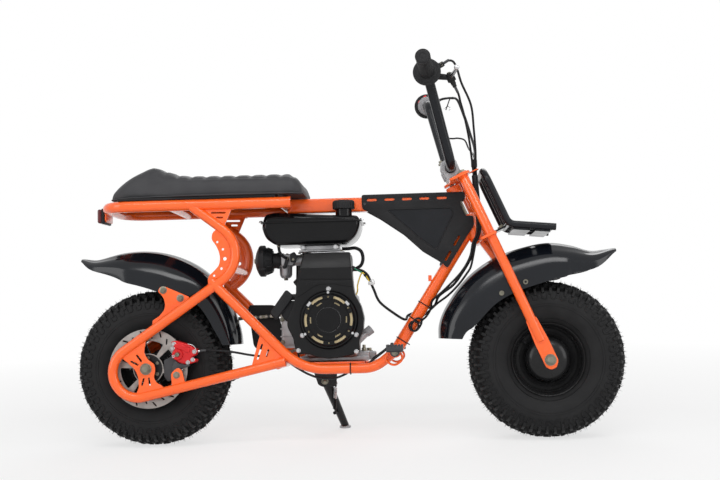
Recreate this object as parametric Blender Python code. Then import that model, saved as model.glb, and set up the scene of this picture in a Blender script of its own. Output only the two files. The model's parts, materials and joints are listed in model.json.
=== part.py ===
# Mini dirt bike: a tube frame on two knobby balloon tyres, with a small upright engine,
# chain drive, a rigid fork and a side stand.
# The bike is drawn upright in its own frame, in metres: X forward from the rear axle, Y to
# the rider's left, Z up from the floor. At the end it leans onto its side stand.

import math

import bmesh
import bpy
from mathutils import Matrix, Vector

# Driving sizes
LEAN = math.radians(4.5)
GAP = 0.0003
ARC_STEP = math.radians(20.0)
BEND_STEP = math.radians(24.0)

WHEELBASE = 0.905
AXLE_Z = 0.178
AXLE_R = 0.0075
TYRE_R = 0.178
LUG_H = 0.008
CROWN_R = 0.115
TYRE_HALF = 0.0675
RIM_BARREL_R = 0.076
RIM_FLANGE = 0.007
RIM_HALF = 0.050
FRONT_HUB_R = 0.047
REAR_HUB_R = 0.026

RAKE = math.radians(23.5)
FORK_OFFSET = 0.025
AXLE_DROP = 0.3914
FORK_HALF = 0.095
FORK_TUBE_R = 0.0111
FORK_PLATE_T = 0.006
CUP_R = 0.0175
HEAD_TOP = 0.060
HEAD_LOW = -0.077
CUP_BREAK = (-0.014, 0.023)
STEM_R = 0.0055
HEAD_PLAY = 0.003
CLAMP_T = 0.006

LOOP_TUBE_R = 0.0111
LOOP_HALF = 0.107
RAIL_TUBE_R = 0.0127
RAIL_Z = 0.546
RAIL_FRONT = 0.334
RAIL_REAR = -0.095
RAIL_CROSS_FRONT = 0.315
RAIL_CROSS_REAR = 0.060
SPINE_W = 0.036
SPINE_H = 0.033
SPINE_Z = 0.5455
DOWN_TUBE_R = 0.014
PLATE_T = 0.004
DROPOUT_T = 0.005
CRADLE_Z = 0.169
PEG_BAR = (0.562, 0.204)
PEG_BAR_R = 0.0127

BAR_R = 0.0111
BAR_CENTRE = (0.012, 0.0985)
BAR_END = (0.0384, 0.318, 0.3039)
BAR_SHOULDER = (0.0438, 0.160, 0.2863)
BAR_ELBOW = 0.100
GRIP_R = 0.0165
GRIP_LENGTH = 0.118
FLANGE_R = 0.031
FLANGE_T = 0.005
HOUSING_R = 0.023
HOUSING_W = 0.017

CHAIN_PITCH = 0.0127
CHAIN_HALF = 0.0055
PLATE_HALF_H = 0.0042
LARGE_TEETH = 49
SMALL_TEETH = 11
SPROCKET_T = 0.0045
CHAIN_CLEAR = 0.0055
DISC_R = 0.090
DISC_T = 0.0035
DISC_CLEAR = 0.0100
HUB_INSET = 0.0185

CRANK = (0.4145, 0.2785)
ENGINE_FACE = -0.104
ENGINE_BACK = -0.0585
FAN_OPEN_R = 0.0645
BARREL_HALF = 0.050
BARREL_REAR = CRANK[0] - 0.044
TANK_LOW = 0.452
CAP_Y = -0.046
SEAT_FLOOR = 0.5640
PANEL_T = 0.003

STAND_FOOT = Vector((0.4262, 0.1838, 0.0212))
STAND_FOLDED = Vector((0.230, 0.104, 0.117))
STAND_TILT = math.radians(31.0)
STAND_EYE_T = 0.026
STAND_PLATE_T = 0.005
STAND_LEG_R = (0.0125, 0.0092)
STAND_EYE_R = 0.014
STAND_SOLE = (0.014, 0.006)
SPRING_R = 0.0040
SPRING_PIN_R = 0.0027

CABLE_R = 0.0025
LOOM_R = 0.0030
SPARK_R = 0.0040

# Sizes that follow from them
STEER_MID = (WHEELBASE - FORK_OFFSET * math.cos(RAKE) - AXLE_DROP * math.sin(RAKE),
             AXLE_Z - FORK_OFFSET * math.sin(RAKE) + AXLE_DROP * math.cos(RAKE))
LOWER_CLAMP_U = HEAD_LOW - HEAD_PLAY - CLAMP_T / 2
UPPER_CLAMP_U = HEAD_TOP + HEAD_PLAY + CLAMP_T / 2
RIM_LIP_R = RIM_BARREL_R + RIM_FLANGE
RAIL_HALF = LOOP_HALF
LOOP_INSIDE = LOOP_HALF - LOOP_TUBE_R
EAR_Y = LOOP_INSIDE - 0.0015
CHAIN_Y = LOOP_INSIDE - CHAIN_CLEAR - CHAIN_HALF
DISC_Y = -(LOOP_INSIDE - DISC_CLEAR - DISC_T / 2)
HUB_HALF = -DISC_Y - HUB_INSET
MOUNT_TOP = CRADLE_Z + LOOP_TUBE_R + GAP + PLATE_T
PANEL_INSIDE = SPINE_W / 2 + GAP
STAND_PIVOT = Vector((0.387, LOOP_HALF - 0.027, CRADLE_Z - 0.032))
STEM_TOP = UPPER_CLAMP_U + 0.011

ORANGE = (0.92, 0.16, 0.03)
BLACK = (0.020, 0.020, 0.022)
STEEL = (0.55, 0.55, 0.56)
RUBBER = (0.018, 0.018, 0.018)


# Scene and holders
def clear_scene():
    for obj in list(bpy.data.objects):
        bpy.data.objects.remove(obj, do_unlink=True)


def steer_point(forward, side, up):
    # A point given from the middle of the head tube: forward and up square to the steering axis.
    return Vector((STEER_MID[0] + forward * math.cos(RAKE) - up * math.sin(RAKE), side,
                   STEER_MID[1] + forward * math.sin(RAKE) + up * math.cos(RAKE)))


def steer_axis(which):
    if which == "up":
        return Vector((-math.sin(RAKE), 0, math.cos(RAKE)))
    return Vector((math.cos(RAKE), 0, math.sin(RAKE)))


HOLDERS = {}


def add_holder(name, position, tilt=0.0):
    holder = bpy.data.objects.new(name, None)
    bpy.context.scene.collection.objects.link(holder)
    rest = Matrix.Translation(position) @ Matrix.Rotation(tilt, 4, "Y")
    HOLDERS[name] = (holder, rest)
    return holder


def material(name, color, roughness, metallic):
    made = bpy.data.materials.get(name)
    if made is None:
        made = bpy.data.materials.new(name)
        made.use_nodes = True
        shader = made.node_tree.nodes["Principled BSDF"]
        shader.inputs["Base Color"].default_value = (*color, 1.0)
        shader.inputs["Roughness"].default_value = roughness
        shader.inputs["Metallic"].default_value = metallic
    return made


def keep(obj, name, look, holder="bike"):
    # Names a finished piece, gives it its material and hangs it on its holder.
    obj.name = name
    obj.data.name = name
    obj.data.materials.clear()
    obj.data.materials.append(material(name, *look))
    parent, rest = HOLDERS[holder]
    obj.parent = parent
    obj.matrix_parent_inverse = rest.inverted()
    if obj.type == "MESH":
        obj.data.shade_smooth()
        obj.data.set_sharp_from_angle(angle=math.radians(35.0))
    return obj


# Shapes
def solid(points, faces):
    mesh = bpy.data.meshes.new("shape")
    mesh.from_pydata([tuple(p) for p in points], [], faces)
    frame = bmesh.new()
    frame.from_mesh(mesh)
    bmesh.ops.remove_doubles(frame, verts=frame.verts, dist=1e-6)
    bmesh.ops.recalc_face_normals(frame, faces=frame.faces)
    wide = [face for face in frame.faces if len(face.verts) > 4]
    bmesh.ops.triangulate(frame, faces=wide, ngon_method="EAR_CLIP")
    frame.to_mesh(mesh)
    frame.free()
    obj = bpy.data.objects.new("shape", mesh)
    bpy.context.scene.collection.objects.link(obj)
    return obj


def combine(obj, tool, operation):
    modifier = obj.modifiers.new("join", "BOOLEAN")
    modifier.operation = operation
    modifier.solver = "EXACT"
    modifier.object = tool
    graph = bpy.context.evaluated_depsgraph_get()
    mesh = bpy.data.meshes.new_from_object(obj.evaluated_get(graph))
    obj.modifiers.clear()
    obj.data = mesh
    bpy.data.objects.remove(tool, do_unlink=True)
    return obj


def union(first, *others):
    for other in others:
        combine(first, other, "UNION")
    return first


def cut(first, *tools):
    for tool in tools:
        combine(first, tool, "DIFFERENCE")
    return first


def bend(corners, radii):
    # The path through the corners, with an arc of its own radius at each inner one.
    points = [Vector(p) for p in corners]
    path = [points[0]]
    for before, here, after, radius in zip(points, points[1:], points[2:], radii):
        arriving = (here - before).normalized()
        leaving = (after - here).normalized()
        turn = arriving.angle(leaving)
        if radius == 0 or turn < 1e-3:
            path.append(here)
            continue
        axis = arriving.cross(leaving).normalized()
        start = here - arriving * radius * math.tan(turn / 2)
        centre = here + (leaving - arriving).normalized() * radius / math.cos(turn / 2)
        steps = max(2, round(turn / ARC_STEP))
        for k in range(steps + 1):
            path.append(centre + Matrix.Rotation(turn * k / steps, 3, axis) @ (start - centre))
    return path + [points[-1]]


def circle(radius, sides, phase=0.5):
    return [(radius * math.cos(2 * math.pi * (k + phase) / sides),
             radius * math.sin(2 * math.pi * (k + phase) / sides)) for k in range(sides)]


def rectangle(width, height, corner=0.0):
    w, h = width / 2, height / 2
    if corner == 0:
        return [(-w, -h), (w, -h), (w, h), (-w, h)]
    return [(-w + corner, -h), (w - corner, -h), (w, -h + corner), (w, h - corner),
            (w - corner, h), (-w + corner, h), (-w, h - corner), (-w, -h + corner)]


def loft(rings, closed=False):
    # Bridges rings of equal length and caps the ends, or joins the last ring to the first.
    count = len(rings[0])
    points = [p for ring in rings for p in ring]
    faces = []
    spans = len(rings) if closed else len(rings) - 1
    for r in range(spans):
        a, b = r * count, (r + 1) % len(rings) * count
        faces += [(a + k, a + (k + 1) % count, b + (k + 1) % count, b + k) for k in range(count)]
    if not closed:
        faces.append(tuple(range(count))[::-1])
        faces.append(tuple((len(rings) - 1) * count + k for k in range(count)))
    return solid(points, faces)


def sweep(path, section, closed=False, upright=(0.0, 1.0, 0.0)):
    # Carries a flat section along a path. The section's second axis starts along upright.
    last = len(path) - 1
    tangents = []
    for k, here in enumerate(path):
        if closed:
            ahead, behind = path[(k + 1) % len(path)], path[k - 1]
        else:
            ahead, behind = path[min(k + 1, last)], path[max(k - 1, 0)]
        tangents.append((ahead - behind).normalized())
    up = Vector(upright)
    if abs(up.dot(tangents[0])) > 0.9:
        up = Vector((1.0, 0.0, 0.0))
    rings = []
    for k, here in enumerate(path):
        if k:
            up = tangents[k - 1].rotation_difference(tangents[k]) @ up
        up = (up - tangents[k] * up.dot(tangents[k])).normalized()
        side = up.cross(tangents[k])
        rings.append([here + side * x + up * y for x, y in section])
    return loft(rings, closed)


def tube(path, radius, sides=10):
    return sweep(path, circle(radius, sides))


def rod(start, end, radius, sides=16):
    return sweep([Vector(start), Vector(end)], circle(radius, sides))


def prism(outline, y0, y1):
    # An outline in the side view, X and Z, made solid from y0 to y1.
    return loft([[Vector((x, y, z)) for x, z in outline] for y in (y0, y1)])


def block(x, y, z, bevel=0.0, segments=2):
    made = prism([(x[0], z[0]), (x[1], z[0]), (x[1], z[1]), (x[0], z[1])], y[0], y[1])
    if bevel:
        soften(made, bevel, segments)
    return made


def soften(obj, width, segments=2):
    frame = bmesh.new()
    frame.from_mesh(obj.data)
    sharp = [e for e in frame.edges if e.calc_face_angle(0.0) > math.radians(30.0)]
    bmesh.ops.bevel(frame, geom=sharp, offset=width, segments=segments, profile=0.5,
                    affect="EDGES", clamp_overlap=True)
    frame.to_mesh(obj.data)
    frame.free()
    return obj


def slot(x0, z0, x1, z1, width, ends=3):
    # The outline of a round-ended slot between two centres in the side view.
    heading = math.atan2(z1 - z0, x1 - x0)
    outline = []
    for cx, cz, start in ((x1, z1, heading - math.pi / 2), (x0, z0, heading + math.pi / 2)):
        for k in range(ends + 1):
            angle = start + math.pi * k / ends
            outline.append((cx + width / 2 * math.cos(angle), cz + width / 2 * math.sin(angle)))
    return outline


def turned(profile, steps, centre, axis="Y"):
    # Turns a closed profile of (radius, along) pairs about a line through the centre.
    rings = []
    for k in range(steps):
        angle = 2 * math.pi * (k + 0.5) / steps
        c, s = math.cos(angle), math.sin(angle)
        rings.append([Vector((r * c, a, r * s)) + Vector(centre) for r, a in profile])
    return loft(rings, closed=True)


def drum(centre, radius, y0, y1, sides=24, bevel=0.0):
    x, z = centre
    if bevel == 0:
        return rod((x, y0, z), (x, y1, z), radius, sides)
    steps = [(radius - bevel, y0), (radius, y0 + bevel), (radius, y1 - bevel), (radius - bevel, y1)]
    return loft([[Vector((x + r * math.cos(t), y, z + r * math.sin(t)))
                  for t in (2 * math.pi * (k + 0.5) / sides for k in range(sides))]
                 for r, y in steps])


def arc_slot(centre, inner, outer, start, end, steps=2):
    # The outline of a slot that runs round a centre in the side view, from start to end degrees.
    angles = [math.radians(start + (end - start) * k / steps) for k in range(steps + 1)]
    outline = [(centre[0] + inner * math.cos(a), centre[1] + inner * math.sin(a)) for a in angles]
    return outline + [(centre[0] + outer * math.cos(a), centre[1] + outer * math.sin(a))
                      for a in reversed(angles)]


def inset(outline, step):
    # The outline with each corner moved towards its middle.
    middle = Vector((sum(p[0] for p in outline), sum(p[1] for p in outline))) / len(outline)
    moved = []
    for p in outline:
        here = Vector(p)
        moved.append(here - (here - middle).normalized() * step)
    return [(p.x, p.y) for p in moved]


def pillow(outline, y0, y1, edge, back_edge=None):
    # A side-view outline made solid, with a chamfer of its own on each face.
    back_edge = edge if back_edge is None else back_edge
    rings = [(inset(outline, edge), y0), (outline, y0 + edge)]
    rings += [(outline, y1 - back_edge), (inset(outline, back_edge), y1)] if back_edge else [(outline, y1)]
    return loft([[Vector((x, y, z)) for x, z in shape] for shape, y in rings])


def pierce(obj, outlines, y0, y1):
    for outline in outlines:
        cut(obj, prism(outline, y0, y1))
    return obj


def hexagon(x, z, radius):
    return [(x + a, z + b) for a, b in circle(radius, 6, 0.0)]


def route(points):
    # A cable's own points, with one more on its curve wherever a span turns sharply.
    knots = [Vector(p) for p in points]
    knots = [knots[0] * 2 - knots[1]] + knots + [knots[-1] * 2 - knots[-2]]
    path = [knots[1]]
    for a, b, c, d in zip(knots, knots[1:], knots[2:], knots[3:]):
        if (c - a).angle(d - b) > BEND_STEP and (c - b).length > 0.012:
            path.append(((b + c) * 9 - a - d) / 16)
        path.append(c)
    return path


def cable(name, points, radius):
    curve = bpy.data.curves.new("shape", "CURVE")
    curve.dimensions = "3D"
    curve.bevel_depth = radius
    curve.bevel_resolution = 2
    curve.use_fill_caps = True
    spline = curve.splines.new("POLY")
    path = route(points)
    spline.points.add(len(path) - 1)
    for point, here in zip(spline.points, path):
        point.co = (*here, 1.0)
    obj = bpy.data.objects.new("shape", curve)
    bpy.context.scene.collection.objects.link(obj)
    return keep(obj, name, (RUBBER, 0.45, 0.0))


# Frame
def rail_path(grow=0.0):
    front = RAIL_FRONT + grow
    return bend([(front, -RAIL_HALF, RAIL_Z), (RAIL_REAR, -RAIL_HALF, RAIL_Z),
                 (RAIL_REAR, RAIL_HALF, RAIL_Z), (front, RAIL_HALF, RAIL_Z)], [0.055, 0.055])


def seat_rails():
    rails = tube(rail_path(), RAIL_TUBE_R)
    for x in (RAIL_CROSS_FRONT, RAIL_CROSS_REAR):
        union(rails, rod((x, -RAIL_HALF, RAIL_Z), (x, RAIL_HALF, RAIL_Z), RAIL_TUBE_R, 10))
    keep(rails, "seat_rails", (ORANGE, 0.3, 0.0))


def down_tube_path():
    return [Vector((PEG_BAR[0] + 0.004, 0, PEG_BAR[1] + 0.009)), steer_point(-0.004, 0, -0.045)]


def frame_spine():
    # The box tube, the down tube and two head cups, tied by a gusset between the side panels.
    back = RAIL_CROSS_FRONT
    spine_end = steer_point(-STEM_R - 0.010, 0, 0.020)
    spine = sweep([Vector((back, 0, SPINE_Z)), Vector((spine_end.x, 0, SPINE_Z))],
                  rectangle(SPINE_H, SPINE_W, 0.003))
    upper = rod(steer_point(0, 0, CUP_BREAK[1]), steer_point(0, 0, HEAD_TOP), CUP_R, 20)
    lower = rod(steer_point(0, 0, HEAD_LOW), steer_point(0, 0, CUP_BREAK[0]), CUP_R, 20)
    gusset = [steer_point(f, 0, u) for f, u in ((-0.011, 0.034), (-0.011, -0.024), (-0.004, -0.045),
                                                (-0.078, -0.088), (-0.090, 0.044))]
    union(spine, tube(down_tube_path(), DOWN_TUBE_R, 14), lower, upper,
          prism([(p.x, p.z) for p in gusset], -PLATE_T / 2, PLATE_T / 2))
    cut(spine, rod(steer_point(0, 0, HEAD_LOW - 0.01), steer_point(0, 0, HEAD_TOP + 0.01),
                   STEM_R / math.cos(math.pi / 12) + GAP, 12))
    cut(spine, rod((back, -0.05, RAIL_Z), (back, 0.05, RAIL_Z), RAIL_TUBE_R + GAP, 10))
    cut(spine, block((back - 0.05, back - 0.002), (-0.05, 0.05), (RAIL_Z - 0.05, RAIL_Z + 0.05)))
    cut(spine, rod((PEG_BAR[0], -0.05, PEG_BAR[1]), (PEG_BAR[0], 0.05, PEG_BAR[1]),
                   PEG_BAR_R + GAP, 14))
    keep(spine, "frame_spine", (ORANGE, 0.3, 0.0))


def loop_path(side):
    y = LOOP_HALF * side
    return bend([(0.1045, y, 0.5455), (0.2568, y, 0.4294), (-0.2968, y, 0.0502), (0.315, y, 0.1881)],
                [0.0715, 0.0571])


def cradle_path(side):
    y = LOOP_HALF * side
    return bend([(0.150, y, 0.3719), (0.3507, y, CRADLE_Z), (0.515, y, CRADLE_Z),
                 (PEG_BAR[0] + 0.0005, y, PEG_BAR[1] + 0.002)], [0.135, 0.070])


DROPOUT = [(-0.052, 0.032), (-0.003, 0.068), (-0.0035, 0.0385), (0.0045, 0.022), (0.0183, 0.010),
           (0.0204, -0.0055), (0.018, -0.019), (0.0246, -0.031), (0.038, -0.040), (0.034, -0.052),
           (-0.022, -0.064), (-0.017, -0.041), (-0.018, -0.0185), (-0.026, 0.0), (-0.040, 0.014)]
DROPOUT_SLOTS = [(-0.0200, 0.0308, -0.0108, 0.0180), (-0.0329, 0.0174, -0.0188, 0.0101),
                 (-0.0053, -0.0222, -0.0091, -0.0346), (0.0063, -0.0213, 0.0084, -0.0350)]
LOUVRE = [(0.104, 0.545), (0.204, 0.545), (0.1765, 0.482)]
LOUVRE_SLOTS = [(0.1430, 0.5387, 0.1905, 0.5379), (0.1545, 0.5267, 0.1840, 0.5261),
                (0.1660, 0.5157, 0.1780, 0.5153)]
CURVED_PLATE = [(0.168, 0.492), (0.1545, 0.481), (0.1527, 0.466), (0.162, 0.454), (0.169, 0.439),
                (0.172, 0.424), (0.169, 0.407), (0.156, 0.393), (0.145, 0.384), (0.1425, 0.372),
                (0.146, 0.360), (0.172, 0.372), (0.197, 0.400), (0.205, 0.432), (0.196, 0.466)]
CURVED_HOLES = [(0.1658, 0.460, 0.0027), (0.1783, 0.4433, 0.0028), (0.1825, 0.4217, 0.0042),
                (0.1744, 0.3998, 0.0030), (0.1576, 0.3842, 0.0026)]
LOWER_GUSSET = [(0.262, 0.259), (0.237, 0.172), (0.325, 0.192)]
GUSSET_SLOTS = [(0.2570, 0.229, 0.2535, 0.205), (0.2690, 0.219, 0.2665, 0.204)]
FENDER_EAR = [(0.028, 0.355), (0.037, 0.365), (0.103, 0.338), (0.095, 0.318), (0.040, 0.319),
              (0.025, 0.270), (0.010, 0.262)]
BRAKE_TAB = [(0.059, 0.130), (0.0562, 0.167), (0.0716, 0.1805), (0.0817, 0.1734), (0.088, 0.146),
             (0.089, 0.134)]
PLATE_SLOT_W = 0.0042


def side_loop(side):
    y = LOOP_HALF * side

    def sheet(outline, thick=PLATE_T):
        return prism(outline, y - thick / 2, y + thick / 2)

    loop = union(tube(loop_path(side), LOOP_TUBE_R), tube(cradle_path(side), LOOP_TUBE_R))
    union(loop, sheet([(x, AXLE_Z + z) for x, z in DROPOUT], DROPOUT_T), sheet(LOUVRE),
          sheet(CURVED_PLATE), sheet(LOWER_GUSSET),
          prism(FENDER_EAR, EAR_Y * side, (EAR_Y + PLATE_T) * side))
    if side < 0:
        union(loop, sheet(BRAKE_TAB))
    windows = [slot(a, AXLE_Z + b, c, AXLE_Z + d, PLATE_SLOT_W, 2) for a, b, c, d in DROPOUT_SLOTS]
    windows += [slot(*ends, PLATE_SLOT_W, 2) for ends in LOUVRE_SLOTS + GUSSET_SLOTS]
    windows += [hexagon(*hole) for hole in CURVED_HOLES]
    pierce(loop, windows, y - 0.02, y + 0.02)
    cut(loop, tube(rail_path(0.02), RAIL_TUBE_R + GAP))
    cut(loop, drum((0, AXLE_Z), AXLE_BORE_R, y - 0.02, y + 0.02, 12))
    cut(loop, rod((PEG_BAR[0], y - 0.03, PEG_BAR[1]), (PEG_BAR[0], y + 0.03, PEG_BAR[1]),
                  PEG_BAR_R + GAP, 14))
    return loop


def side_loops():
    for side, name in ((-1, "side_loop_right"), (1, "side_loop_left")):
        keep(side_loop(side), name, (ORANGE, 0.3, 0.0))


PEG_ROOT = LOOP_HALF + 0.021
PEG_END = PEG_ROOT + 0.072
PEG_HOOP_R = 0.0026


def peg_bar():
    # The cross bar, with a bent rod round the root of each peg.
    x, z = PEG_BAR
    bar = rod((x, -PEG_ROOT, z), (x, PEG_ROOT, z), PEG_BAR_R, 14)
    for side in (-1, 1):
        y = (PEG_ROOT - PEG_HOOP_R - 0.001) * side
        corners = [(x - 0.006, y, z + 0.006), (x - 0.028, y, z - 0.014), (x - 0.004, y, z - 0.032),
                   (x + 0.019, y, z - 0.016), (x + 0.004, y, z + 0.008)]
        union(bar, tube(bend(corners, [0.010, 0.016, 0.012]), PEG_HOOP_R, 6))
    keep(bar, "footpeg_bar", (ORANGE, 0.3, 0.0))


def footpegs():
    x, z = PEG_BAR
    for side, name in ((-1, "footpeg_right"), (1, "footpeg_left")):
        near, far = PEG_ROOT + GAP, PEG_END
        y = sorted((near * side, far * side))
        peg = block((x - 0.018, x + 0.018), y, (z + 0.001, z + 0.017), 0.002, 1)
        union(peg, rod((x, near * side, z), (x, (far - 0.010) * side, z), 0.010, 10))
        keep(peg, name, (BLACK, 0.5, 0.4))


def engine_mount():
    y = LOOP_HALF + 0.006
    z = CRADLE_Z + LOOP_TUBE_R + GAP
    plate = block((0.345, 0.492), (-y, y), (z, z + PLATE_T))
    for x in (0.375, 0.455):
        for side in (-1, 1):
            cut(plate, block((x - 0.015, x + 0.015), (side * 0.04 - 0.005, side * 0.04 + 0.005),
                             (z - 0.01, z + 0.02)))
    cut(plate, tube(cradle_path(1), LOOP_TUBE_R + GAP), tube(cradle_path(-1), LOOP_TUBE_R + GAP))
    keep(plate, "engine_mount", (ORANGE, 0.3, 0.0))


def cross_tubes():
    y = LOOP_INSIDE - GAP
    for x, z, name in ((0.196, 0.400, "cross_tube_upper"), (0.296, 0.180, "cross_tube_lower")):
        bar = rod((x, -y, z), (x, y, z), 0.0095, 12)
        keep(bar, name, (ORANGE, 0.3, 0.0))


# Seat, fenders and trim
SEAT_STATIONS = [(-0.087, 0.002, 0.040), (-0.081, 0.018, 0.072), (-0.042, 0.045, 0.100),
                 (0.013, 0.070, 0.112), (0.042, 0.062, 0.118), (0.095, 0.052, 0.124),
                 (0.210, 0.048, 0.126), (0.330, 0.047, 0.120), (0.357, 0.039, 0.108),
                 (0.373, 0.004, 0.085)]
SEAT_SECTION = [(-0.94, 0.0), (-1.0, 0.25), (-1.0, 0.55), (-0.93, 0.82), (-0.78, 0.96), (-0.4, 1.0),
                (0.4, 1.0), (0.78, 0.96), (0.93, 0.82), (1.0, 0.55), (1.0, 0.25), (0.94, 0.0)]


def seat():
    # The rise of each station is over the seat's floor, beside its half width.
    low = RAIL_Z + RAIL_TUBE_R + GAP
    wide = LOOP_HALF + 0.008
    base = block((-0.060, RAIL_CROSS_FRONT - 0.016), (-wide, wide), (low, SEAT_FLOOR - GAP))
    keep(base, "seat_base", (BLACK, 0.6, 0.0))
    rings = [[Vector((x, half * u, SEAT_FLOOR + rise * v)) for u, v in SEAT_SECTION]
             for x, rise, half in SEAT_STATIONS]
    keep(loft(rings), "seat", ((0.05, 0.05, 0.052), 0.5, 0.0))


def arch(path, widths, depths, thick, sides=10):
    # A shell that follows a path with a crowned section whose skirts hang inwards.
    rings = []
    last = len(path) - 1
    for k, here in enumerate(path):
        along = (path[min(k + 1, last)] - path[max(k - 1, 0)]).normalized()
        inward = Vector((0, 1, 0)).cross(along)
        outer, inner = [], []
        for j in range(sides + 1):
            t = math.pi * (j / sides - 0.5)
            across = math.copysign(abs(math.sin(t)) ** 0.8, math.sin(t))
            drop = 1 - abs(math.cos(t)) ** 0.75
            outer.append(here + Vector((0, widths[k] * across, 0)) + inward * depths[k] * drop)
            inner.append(here + Vector((0, (widths[k] - thick) * across, 0))
                         + inward * (thick + (depths[k] - thick) * drop))
        rings.append(outer + inner[::-1])
    return loft(rings)


# Angle up from the forward axis in degrees, gap over the tyre, half width and skirt depth.
REAR_WIDE = EAR_Y - GAP
FRONT_WIDE = FORK_HALF - FORK_TUBE_R - GAP
REAR_FENDER = [(123.1, 0.1299, 0.030, 0.006), (116.6, 0.1072, 0.062, 0.022),
               (104.4, 0.0997, 0.084, 0.055), (94.4, 0.0948, 0.090, 0.074),
               (79.3, 0.0866, REAR_WIDE, 0.088), (64.5, 0.0771, REAR_WIDE, 0.084),
               (50.0, 0.0634, 0.083, 0.050), (35.7, 0.0484, 0.073, 0.026),
               (25.0, 0.0394, 0.072, 0.016), (13.9, 0.0301, 0.071, 0.010)]
FRONT_FENDER = [(167.9, 0.0746, 0.074, 0.036), (158.5, 0.0810, 0.078, 0.056),
                (146.2, 0.0808, 0.080, 0.072), (131.7, 0.0819, 0.082, 0.084),
                (116.5, 0.0823, FRONT_WIDE, 0.092), (101.3, 0.0830, FRONT_WIDE, 0.090),
                (87.0, 0.0884, 0.080, 0.078), (76.5, 0.0883, 0.074, 0.055),
                (65.8, 0.0906, 0.056, 0.026), (56.6, 0.1215, 0.026, 0.006)]
FENDER_T = 0.0035


def fender_path(table, axle_x):
    return [Vector((axle_x + (TYRE_R + gap) * math.cos(math.radians(a)), 0,
                    AXLE_Z + (TYRE_R + gap) * math.sin(math.radians(a)))) for a, gap, _, _ in table]


def fenders():
    for table, axle_x, name, holder in ((REAR_FENDER, 0.0, "rear_fender", "bike"),
                                        (FRONT_FENDER, WHEELBASE, "front_fender", "steering_axis")):
        widths = [row[2] for row in table]
        depths = [row[3] for row in table]
        shell = arch(fender_path(table, axle_x), widths, depths, FENDER_T)
        keep(shell, name, (BLACK, 0.2, 0.0), holder)


# The panels' outline, seen from the side: its front half runs along the steering head.
PANEL_BACK = [(0.4905, 0.535), (0.490, 0.567)]
PANEL_FRONT = [(0.0198, 0.0357), (0.0124, 0.0201), (-0.0021, 0.0190), (-0.0039, -0.0148),
               (0.0135, -0.0230), (0.0063, -0.0431), (-0.0238, -0.0622), (-0.0923, -0.1079),
               (-0.1006, -0.0852), (-0.1263, -0.0477)]
PANEL_LOW = [(0.5864, 0.473), (0.5319, 0.5111)]
PANEL_SLOTS = [(0.505 + 0.0405 * k, 0.0045, 0.523 + 0.0405 * k, 0.0045) for k in range(5)]
PANEL_SLANTED = [(0.7130, 0.4635, 0.7020, 0.4450), (0.6918, 0.4287, 0.6810, 0.4110)]
PANEL_SLOT_W = 0.006
PANEL_POCKET = 0.0012


def panel_outline():
    ends = [steer_point(f, 0, u) for f, u in PANEL_FRONT]
    return PANEL_BACK + [(p.x, p.z) for p in ends] + PANEL_LOW


def side_panels():
    top = SPINE_Z + SPINE_H / 2
    pocket = [(0.545, top - 0.033), (0.7000, top - 0.033), (0.7030, top - 0.046), (0.660, 0.4330),
              (0.622, 0.4640), (0.586, 0.4990)]
    for side, name in ((-1, "side_panel_right"), (1, "side_panel_left")):
        near, far = PANEL_INSIDE * side, (PANEL_INSIDE + PANEL_T) * side
        panel = prism(panel_outline(), *sorted((near, far)))
        windows = [slot(x0, top - 0.012 + z0, x1, top - 0.012 + z1, PANEL_SLOT_W, 2)
                   for x0, z0, x1, z1 in PANEL_SLOTS]
        windows += [slot(*ends, PANEL_SLOT_W, 2) for ends in PANEL_SLANTED]
        pierce(panel, windows, -0.05, 0.05)
        cut(panel, prism(pocket, *sorted((far - PANEL_POCKET * side, far + 0.01 * side))))
        keep(panel, name, (BLACK, 0.25, 0.0))


def tail_light():
    x0 = RAIL_REAR - RAIL_TUBE_R
    bracket = block((x0 - 0.004, x0 - GAP), (-0.030, 0.030), (RAIL_Z - 0.026, RAIL_Z + 0.014))
    keep(bracket, "tail_light_bracket", (ORANGE, 0.3, 0.0))
    lamp = block((x0 - 0.022, x0 - 0.004 - GAP), (-0.032, 0.032), (RAIL_Z - 0.030, RAIL_Z + 0.006),
                 0.004)
    keep(lamp, "tail_light", (BLACK, 0.3, 0.0))


# Engine
SHROUD = [(-0.055, 0.1525), (0.050, 0.1495), (0.0567, 0.0695), (0.0597, 0.0545), (0.0726, 0.0305),
          (0.0790, 0.0035), (0.0757, -0.0265), (0.0677, -0.0445), (0.0660, -0.0765), (0.0280, -0.0835),
          (-0.0010, -0.0870), (-0.0290, -0.0825), (-0.0485, -0.0745), (-0.0710, -0.0760),
          (-0.0775, -0.0640), (-0.0810, -0.0405), (-0.0941, -0.0135), (-0.0940, 0.0045),
          (-0.0830, 0.0251), (-0.0747, 0.0525), (-0.0676, 0.1065)]
SHROUD_BOLTS = [(0.0005, 0.0695), (-0.0605, -0.0335), (0.0605, -0.0345), (-0.070, -0.067),
                (0.060, -0.072)]
SHROUD_BOLT_R = 0.0040
HANDLE = [(0.300, 0.350), (0.322, 0.350), (0.322, 0.312), (0.311, 0.281), (0.292, 0.284),
          (0.298, 0.318)]
CASE_HALF = 0.062
FIN_T = 0.003
SUMP_H = 0.012
CYLINDER_TOP = 0.436
PULLEY_R = 0.048


def around(outline):
    return [(CRANK[0] + x, CRANK[1] + z) for x, z in outline]


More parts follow.
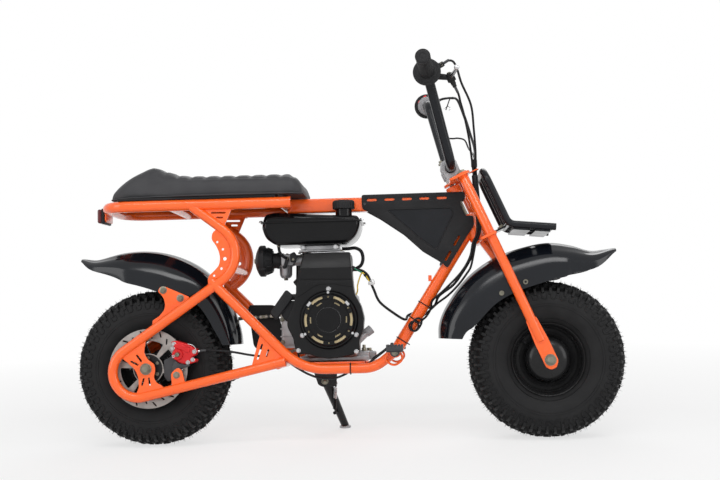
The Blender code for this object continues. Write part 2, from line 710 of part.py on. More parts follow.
def engine():
    # A low case with a sump and an oil filler, fins up the cylinder, and the starter's pulley.
    cx, cz = CRANK
    base = MOUNT_TOP + GAP
    shoulder = cz + 0.060
    case = block((cx - CASE_HALF, cx + CASE_HALF), (ENGINE_BACK + 0.0005, 0.056),
                 (base + 0.008, shoulder), 0.008, 1)
    union(case, block((cx - 0.074, cx + 0.086), (-0.050, 0.050), (base, base + SUMP_H)))
    union(case, block((BARREL_REAR + 0.008, cx + 0.028), (-BARREL_HALF + 0.008, BARREL_HALF - 0.008),
                      (shoulder - 0.010, CYLINDER_TOP - 0.004)))
    for k in range(5):
        z = shoulder + 0.012 + 0.0185 * k
        top = CYLINDER_TOP if k == 4 else z + FIN_T
        union(case, block((BARREL_REAR, cx + 0.036), (-BARREL_HALF, BARREL_HALF), (z, top)))
    filler = Vector((cx + 0.052, -0.030, cz - 0.052))
    toward = Vector((0.80, 0, 0.60))
    union(case, rod(filler, filler + toward * 0.060, 0.0125, 12),
          rod(filler + toward * 0.056, filler + toward * 0.072, 0.0165, 12))
    union(case, drum(CRANK, 0.045, 0.050, 0.064, 16))
    union(case, drum(CRANK, PULLEY_R, ENGINE_BACK - 0.0495, ENGINE_BACK + 0.004, 20))
    keep(case, "engine_block", (STEEL, 0.4, 0.9))

    shroud = pillow(around(SHROUD), ENGINE_FACE, ENGINE_BACK, 0.006, 0)
    union(shroud, rod((0.345, -0.084, 0.332), (0.3225, -0.084, 0.332), 0.007, 10))
    cut(shroud, drum(CRANK, FAN_OPEN_R, ENGINE_FACE - 0.01, ENGINE_BACK + 0.01, 26))
    for x, z in SHROUD_BOLTS:
        union(shroud, drum((cx + x, cz + z), SHROUD_BOLT_R, ENGINE_FACE - 0.003, ENGINE_FACE + 0.010, 6))
    keep(shroud, "engine_shroud", (BLACK, 0.6, 0.0))
    handle = pillow(HANDLE, -0.098, -0.070, 0.004)
    keep(handle, "recoil_handle", (BLACK, 0.5, 0.0))


FAN_SLOTS = [(0.0485, 0.0575, 60 * k, 18) for k in range(6)] + [(0.0375, 0.0445, 60 * k, 14)
                                                               for k in range(6)]
FAN_HOLES = (90, 210, 330)
FAN_HOLE_R = 0.0035
FAN_FACE = 0.014
FAN_WALL = 0.0035
FAN_STEP = 0.004


def fan_cover():
    # The starter's cup: a rim in the shroud, a raised face pierced by two rings of slots.
    cx, cz = CRANK
    front, mouth = ENGINE_FACE - FAN_FACE, ENGINE_BACK - 0.032
    cover = drum(CRANK, FAN_OPEN_R - GAP, front + 0.006, ENGINE_BACK - GAP, 26)
    union(cover, drum(CRANK, FAN_OPEN_R - FAN_STEP, front, front + 0.010, 26, 0.002))
    cut(cover, drum(CRANK, FAN_OPEN_R - FAN_WALL, mouth, ENGINE_BACK + 0.01, 26))
    cut(cover, drum(CRANK, FAN_OPEN_R - FAN_STEP - FAN_WALL, front + FAN_WALL, mouth + 0.01, 26))
    windows = [around(arc_slot((0, 0), inner, outer, middle - half, middle + half))
               for inner, outer, middle, half in FAN_SLOTS]
    windows += [hexagon(cx + 0.050 * math.cos(math.radians(a)), cz + 0.050 * math.sin(math.radians(a)),
                        FAN_HOLE_R) for a in FAN_HOLES]
    pierce(cover, windows, front - 0.01, front + FAN_WALL + 0.001)
    keep(cover, "fan_cover", (BLACK, 0.4, 0.0))


TANK_SIDE = [(0.2640, 0.507), (0.2615, 0.492), (0.2700, 0.468), (0.2890, 0.4545), (0.300, TANK_LOW),
             (0.455, TANK_LOW), (0.4730, 0.4645), (0.4810, 0.476), (0.4870, 0.494), (0.4865, 0.508),
             (0.4800, 0.516), (0.4200, 0.5190), (0.2945, 0.5275), (0.2700, 0.5230)]
TANK_HALF = 0.072
TANK_SEAM = 0.5035
CAP_X = 0.4495
CAP_R = 0.0256
NECK_R = 0.019
CAP_Z = (0.532, 0.553)


def fuel_tank():
    tank = pillow(TANK_SIDE, -TANK_HALF, TANK_HALF, 0.010)
    union(tank, block((0.2575, 0.4925), (-TANK_HALF - 0.006, TANK_HALF + 0.006),
                      (TANK_SEAM - 0.0018, TANK_SEAM + 0.0018)))
    union(tank, drum_up(CAP_X, CAP_Y, NECK_R, TANK_SEAM, CAP_Z[0] - GAP, 16))
    keep(tank, "fuel_tank", (BLACK, 0.2, 0.0))
    cap = drum_up(CAP_X, CAP_Y, CAP_R, CAP_Z[0], CAP_Z[1], 20)
    soften(cap, 0.003, 1)
    keep(cap, "fuel_cap", (BLACK, 0.5, 0.0))
    stay = block((0.345, 0.440), (-0.050, 0.050), (CYLINDER_TOP + GAP, TANK_LOW - GAP))
    keep(stay, "tank_stay", (STEEL, 0.4, 0.9))


def drum_up(x, y, radius, z0, z1, sides=20):
    return rod((x, y, z0), (x, y, z1), radius, sides)


FILTER_Z = 0.420
FILTER_Y = -0.002


def fuel_system():
    # The carburettor with its bowl, and a round filter whose stepped lid faces the rear.
    carb = block((0.300, BARREL_REAR - GAP), (-0.024, 0.020), (0.404, 0.436), 0.003, 1)
    union(carb, drum_up(0.324, FILTER_Y, 0.018, 0.374, 0.408, 14),
          rod((0.330, -0.045, 0.420), (0.330, 0.030, 0.420), 0.0055, 8))
    keep(carb, "carburettor", (STEEL, 0.35, 0.9))
    stations = [(0.238, 0.010), (0.248, 0.0345), (0.250, 0.0365), (0.262, 0.0365), (0.264, 0.031),
                (0.279, 0.025), (0.281, 0.0175), (0.300 - GAP, 0.0175)]
    rings = [[Vector((x, FILTER_Y + a * r / 0.0365, FILTER_Z + b * r / 0.0365))
              for a, b in circle(0.0365, 18)] for x, r in stations]
    keep(loft(rings), "air_filter", (BLACK, 0.5, 0.0))


def exhaust():
    box = block((0.330, 0.460), (BARREL_HALF + GAP, 0.104), (0.362, 0.440), 0.010)
    keep(box, "muffler", (BLACK, 0.5, 0.5))


def pitch_radius(teeth):
    return CHAIN_PITCH / 2 / math.sin(math.pi / teeth)


def toothed(centre, teeth, y, thick):
    # A sprocket's outline: a root point and a tip point at each tooth.
    pitch = pitch_radius(teeth)
    outline = []
    for k in range(teeth):
        for part, r in ((0.20, pitch - 0.0042), (0.70, pitch + 0.0026)):
            angle = 2 * math.pi * (k + part) / teeth
            outline.append((centre[0] + r * math.cos(angle), centre[1] + r * math.sin(angle)))
    return prism(outline, y - thick / 2, y + thick / 2)


def chain_loop(grow):
    # The chain's path round both sprockets, moved outwards by grow.
    wheel = Vector((0.0, AXLE_Z))
    reach = Vector(CRANK) - wheel
    large, small = pitch_radius(LARGE_TEETH), pitch_radius(SMALL_TEETH)
    tilt = math.atan2(reach.y, reach.x)
    spread = math.acos((large - small) / reach.length)
    loop = []
    for centre, radius, start, turn, steps in (
            (wheel, large + grow, tilt + spread, 2 * math.pi - 2 * spread, 28),
            (Vector(CRANK), small + grow, tilt - spread, 2 * spread, 8)):
        for k in range(steps + 1):
            angle = start + turn * k / steps
            loop.append(centre + Vector((math.cos(angle), math.sin(angle))) * radius)
    return loop


def drive():
    # The chain is a channel, open towards the teeth: two rows of plates and the rollers' backs.
    clutch = drum(CRANK, 0.040, 0.064 + GAP, CHAIN_Y - CHAIN_HALF - 0.0015, 20)
    union(clutch, drum(CRANK, 0.0145, 0.070, CHAIN_Y + 0.012, 12))
    union(clutch, toothed(CRANK, SMALL_TEETH, CHAIN_Y, SPROCKET_T))
    keep(clutch, "clutch", (STEEL, 0.4, 0.9))

    low, high, web = (chain_loop(g) for g in (-0.0052, 0.0046, 0.0034))
    half, inside = CHAIN_HALF, SPROCKET_T / 2 + 0.0006
    rings = []
    for a, b, c in zip(low, high, web):
        section = ((a, -half), (b, -half), (b, half), (a, half), (a, inside), (c, inside),
                   (c, -inside), (a, -inside))
        rings.append([Vector((p.x, CHAIN_Y + y, p.y)) for p, y in section])
    keep(loft(rings, closed=True), "chain", (STEEL, 0.4, 0.9))


# Wheels
def crown(y, radius):
    return radius - CROWN_R + math.sqrt(CROWN_R ** 2 - y * y)


TREAD_EDGES = [-0.060, -0.045, -0.040, -0.024, -0.019, -0.003, 0.003, 0.019, 0.024, 0.040,
               0.045, 0.060]
LUG_COLUMNS = {0: 0, 2: 1, 4: 0, 6: 1, 8: 0, 10: 1}
TREAD_CELLS = 24
LUG_TAPER = 0.12


def tyre(name, axle_x, holder):
    # A ring of cells round the axle: every other face of each lug column is raised.
    base = TYRE_R - LUG_H
    side = [(RIM_BARREL_R + 0.0015, RIM_HALF - 0.006), (RIM_LIP_R + 0.0008, RIM_HALF - 0.0035),
            (RIM_LIP_R + 0.0015, RIM_HALF + 0.0015), (RIM_LIP_R + 0.0170, RIM_HALF + 0.012),
            (RIM_LIP_R + 0.045, TYRE_HALF), (base - 0.022, TYRE_HALF - 0.002)]
    profile = list(side)
    profile += [(crown(y, base), y) for y in reversed(TREAD_EDGES)]
    profile += [(r, -y) for r, y in reversed(side)]
    count = len(profile)
    frame = bmesh.new()
    rings = []
    for k in range(TREAD_CELLS):
        angle = 2 * math.pi * (k - 0.5) / TREAD_CELLS - math.pi / 2
        c, s = math.cos(angle), math.sin(angle)
        rings.append([frame.verts.new((axle_x + r * c, y, AXLE_Z + r * s)) for r, y in profile])
    lugs = []
    for k in range(TREAD_CELLS):
        here, after = rings[k], rings[(k + 1) % TREAD_CELLS]
        for j in range(count):
            n = (j + 1) % count
            face = frame.faces.new((here[j], here[n], after[n], after[j]))
            column = j - len(side)
            if column in LUG_COLUMNS and (k + LUG_COLUMNS[column]) % 2 == 0:
                lugs.append(face)
    bmesh.ops.recalc_face_normals(frame, faces=frame.faces)
    raised = bmesh.ops.extrude_discrete_faces(frame, faces=lugs)["faces"]
    centre = Vector((axle_x, 0, AXLE_Z))
    for face in raised:
        middle = face.calc_center_median()
        for vert in face.verts:
            offset = vert.co + (middle - vert.co) * LUG_TAPER - centre
            flat = Vector((offset.x, 0, offset.z)).normalized() * crown(offset.y, TYRE_R)
            vert.co = centre + Vector((flat.x, offset.y, flat.z))
    mesh = bpy.data.meshes.new("shape")
    frame.to_mesh(mesh)
    frame.free()
    obj = bpy.data.objects.new("shape", mesh)
    bpy.context.scene.collection.objects.link(obj)
    keep(obj, name, (RUBBER, 0.8, 0.0), holder)


AXLE_BORE_R = AXLE_R / math.cos(math.pi / 12) + GAP
WEB_R = RIM_BARREL_R - 0.005
RIM_STEPS = 20


def rim_edge():
    # The barrel and the lip of a rim, from one inner corner round to the other.
    lip, half, barrel = RIM_LIP_R, RIM_HALF, RIM_BARREL_R
    return [(WEB_R, -half + 0.005), (lip, -half), (lip, -half + 0.003), (barrel, -half + 0.006),
            (barrel, half - 0.006), (lip, half - 0.003), (lip, half), (WEB_R, half - 0.005)]


def front_rim():
    # A domed hub cap in the middle of a deep dish.
    hub = FRONT_HUB_R
    end = FORK_HALF - FORK_TUBE_R - 0.0255
    profile = [(AXLE_BORE_R, -end), (hub - 0.017, -end + 0.006), (hub, -end + 0.020),
               (hub + 0.003, -0.018), (WEB_R - 0.005, -0.014)] + rim_edge()
    profile += [(WEB_R - 0.005, 0.006), (hub + 0.003, 0.002), (hub, end - 0.020),
                (hub - 0.017, end - 0.006), (AXLE_BORE_R, end)]
    rim = turned(profile, RIM_STEPS, (WHEELBASE, 0, AXLE_Z))
    keep(rim, "front_rim", (BLACK, 0.3, 0.3), "front_axle_line")


REAR_WINDOWS = 5


def rear_rim():
    # A flat web with large windows between hub and barrel.
    hub = REAR_HUB_R
    profile = [(AXLE_BORE_R, -HUB_HALF), (hub, -HUB_HALF), (hub, -0.006), (WEB_R, -0.006)]
    profile += rim_edge() + [(WEB_R, 0.006), (hub, 0.006), (hub, HUB_HALF), (AXLE_BORE_R, HUB_HALF)]
    rim = turned(profile, RIM_STEPS, (0, 0, AXLE_Z))
    windows = [arc_slot((0, AXLE_Z), hub + 0.008, WEB_R - 0.007, a - 24, a + 24)
               for a in (17 + 360 * k / REAR_WINDOWS for k in range(REAR_WINDOWS))]
    pierce(rim, windows, -0.03, 0.03)
    keep(rim, "rear_rim", (BLACK, 0.4, 0.3), "rear_axle_line")


DISC_ARMS = 6
DISC_BAND = 0.028
DISC_SLOTS = 12


def brake_disc():
    # A slotted band on arms that reach in to the hub.
    t = DISC_T / 2
    disc = turned([(AXLE_BORE_R, DISC_Y - t), (DISC_R, DISC_Y - t), (DISC_R, DISC_Y + t),
                   (0.0300, DISC_Y + t), (0.0300, -HUB_HALF - GAP), (AXLE_BORE_R, -HUB_HALF - GAP)],
                  30, (0, 0, AXLE_Z))
    inner = DISC_R - DISC_BAND
    spans = [360 * k / DISC_ARMS for k in range(DISC_ARMS)]
    windows = [arc_slot((0, AXLE_Z), 0.0335, inner, a - 22, a + 20) for a in spans]
    for k in range(DISC_SLOTS):
        angle = math.radians(360 * (k + 0.5) / DISC_SLOTS)
        a = Vector((math.cos(angle), math.sin(angle))) * (inner + 0.008)
        b = Vector((math.cos(angle + 0.14), math.sin(angle + 0.14))) * (DISC_R - 0.006)
        windows.append(slot(a.x, AXLE_Z + a.y, b.x, AXLE_Z + b.y, 0.0048, 1))
    pierce(disc, windows, DISC_Y - 0.01, DISC_Y + 0.01)
    keep(disc, "brake_disc", (STEEL, 0.3, 1.0), "rear_axle_line")


def rear_sprocket():
    t = SPROCKET_T / 2
    disc = toothed((0, AXLE_Z), LARGE_TEETH, CHAIN_Y, SPROCKET_T)
    union(disc, drum((0, AXLE_Z), 0.030, HUB_HALF + GAP, CHAIN_Y - t + 0.001, 20))
    windows = [arc_slot((0, AXLE_Z), 0.042, 0.078, 60 * k - 20, 60 * k + 20) for k in range(6)]
    pierce(disc, windows, CHAIN_Y - 0.01, CHAIN_Y + 0.01)
    cut(disc, drum((0, AXLE_Z), AXLE_BORE_R, HUB_HALF - 0.01, CHAIN_Y + 0.01, 12))
    keep(disc, "rear_sprocket", (STEEL, 0.35, 1.0), "rear_axle_line")


def axle(x, inside, holder, name):
    head = inside + GAP
    shaft = drum((x, AXLE_Z), AXLE_R, -head - 0.013, head + 0.013, 12)
    union(shaft, drum((x, AXLE_Z), 0.0125, -head - 0.009, -head, 6),
          drum((x, AXLE_Z), 0.0125, head, head + 0.009, 6))
    keep(shaft, name, (STEEL, 0.3, 1.0), holder)


def axles():
    axle(0.0, LOOP_HALF + DROPOUT_T / 2, "bike", "rear_axle")
    axle(WHEELBASE, FORK_HALF + FORK_PLATE_T / 2, "steering_axis", "front_axle")


CALLIPER = [(0.0545, 0.060), (0.0661, 0.063), (0.0963, 0.053), (0.1170, 0.040), (0.1121, 0.0287),
            (0.1000, 0.0235), (0.1142, 0.0195), (0.1119, 0.0128), (0.0909, 0.0075),
            (0.0740, 0.0110), (0.0620, 0.0205), (0.0635, 0.039)]


def brake_calliper():
    # The calliper straddles the disc's rim and bolts to a tab on the side loop.
    t = DISC_T / 2 + 0.0012
    body = pillow([(x, AXLE_Z + z) for x, z in CALLIPER], DISC_Y - 0.016, DISC_Y + 0.009, 0.003)
    union(body, drum((0.0705, AXLE_Z + 0.0308), 0.0125, DISC_Y - 0.020, DISC_Y - 0.010, 14))
    cut(body, drum((0, AXLE_Z), DISC_R + 0.003, DISC_Y - t, DISC_Y + t, 36))
    keep(body, "brake_calliper", ((0.7, 0.02, 0.02), 0.35, 0.3))
    top = -LOOP_HALF + PLATE_T / 2 + GAP
    tab = prism([(0.060, AXLE_Z - 0.010), (0.076, AXLE_Z - 0.002), (0.098, AXLE_Z + 0.0042),
                 (0.098, AXLE_Z + 0.0066), (0.0909, AXLE_Z + 0.0071), (0.0745, AXLE_Z + 0.0102),
                 (0.0650, AXLE_Z + 0.0172), (0.058, AXLE_Z + 0.002)], top, DISC_Y - 0.006)
    keep(tab, "calliper_bracket", (BLACK, 0.4, 0.6))


# Fork and steering
FORK_TOP = UPPER_CLAMP_U + 0.005
FORK_BOTTOM = -AXLE_DROP + 0.0464
FORK_TAB = [(-0.0125, 0.1014), (0.0125, 0.1014), (0.016, 0.0464), (0.016, -0.0086),
            (0.006, -0.0206), (-0.008, -0.0206), (-0.016, -0.0106), (-0.016, 0.0464)]


def fork_legs():
    for side, name in ((-1, "fork_leg_right"), (1, "fork_leg_left")):
        y = FORK_HALF * side
        leg = rod(steer_point(FORK_OFFSET, y, FORK_BOTTOM), steer_point(FORK_OFFSET, y, FORK_TOP),
                  FORK_TUBE_R, 14)
        outline = [steer_point(FORK_OFFSET + f, 0, u - AXLE_DROP) for f, u in FORK_TAB]
        union(leg, prism([(p.x, p.z) for p in outline], y - FORK_PLATE_T / 2, y + FORK_PLATE_T / 2))
        cut(leg, drum((WHEELBASE, AXLE_Z), AXLE_BORE_R, y - 0.02, y + 0.02, 12))
        keep(leg, name, (ORANGE, 0.3, 0.0), "steering_axis")


CLAMP_HALF = FORK_HALF + 0.018
LOWER_CLAMP_EDGES = (-0.001, 0.040)
UPPER_CLAMP_EDGES = (-0.007, 0.043)


def clamp_plate(u, edges):
    # A plate square to the steering axis that spans both legs, with a round nose over the stem.
    back, front = edges
    half = CLAMP_HALF
    outline = [(back, -half), (front - 0.004, -half), (front, -half + 0.012), (front - 0.004, 0.0),
               (front, half - 0.012), (front - 0.004, half), (back, half), (back, 0.028),
               (-0.012, 0.019), (-0.0185, 0.009), (-0.0185, -0.009), (-0.012, -0.019),
               (back, -0.028)]
    plate = loft([[steer_point(f, y, u + s * CLAMP_T / 2) for f, y in outline] for s in (-1, 1)])
    for side in (-1, 1):
        y = FORK_HALF * side
        cut(plate, rod(steer_point(FORK_OFFSET, y, u - 0.02), steer_point(FORK_OFFSET, y, u + 0.02),
                       FORK_TUBE_R + GAP, 14))
    return plate


STAY_TOP = (0.004, 0.0)
STAY_FOOT_F = 0.0145
STAY_HALF = (0.005, 0.016)


def crown_up(forward):
    # Height of the front fender's crown along the steering axis, at a distance ahead of it.
    path = fender_path(FRONT_FENDER, WHEELBASE)
    along = [((p - steer_point(0, 0, 0)).dot(steer_axis("forward")),
              (p - steer_point(0, 0, 0)).dot(steer_axis("up"))) for p in path]
    for (fb, ub), (fa, ua) in zip(along, along[1:]):
        if fb <= forward <= fa:
            return ub + (ua - ub) * (forward - fb) / (fa - fb)
    return along[0][1]


def fender_stay():
    # A short leg from the lower clamp down to the crown of the front fender.
    half, deep = STAY_HALF
    top = max(crown_up(STAY_FOOT_F + half * k / 4) for k in range(-4, 5))
    rings = []
    for f, u in ((STAY_TOP[0], LOWER_CLAMP_U), (STAY_FOOT_F, top + GAP)):
        rings.append([steer_point(f + a, y, u) for a, y in
                      ((-half, -deep), (half, -deep), (half, deep), (-half, deep))])
    return loft(rings)


CABLE_RING = (0.0565, -0.062)
CABLE_RING_R = 0.0090
CABLE_RING_WIRE = 0.0016


def cable_ring(front):
    # A wire eye on the front of the upper clamp that gathers the cables.
    f, y = CABLE_RING
    path = [steer_point(f + a, y + b, UPPER_CLAMP_U) for a, b in circle(CABLE_RING_R, 12)]
    ring = sweep(path, circle(CABLE_RING_WIRE, 6), closed=True)
    return union(ring, rod(steer_point(front - 0.008, y, UPPER_CLAMP_U),
                           steer_point(f - CABLE_RING_R, y, UPPER_CLAMP_U), CABLE_RING_WIRE, 6))


def clamps():
    lower = clamp_plate(LOWER_CLAMP_U, LOWER_CLAMP_EDGES)
    union(lower, fender_stay())
    cut(lower, rod(steer_point(0, 0, LOWER_CLAMP_U), steer_point(0, 0, LOWER_CLAMP_U + 0.02),
                   STEM_R + GAP, 12))
    keep(lower, "lower_clamp", (ORANGE, 0.3, 0.0), "steering_axis")
    upper = clamp_plate(UPPER_CLAMP_U, UPPER_CLAMP_EDGES)
    cut(upper, rod(steer_point(0, 0, UPPER_CLAMP_U - 0.02), steer_point(0, 0, UPPER_CLAMP_U + 0.02),
                   STEM_R + GAP, 12))
    union(upper, cable_ring(UPPER_CLAMP_EDGES[1]))
    keep(upper, "upper_clamp", (ORANGE, 0.3, 0.0), "steering_axis")
    stem = rod(steer_point(0, 0, LOWER_CLAMP_U + GAP), steer_point(0, 0, STEM_TOP), STEM_R, 12)
    union(stem, rod(steer_point(0, 0, UPPER_CLAMP_U + CLAMP_T / 2 + GAP), steer_point(0, 0, STEM_TOP),
                    STEM_R * 1.8, 6))
    keep(stem, "steering_stem", (STEEL, 0.3, 1.0), "steering_axis")


def bar_path():
    low = steer_point(BAR_CENTRE[0], 0, BAR_CENTRE[1])
    half = [steer_point(*BAR_END), steer_point(*BAR_SHOULDER), Vector((low.x, BAR_ELBOW, low.z))]
    corners = [Vector((p.x, -p.y, p.z)) for p in half] + half[::-1]
    return bend(corners, [0.030, 0.035, 0.035, 0.030])


def handlebar():
    keep(tube(bar_path(), BAR_R), "handlebar", (BLACK, 0.35, 0.3), "steering_axis")
    f, u = BAR_CENTRE
    seat_u = UPPER_CLAMP_U + CLAMP_T / 2 + GAP
    outline = [(f - 0.020, seat_u), (f + 0.018, seat_u), (f + 0.020, u + 0.014), (f + 0.012, u + 0.022),
               (f - 0.014, u + 0.022), (f - 0.022, u + 0.012)]
    points = [steer_point(a, 0, b) for a, b in outline]
    riser = prism([(p.x, p.z) for p in points], -0.036, 0.036)
    low = steer_point(f, 0, u)
    cut(riser, rod((low.x, -0.05, low.z), (low.x, 0.05, low.z), BAR_R + GAP, 10),
        rod(steer_point(0, 0, seat_u - 0.01), steer_point(0, 0, STEM_TOP + GAP), STEM_R * 1.8 + GAP, 6))
    keep(riser, "handlebar_clamp", (STEEL, 0.3, 0.9), "steering_axis")


def bar_frame(side):
    # The outer end of the bar and the direction of the grip, outwards.
    outer, inner = (steer_point(f, y * side, u) for f, y, u in (BAR_END, BAR_SHOULDER))
    return outer, (outer - inner).normalized()


def housing_start(side):
    outer, along = bar_frame(side)
    return outer + along * (0.0035 - GRIP_LENGTH - GAP), along


NOSE_REACH = (0.0415, 0.005)
NOSE_R = 0.006


def housing_nose():
    # The throttle cable's socket: its root on the bar and its tip ahead of the housing.
    start, along = housing_start(-1)
    root = start - along * HOUSING_W / 2
    return root, root + steer_axis("forward") * NOSE_REACH[0] + steer_axis("up") * NOSE_REACH[1]


def controls():
    for side, name in ((-1, "grip_right"), (1, "grip_left")):
        outer, along = bar_frame(side)
        end = outer + along * 0.0035
        inner = end - along * GRIP_LENGTH
        grip = rod(end, inner, GRIP_R, 16)
        union(grip, rod(inner + along * FLANGE_T, inner, FLANGE_R, 20))
        cut(grip, rod(inner - along * 0.01, outer + along * GAP, BAR_R + GAP, 10))
        keep(grip, name, (RUBBER, 0.7, 0.0), "steering_axis")
        start, _ = housing_start(side)
        housing = rod(start, start - along * HOUSING_W, HOUSING_R, 16)
        if side < 0:
            union(housing, rod(*housing_nose(), NOSE_R, 8))
        cut(housing, rod(inner + along * 0.01, inner - along * 0.05, BAR_R + GAP, 10))
        if side < 0:
            keep(housing, "throttle_housing", (BLACK, 0.4, 0.2), "steering_axis")
        else:
            keep(housing, "kill_switch", ((0.1, 0.1, 0.1), 0.5, 0.0), "steering_axis")


PERCH_W = 0.014
PERCH_R = 0.0165
LEVER_PIVOT = (0.0858, -0.186, 0.2620)
LEVER_EXIT_U = 0.2388
LEVER_BLADE = [(0.0858, -0.190, 0.2620), (0.0940, -0.225, 0.2625), (0.0979, -0.266, 0.2613)]
LEVER_BALL_R = 0.0058


def ball(centre, radius, sides=8):
    rings = []
    for k in range(5):
        angle = math.pi * (k / 4 - 0.5) * 0.8
        rings.append([centre + Vector((a, radius * math.sin(angle), b))
                      for a, b in circle(radius * math.cos(angle), sides)])
    return loft(rings)


def brake_lever():
    # A perch clamped beside the throttle, with its cable socket, a thin blade and a ball end.
    start, along = housing_start(-1)
    near = start - along * (HOUSING_W + GAP)
    f, y, u = LEVER_PIVOT
    lever = rod(near, near - along * PERCH_W, PERCH_R, 14)
    union(lever, rod(near - along * PERCH_W / 2, steer_point(f, y, u), 0.0065, 8),
          rod(steer_point(f, y, u + 0.006), steer_point(f, y, LEVER_EXIT_U), 0.0060, 8),
          sweep([steer_point(*p) for p in LEVER_BLADE], rectangle(0.005, 0.010)),
          ball(steer_point(*LEVER_BLADE[-1]) + Vector((0, -0.004, 0)), LEVER_BALL_R))
    cut(lever, tube(bar_path(), BAR_R + GAP))
    keep(lever, "brake_lever", (BLACK, 0.4, 0.3), "steering_axis")


RACK_TOP = (0.0727, 0.0567)
RACK_TURN = (0.0731, -0.0776)
RACK_FRONT = (0.1654, -0.1286)
RACK_HALF = 0.085
RACK_R = 0.008
RACK_FOOT = [(0.018, -0.030), (0.074, -0.040), (0.074, 0.040), (0.018, 0.030)]


def front_rack():
    # A hoop that stands before the head and bends forward into a short deck.
    y = RACK_HALF
    corners = [steer_point(RACK_FRONT[0], -y, RACK_FRONT[1]), steer_point(RACK_TURN[0], -y, RACK_TURN[1]),
               steer_point(RACK_TOP[0], -y, RACK_TOP[1])]
    corners += [Vector((p.x, y, p.z)) for p in reversed(corners)]
    rack = tube(bend(corners, [0.022, 0.030, 0.030, 0.022]), RACK_R)
    front, turn, top = (steer_point(f, 0, u) for f, u in (RACK_FRONT, RACK_TURN, RACK_TOP))
    front = front.lerp(turn, 0.08)
    for p in (front, turn + Vector((0, 0, 0.002))):
        union(rack, rod((p.x, -y, p.z), (p.x, y, p.z), 0.0065, 8))
    for inner in (-y / 3, y / 3):
        rail = [Vector((p.x, inner, p.z)) for p in (front, turn, top)]
        union(rack, tube(bend(rail, [0.02]), 0.0055, 6))
    seat_u = LOWER_CLAMP_U + CLAMP_T / 2 + GAP
    union(rack, loft([[steer_point(f, s, u) for f, s in RACK_FOOT] for u in (seat_u, seat_u + 0.004)]))
    keep(rack, "front_rack", (BLACK, 0.3, 0.2), "steering_axis")


# Side stand
def stand_axis():
    # The pivot bolt's direction: it carries the leg from its foot's place to its folded place.
    swing = STAND_FOOT - STAND_FOLDED
    across = Vector((0, math.cos(STAND_TILT), math.sin(STAND_TILT)))
    across.x = -(swing.y * across.y + swing.z * across.z) / swing.x
    return across.normalized()


def taper(start, end, wide, narrow, sides=12):
    # A straight round bar whose radius falls from wide to narrow.
    along = (end - start).normalized()
    side = along.cross(Vector((1, 0, 0))).normalized()
    other = along.cross(side)
    return loft([[p + side * a + other * b for a, b in circle(r, sides)]
                 for p, r in ((start, wide), (end, narrow))])


SPRING_TOP = Vector((0.4110, 0.0985, 0.1284))
SPRING_LOW = Vector((0.4050, 0.1240, 0.0560))


def leg_point(z):
    # The middle of the stand's leg at a height.
    start = STAND_PIVOT + stand_axis() * STAND_EYE_T / 2
    return start.lerp(STAND_FOOT, (start.z - z) / (start.z - STAND_FOOT.z))


def side_stand():
    axis = stand_axis()
    eye = rod(STAND_PIVOT, STAND_PIVOT + axis * STAND_EYE_T, STAND_EYE_R, 16)
    start = STAND_PIVOT + axis * STAND_EYE_T / 2
    union(eye, taper(start, STAND_FOOT, *STAND_LEG_R))
    union(eye, rod(leg_point(SPRING_LOW.z), SPRING_LOW, SPRING_PIN_R, 8))
    radius, thick = STAND_SOLE
    sole = [[Vector((STAND_FOOT.x + a, STAND_FOOT.y + b, floor_at(STAND_FOOT.y + b) + lift))
             for a, b in circle(radius, 12)] for lift in (0.0, thick)]
    union(eye, loft(sole))
    under = [[Vector((STAND_FOOT.x + dx, STAND_FOOT.y + dy, floor_at(STAND_FOOT.y + dy) - drop))
              for dx, dy in ((-0.1, -0.1), (0.1, -0.1), (0.1, 0.1), (-0.1, 0.1))]
             for drop in (0.030, 0.0)]
    cut(eye, loft(under))
    keep(eye, "side_stand", (BLACK, 0.4, 0.4), "stand_pivot")
    pull = (SPRING_LOW - SPRING_TOP).normalized()
    clear = pull * (SPRING_PIN_R + 3 * GAP)
    spring = rod(SPRING_TOP + clear, SPRING_LOW - clear, SPRING_R, 10)
    keep(spring, "stand_spring", (STEEL, 0.4, 0.9), "stand_pivot")


BRACKET = [(-0.016, -0.010), (-0.006, -0.016), (0.008, -0.017), (0.024, -0.016), (0.028, -0.004),
           (0.030, 0.060), (-0.030, 0.060)]


def stand_bracket():
    axis = stand_axis()
    rise = (Vector((0, 0, 1)) - axis * axis.z).normalized()
    along = axis.cross(rise).normalized()
    back = STAND_PIVOT - axis * (GAP + STAND_PLATE_T)
    plate = loft([[back + along * a + rise * b + axis * t for a, b in BRACKET]
                  for t in (0.0, STAND_PLATE_T)])
    under = CRADLE_Z + LOOP_TUBE_R
    union(plate, block((STAND_PIVOT.x - 0.030, STAND_PIVOT.x + 0.030),
                       (STAND_PIVOT.y - 0.040, STAND_PIVOT.y - 0.005), (under - 0.004, under)))
    pin = SPRING_TOP - axis * ((SPRING_TOP - back).dot(axis) - STAND_PLATE_T / 2)
    union(plate, rod(pin, SPRING_TOP + axis * 0.003, SPRING_PIN_R, 8))
    cut(plate, block((0.30, 0.50), (-0.05, 0.15), (under, under + 0.05)))
    keep(plate, "stand_bracket", (ORANGE, 0.3, 0.0))


# Cables
def by_tube(along, turn, reach):
    # A point beside the down tube: along it from its foot, round it from its front, and out.
    foot, head = down_tube_path()
    axis = (head - foot).normalized()
    front = Vector((axis.z, 0, -axis.x))
    angle = math.radians(turn)
    return foot + axis * along + front * reach * math.cos(angle) + Vector((0, reach * math.sin(angle), 0))


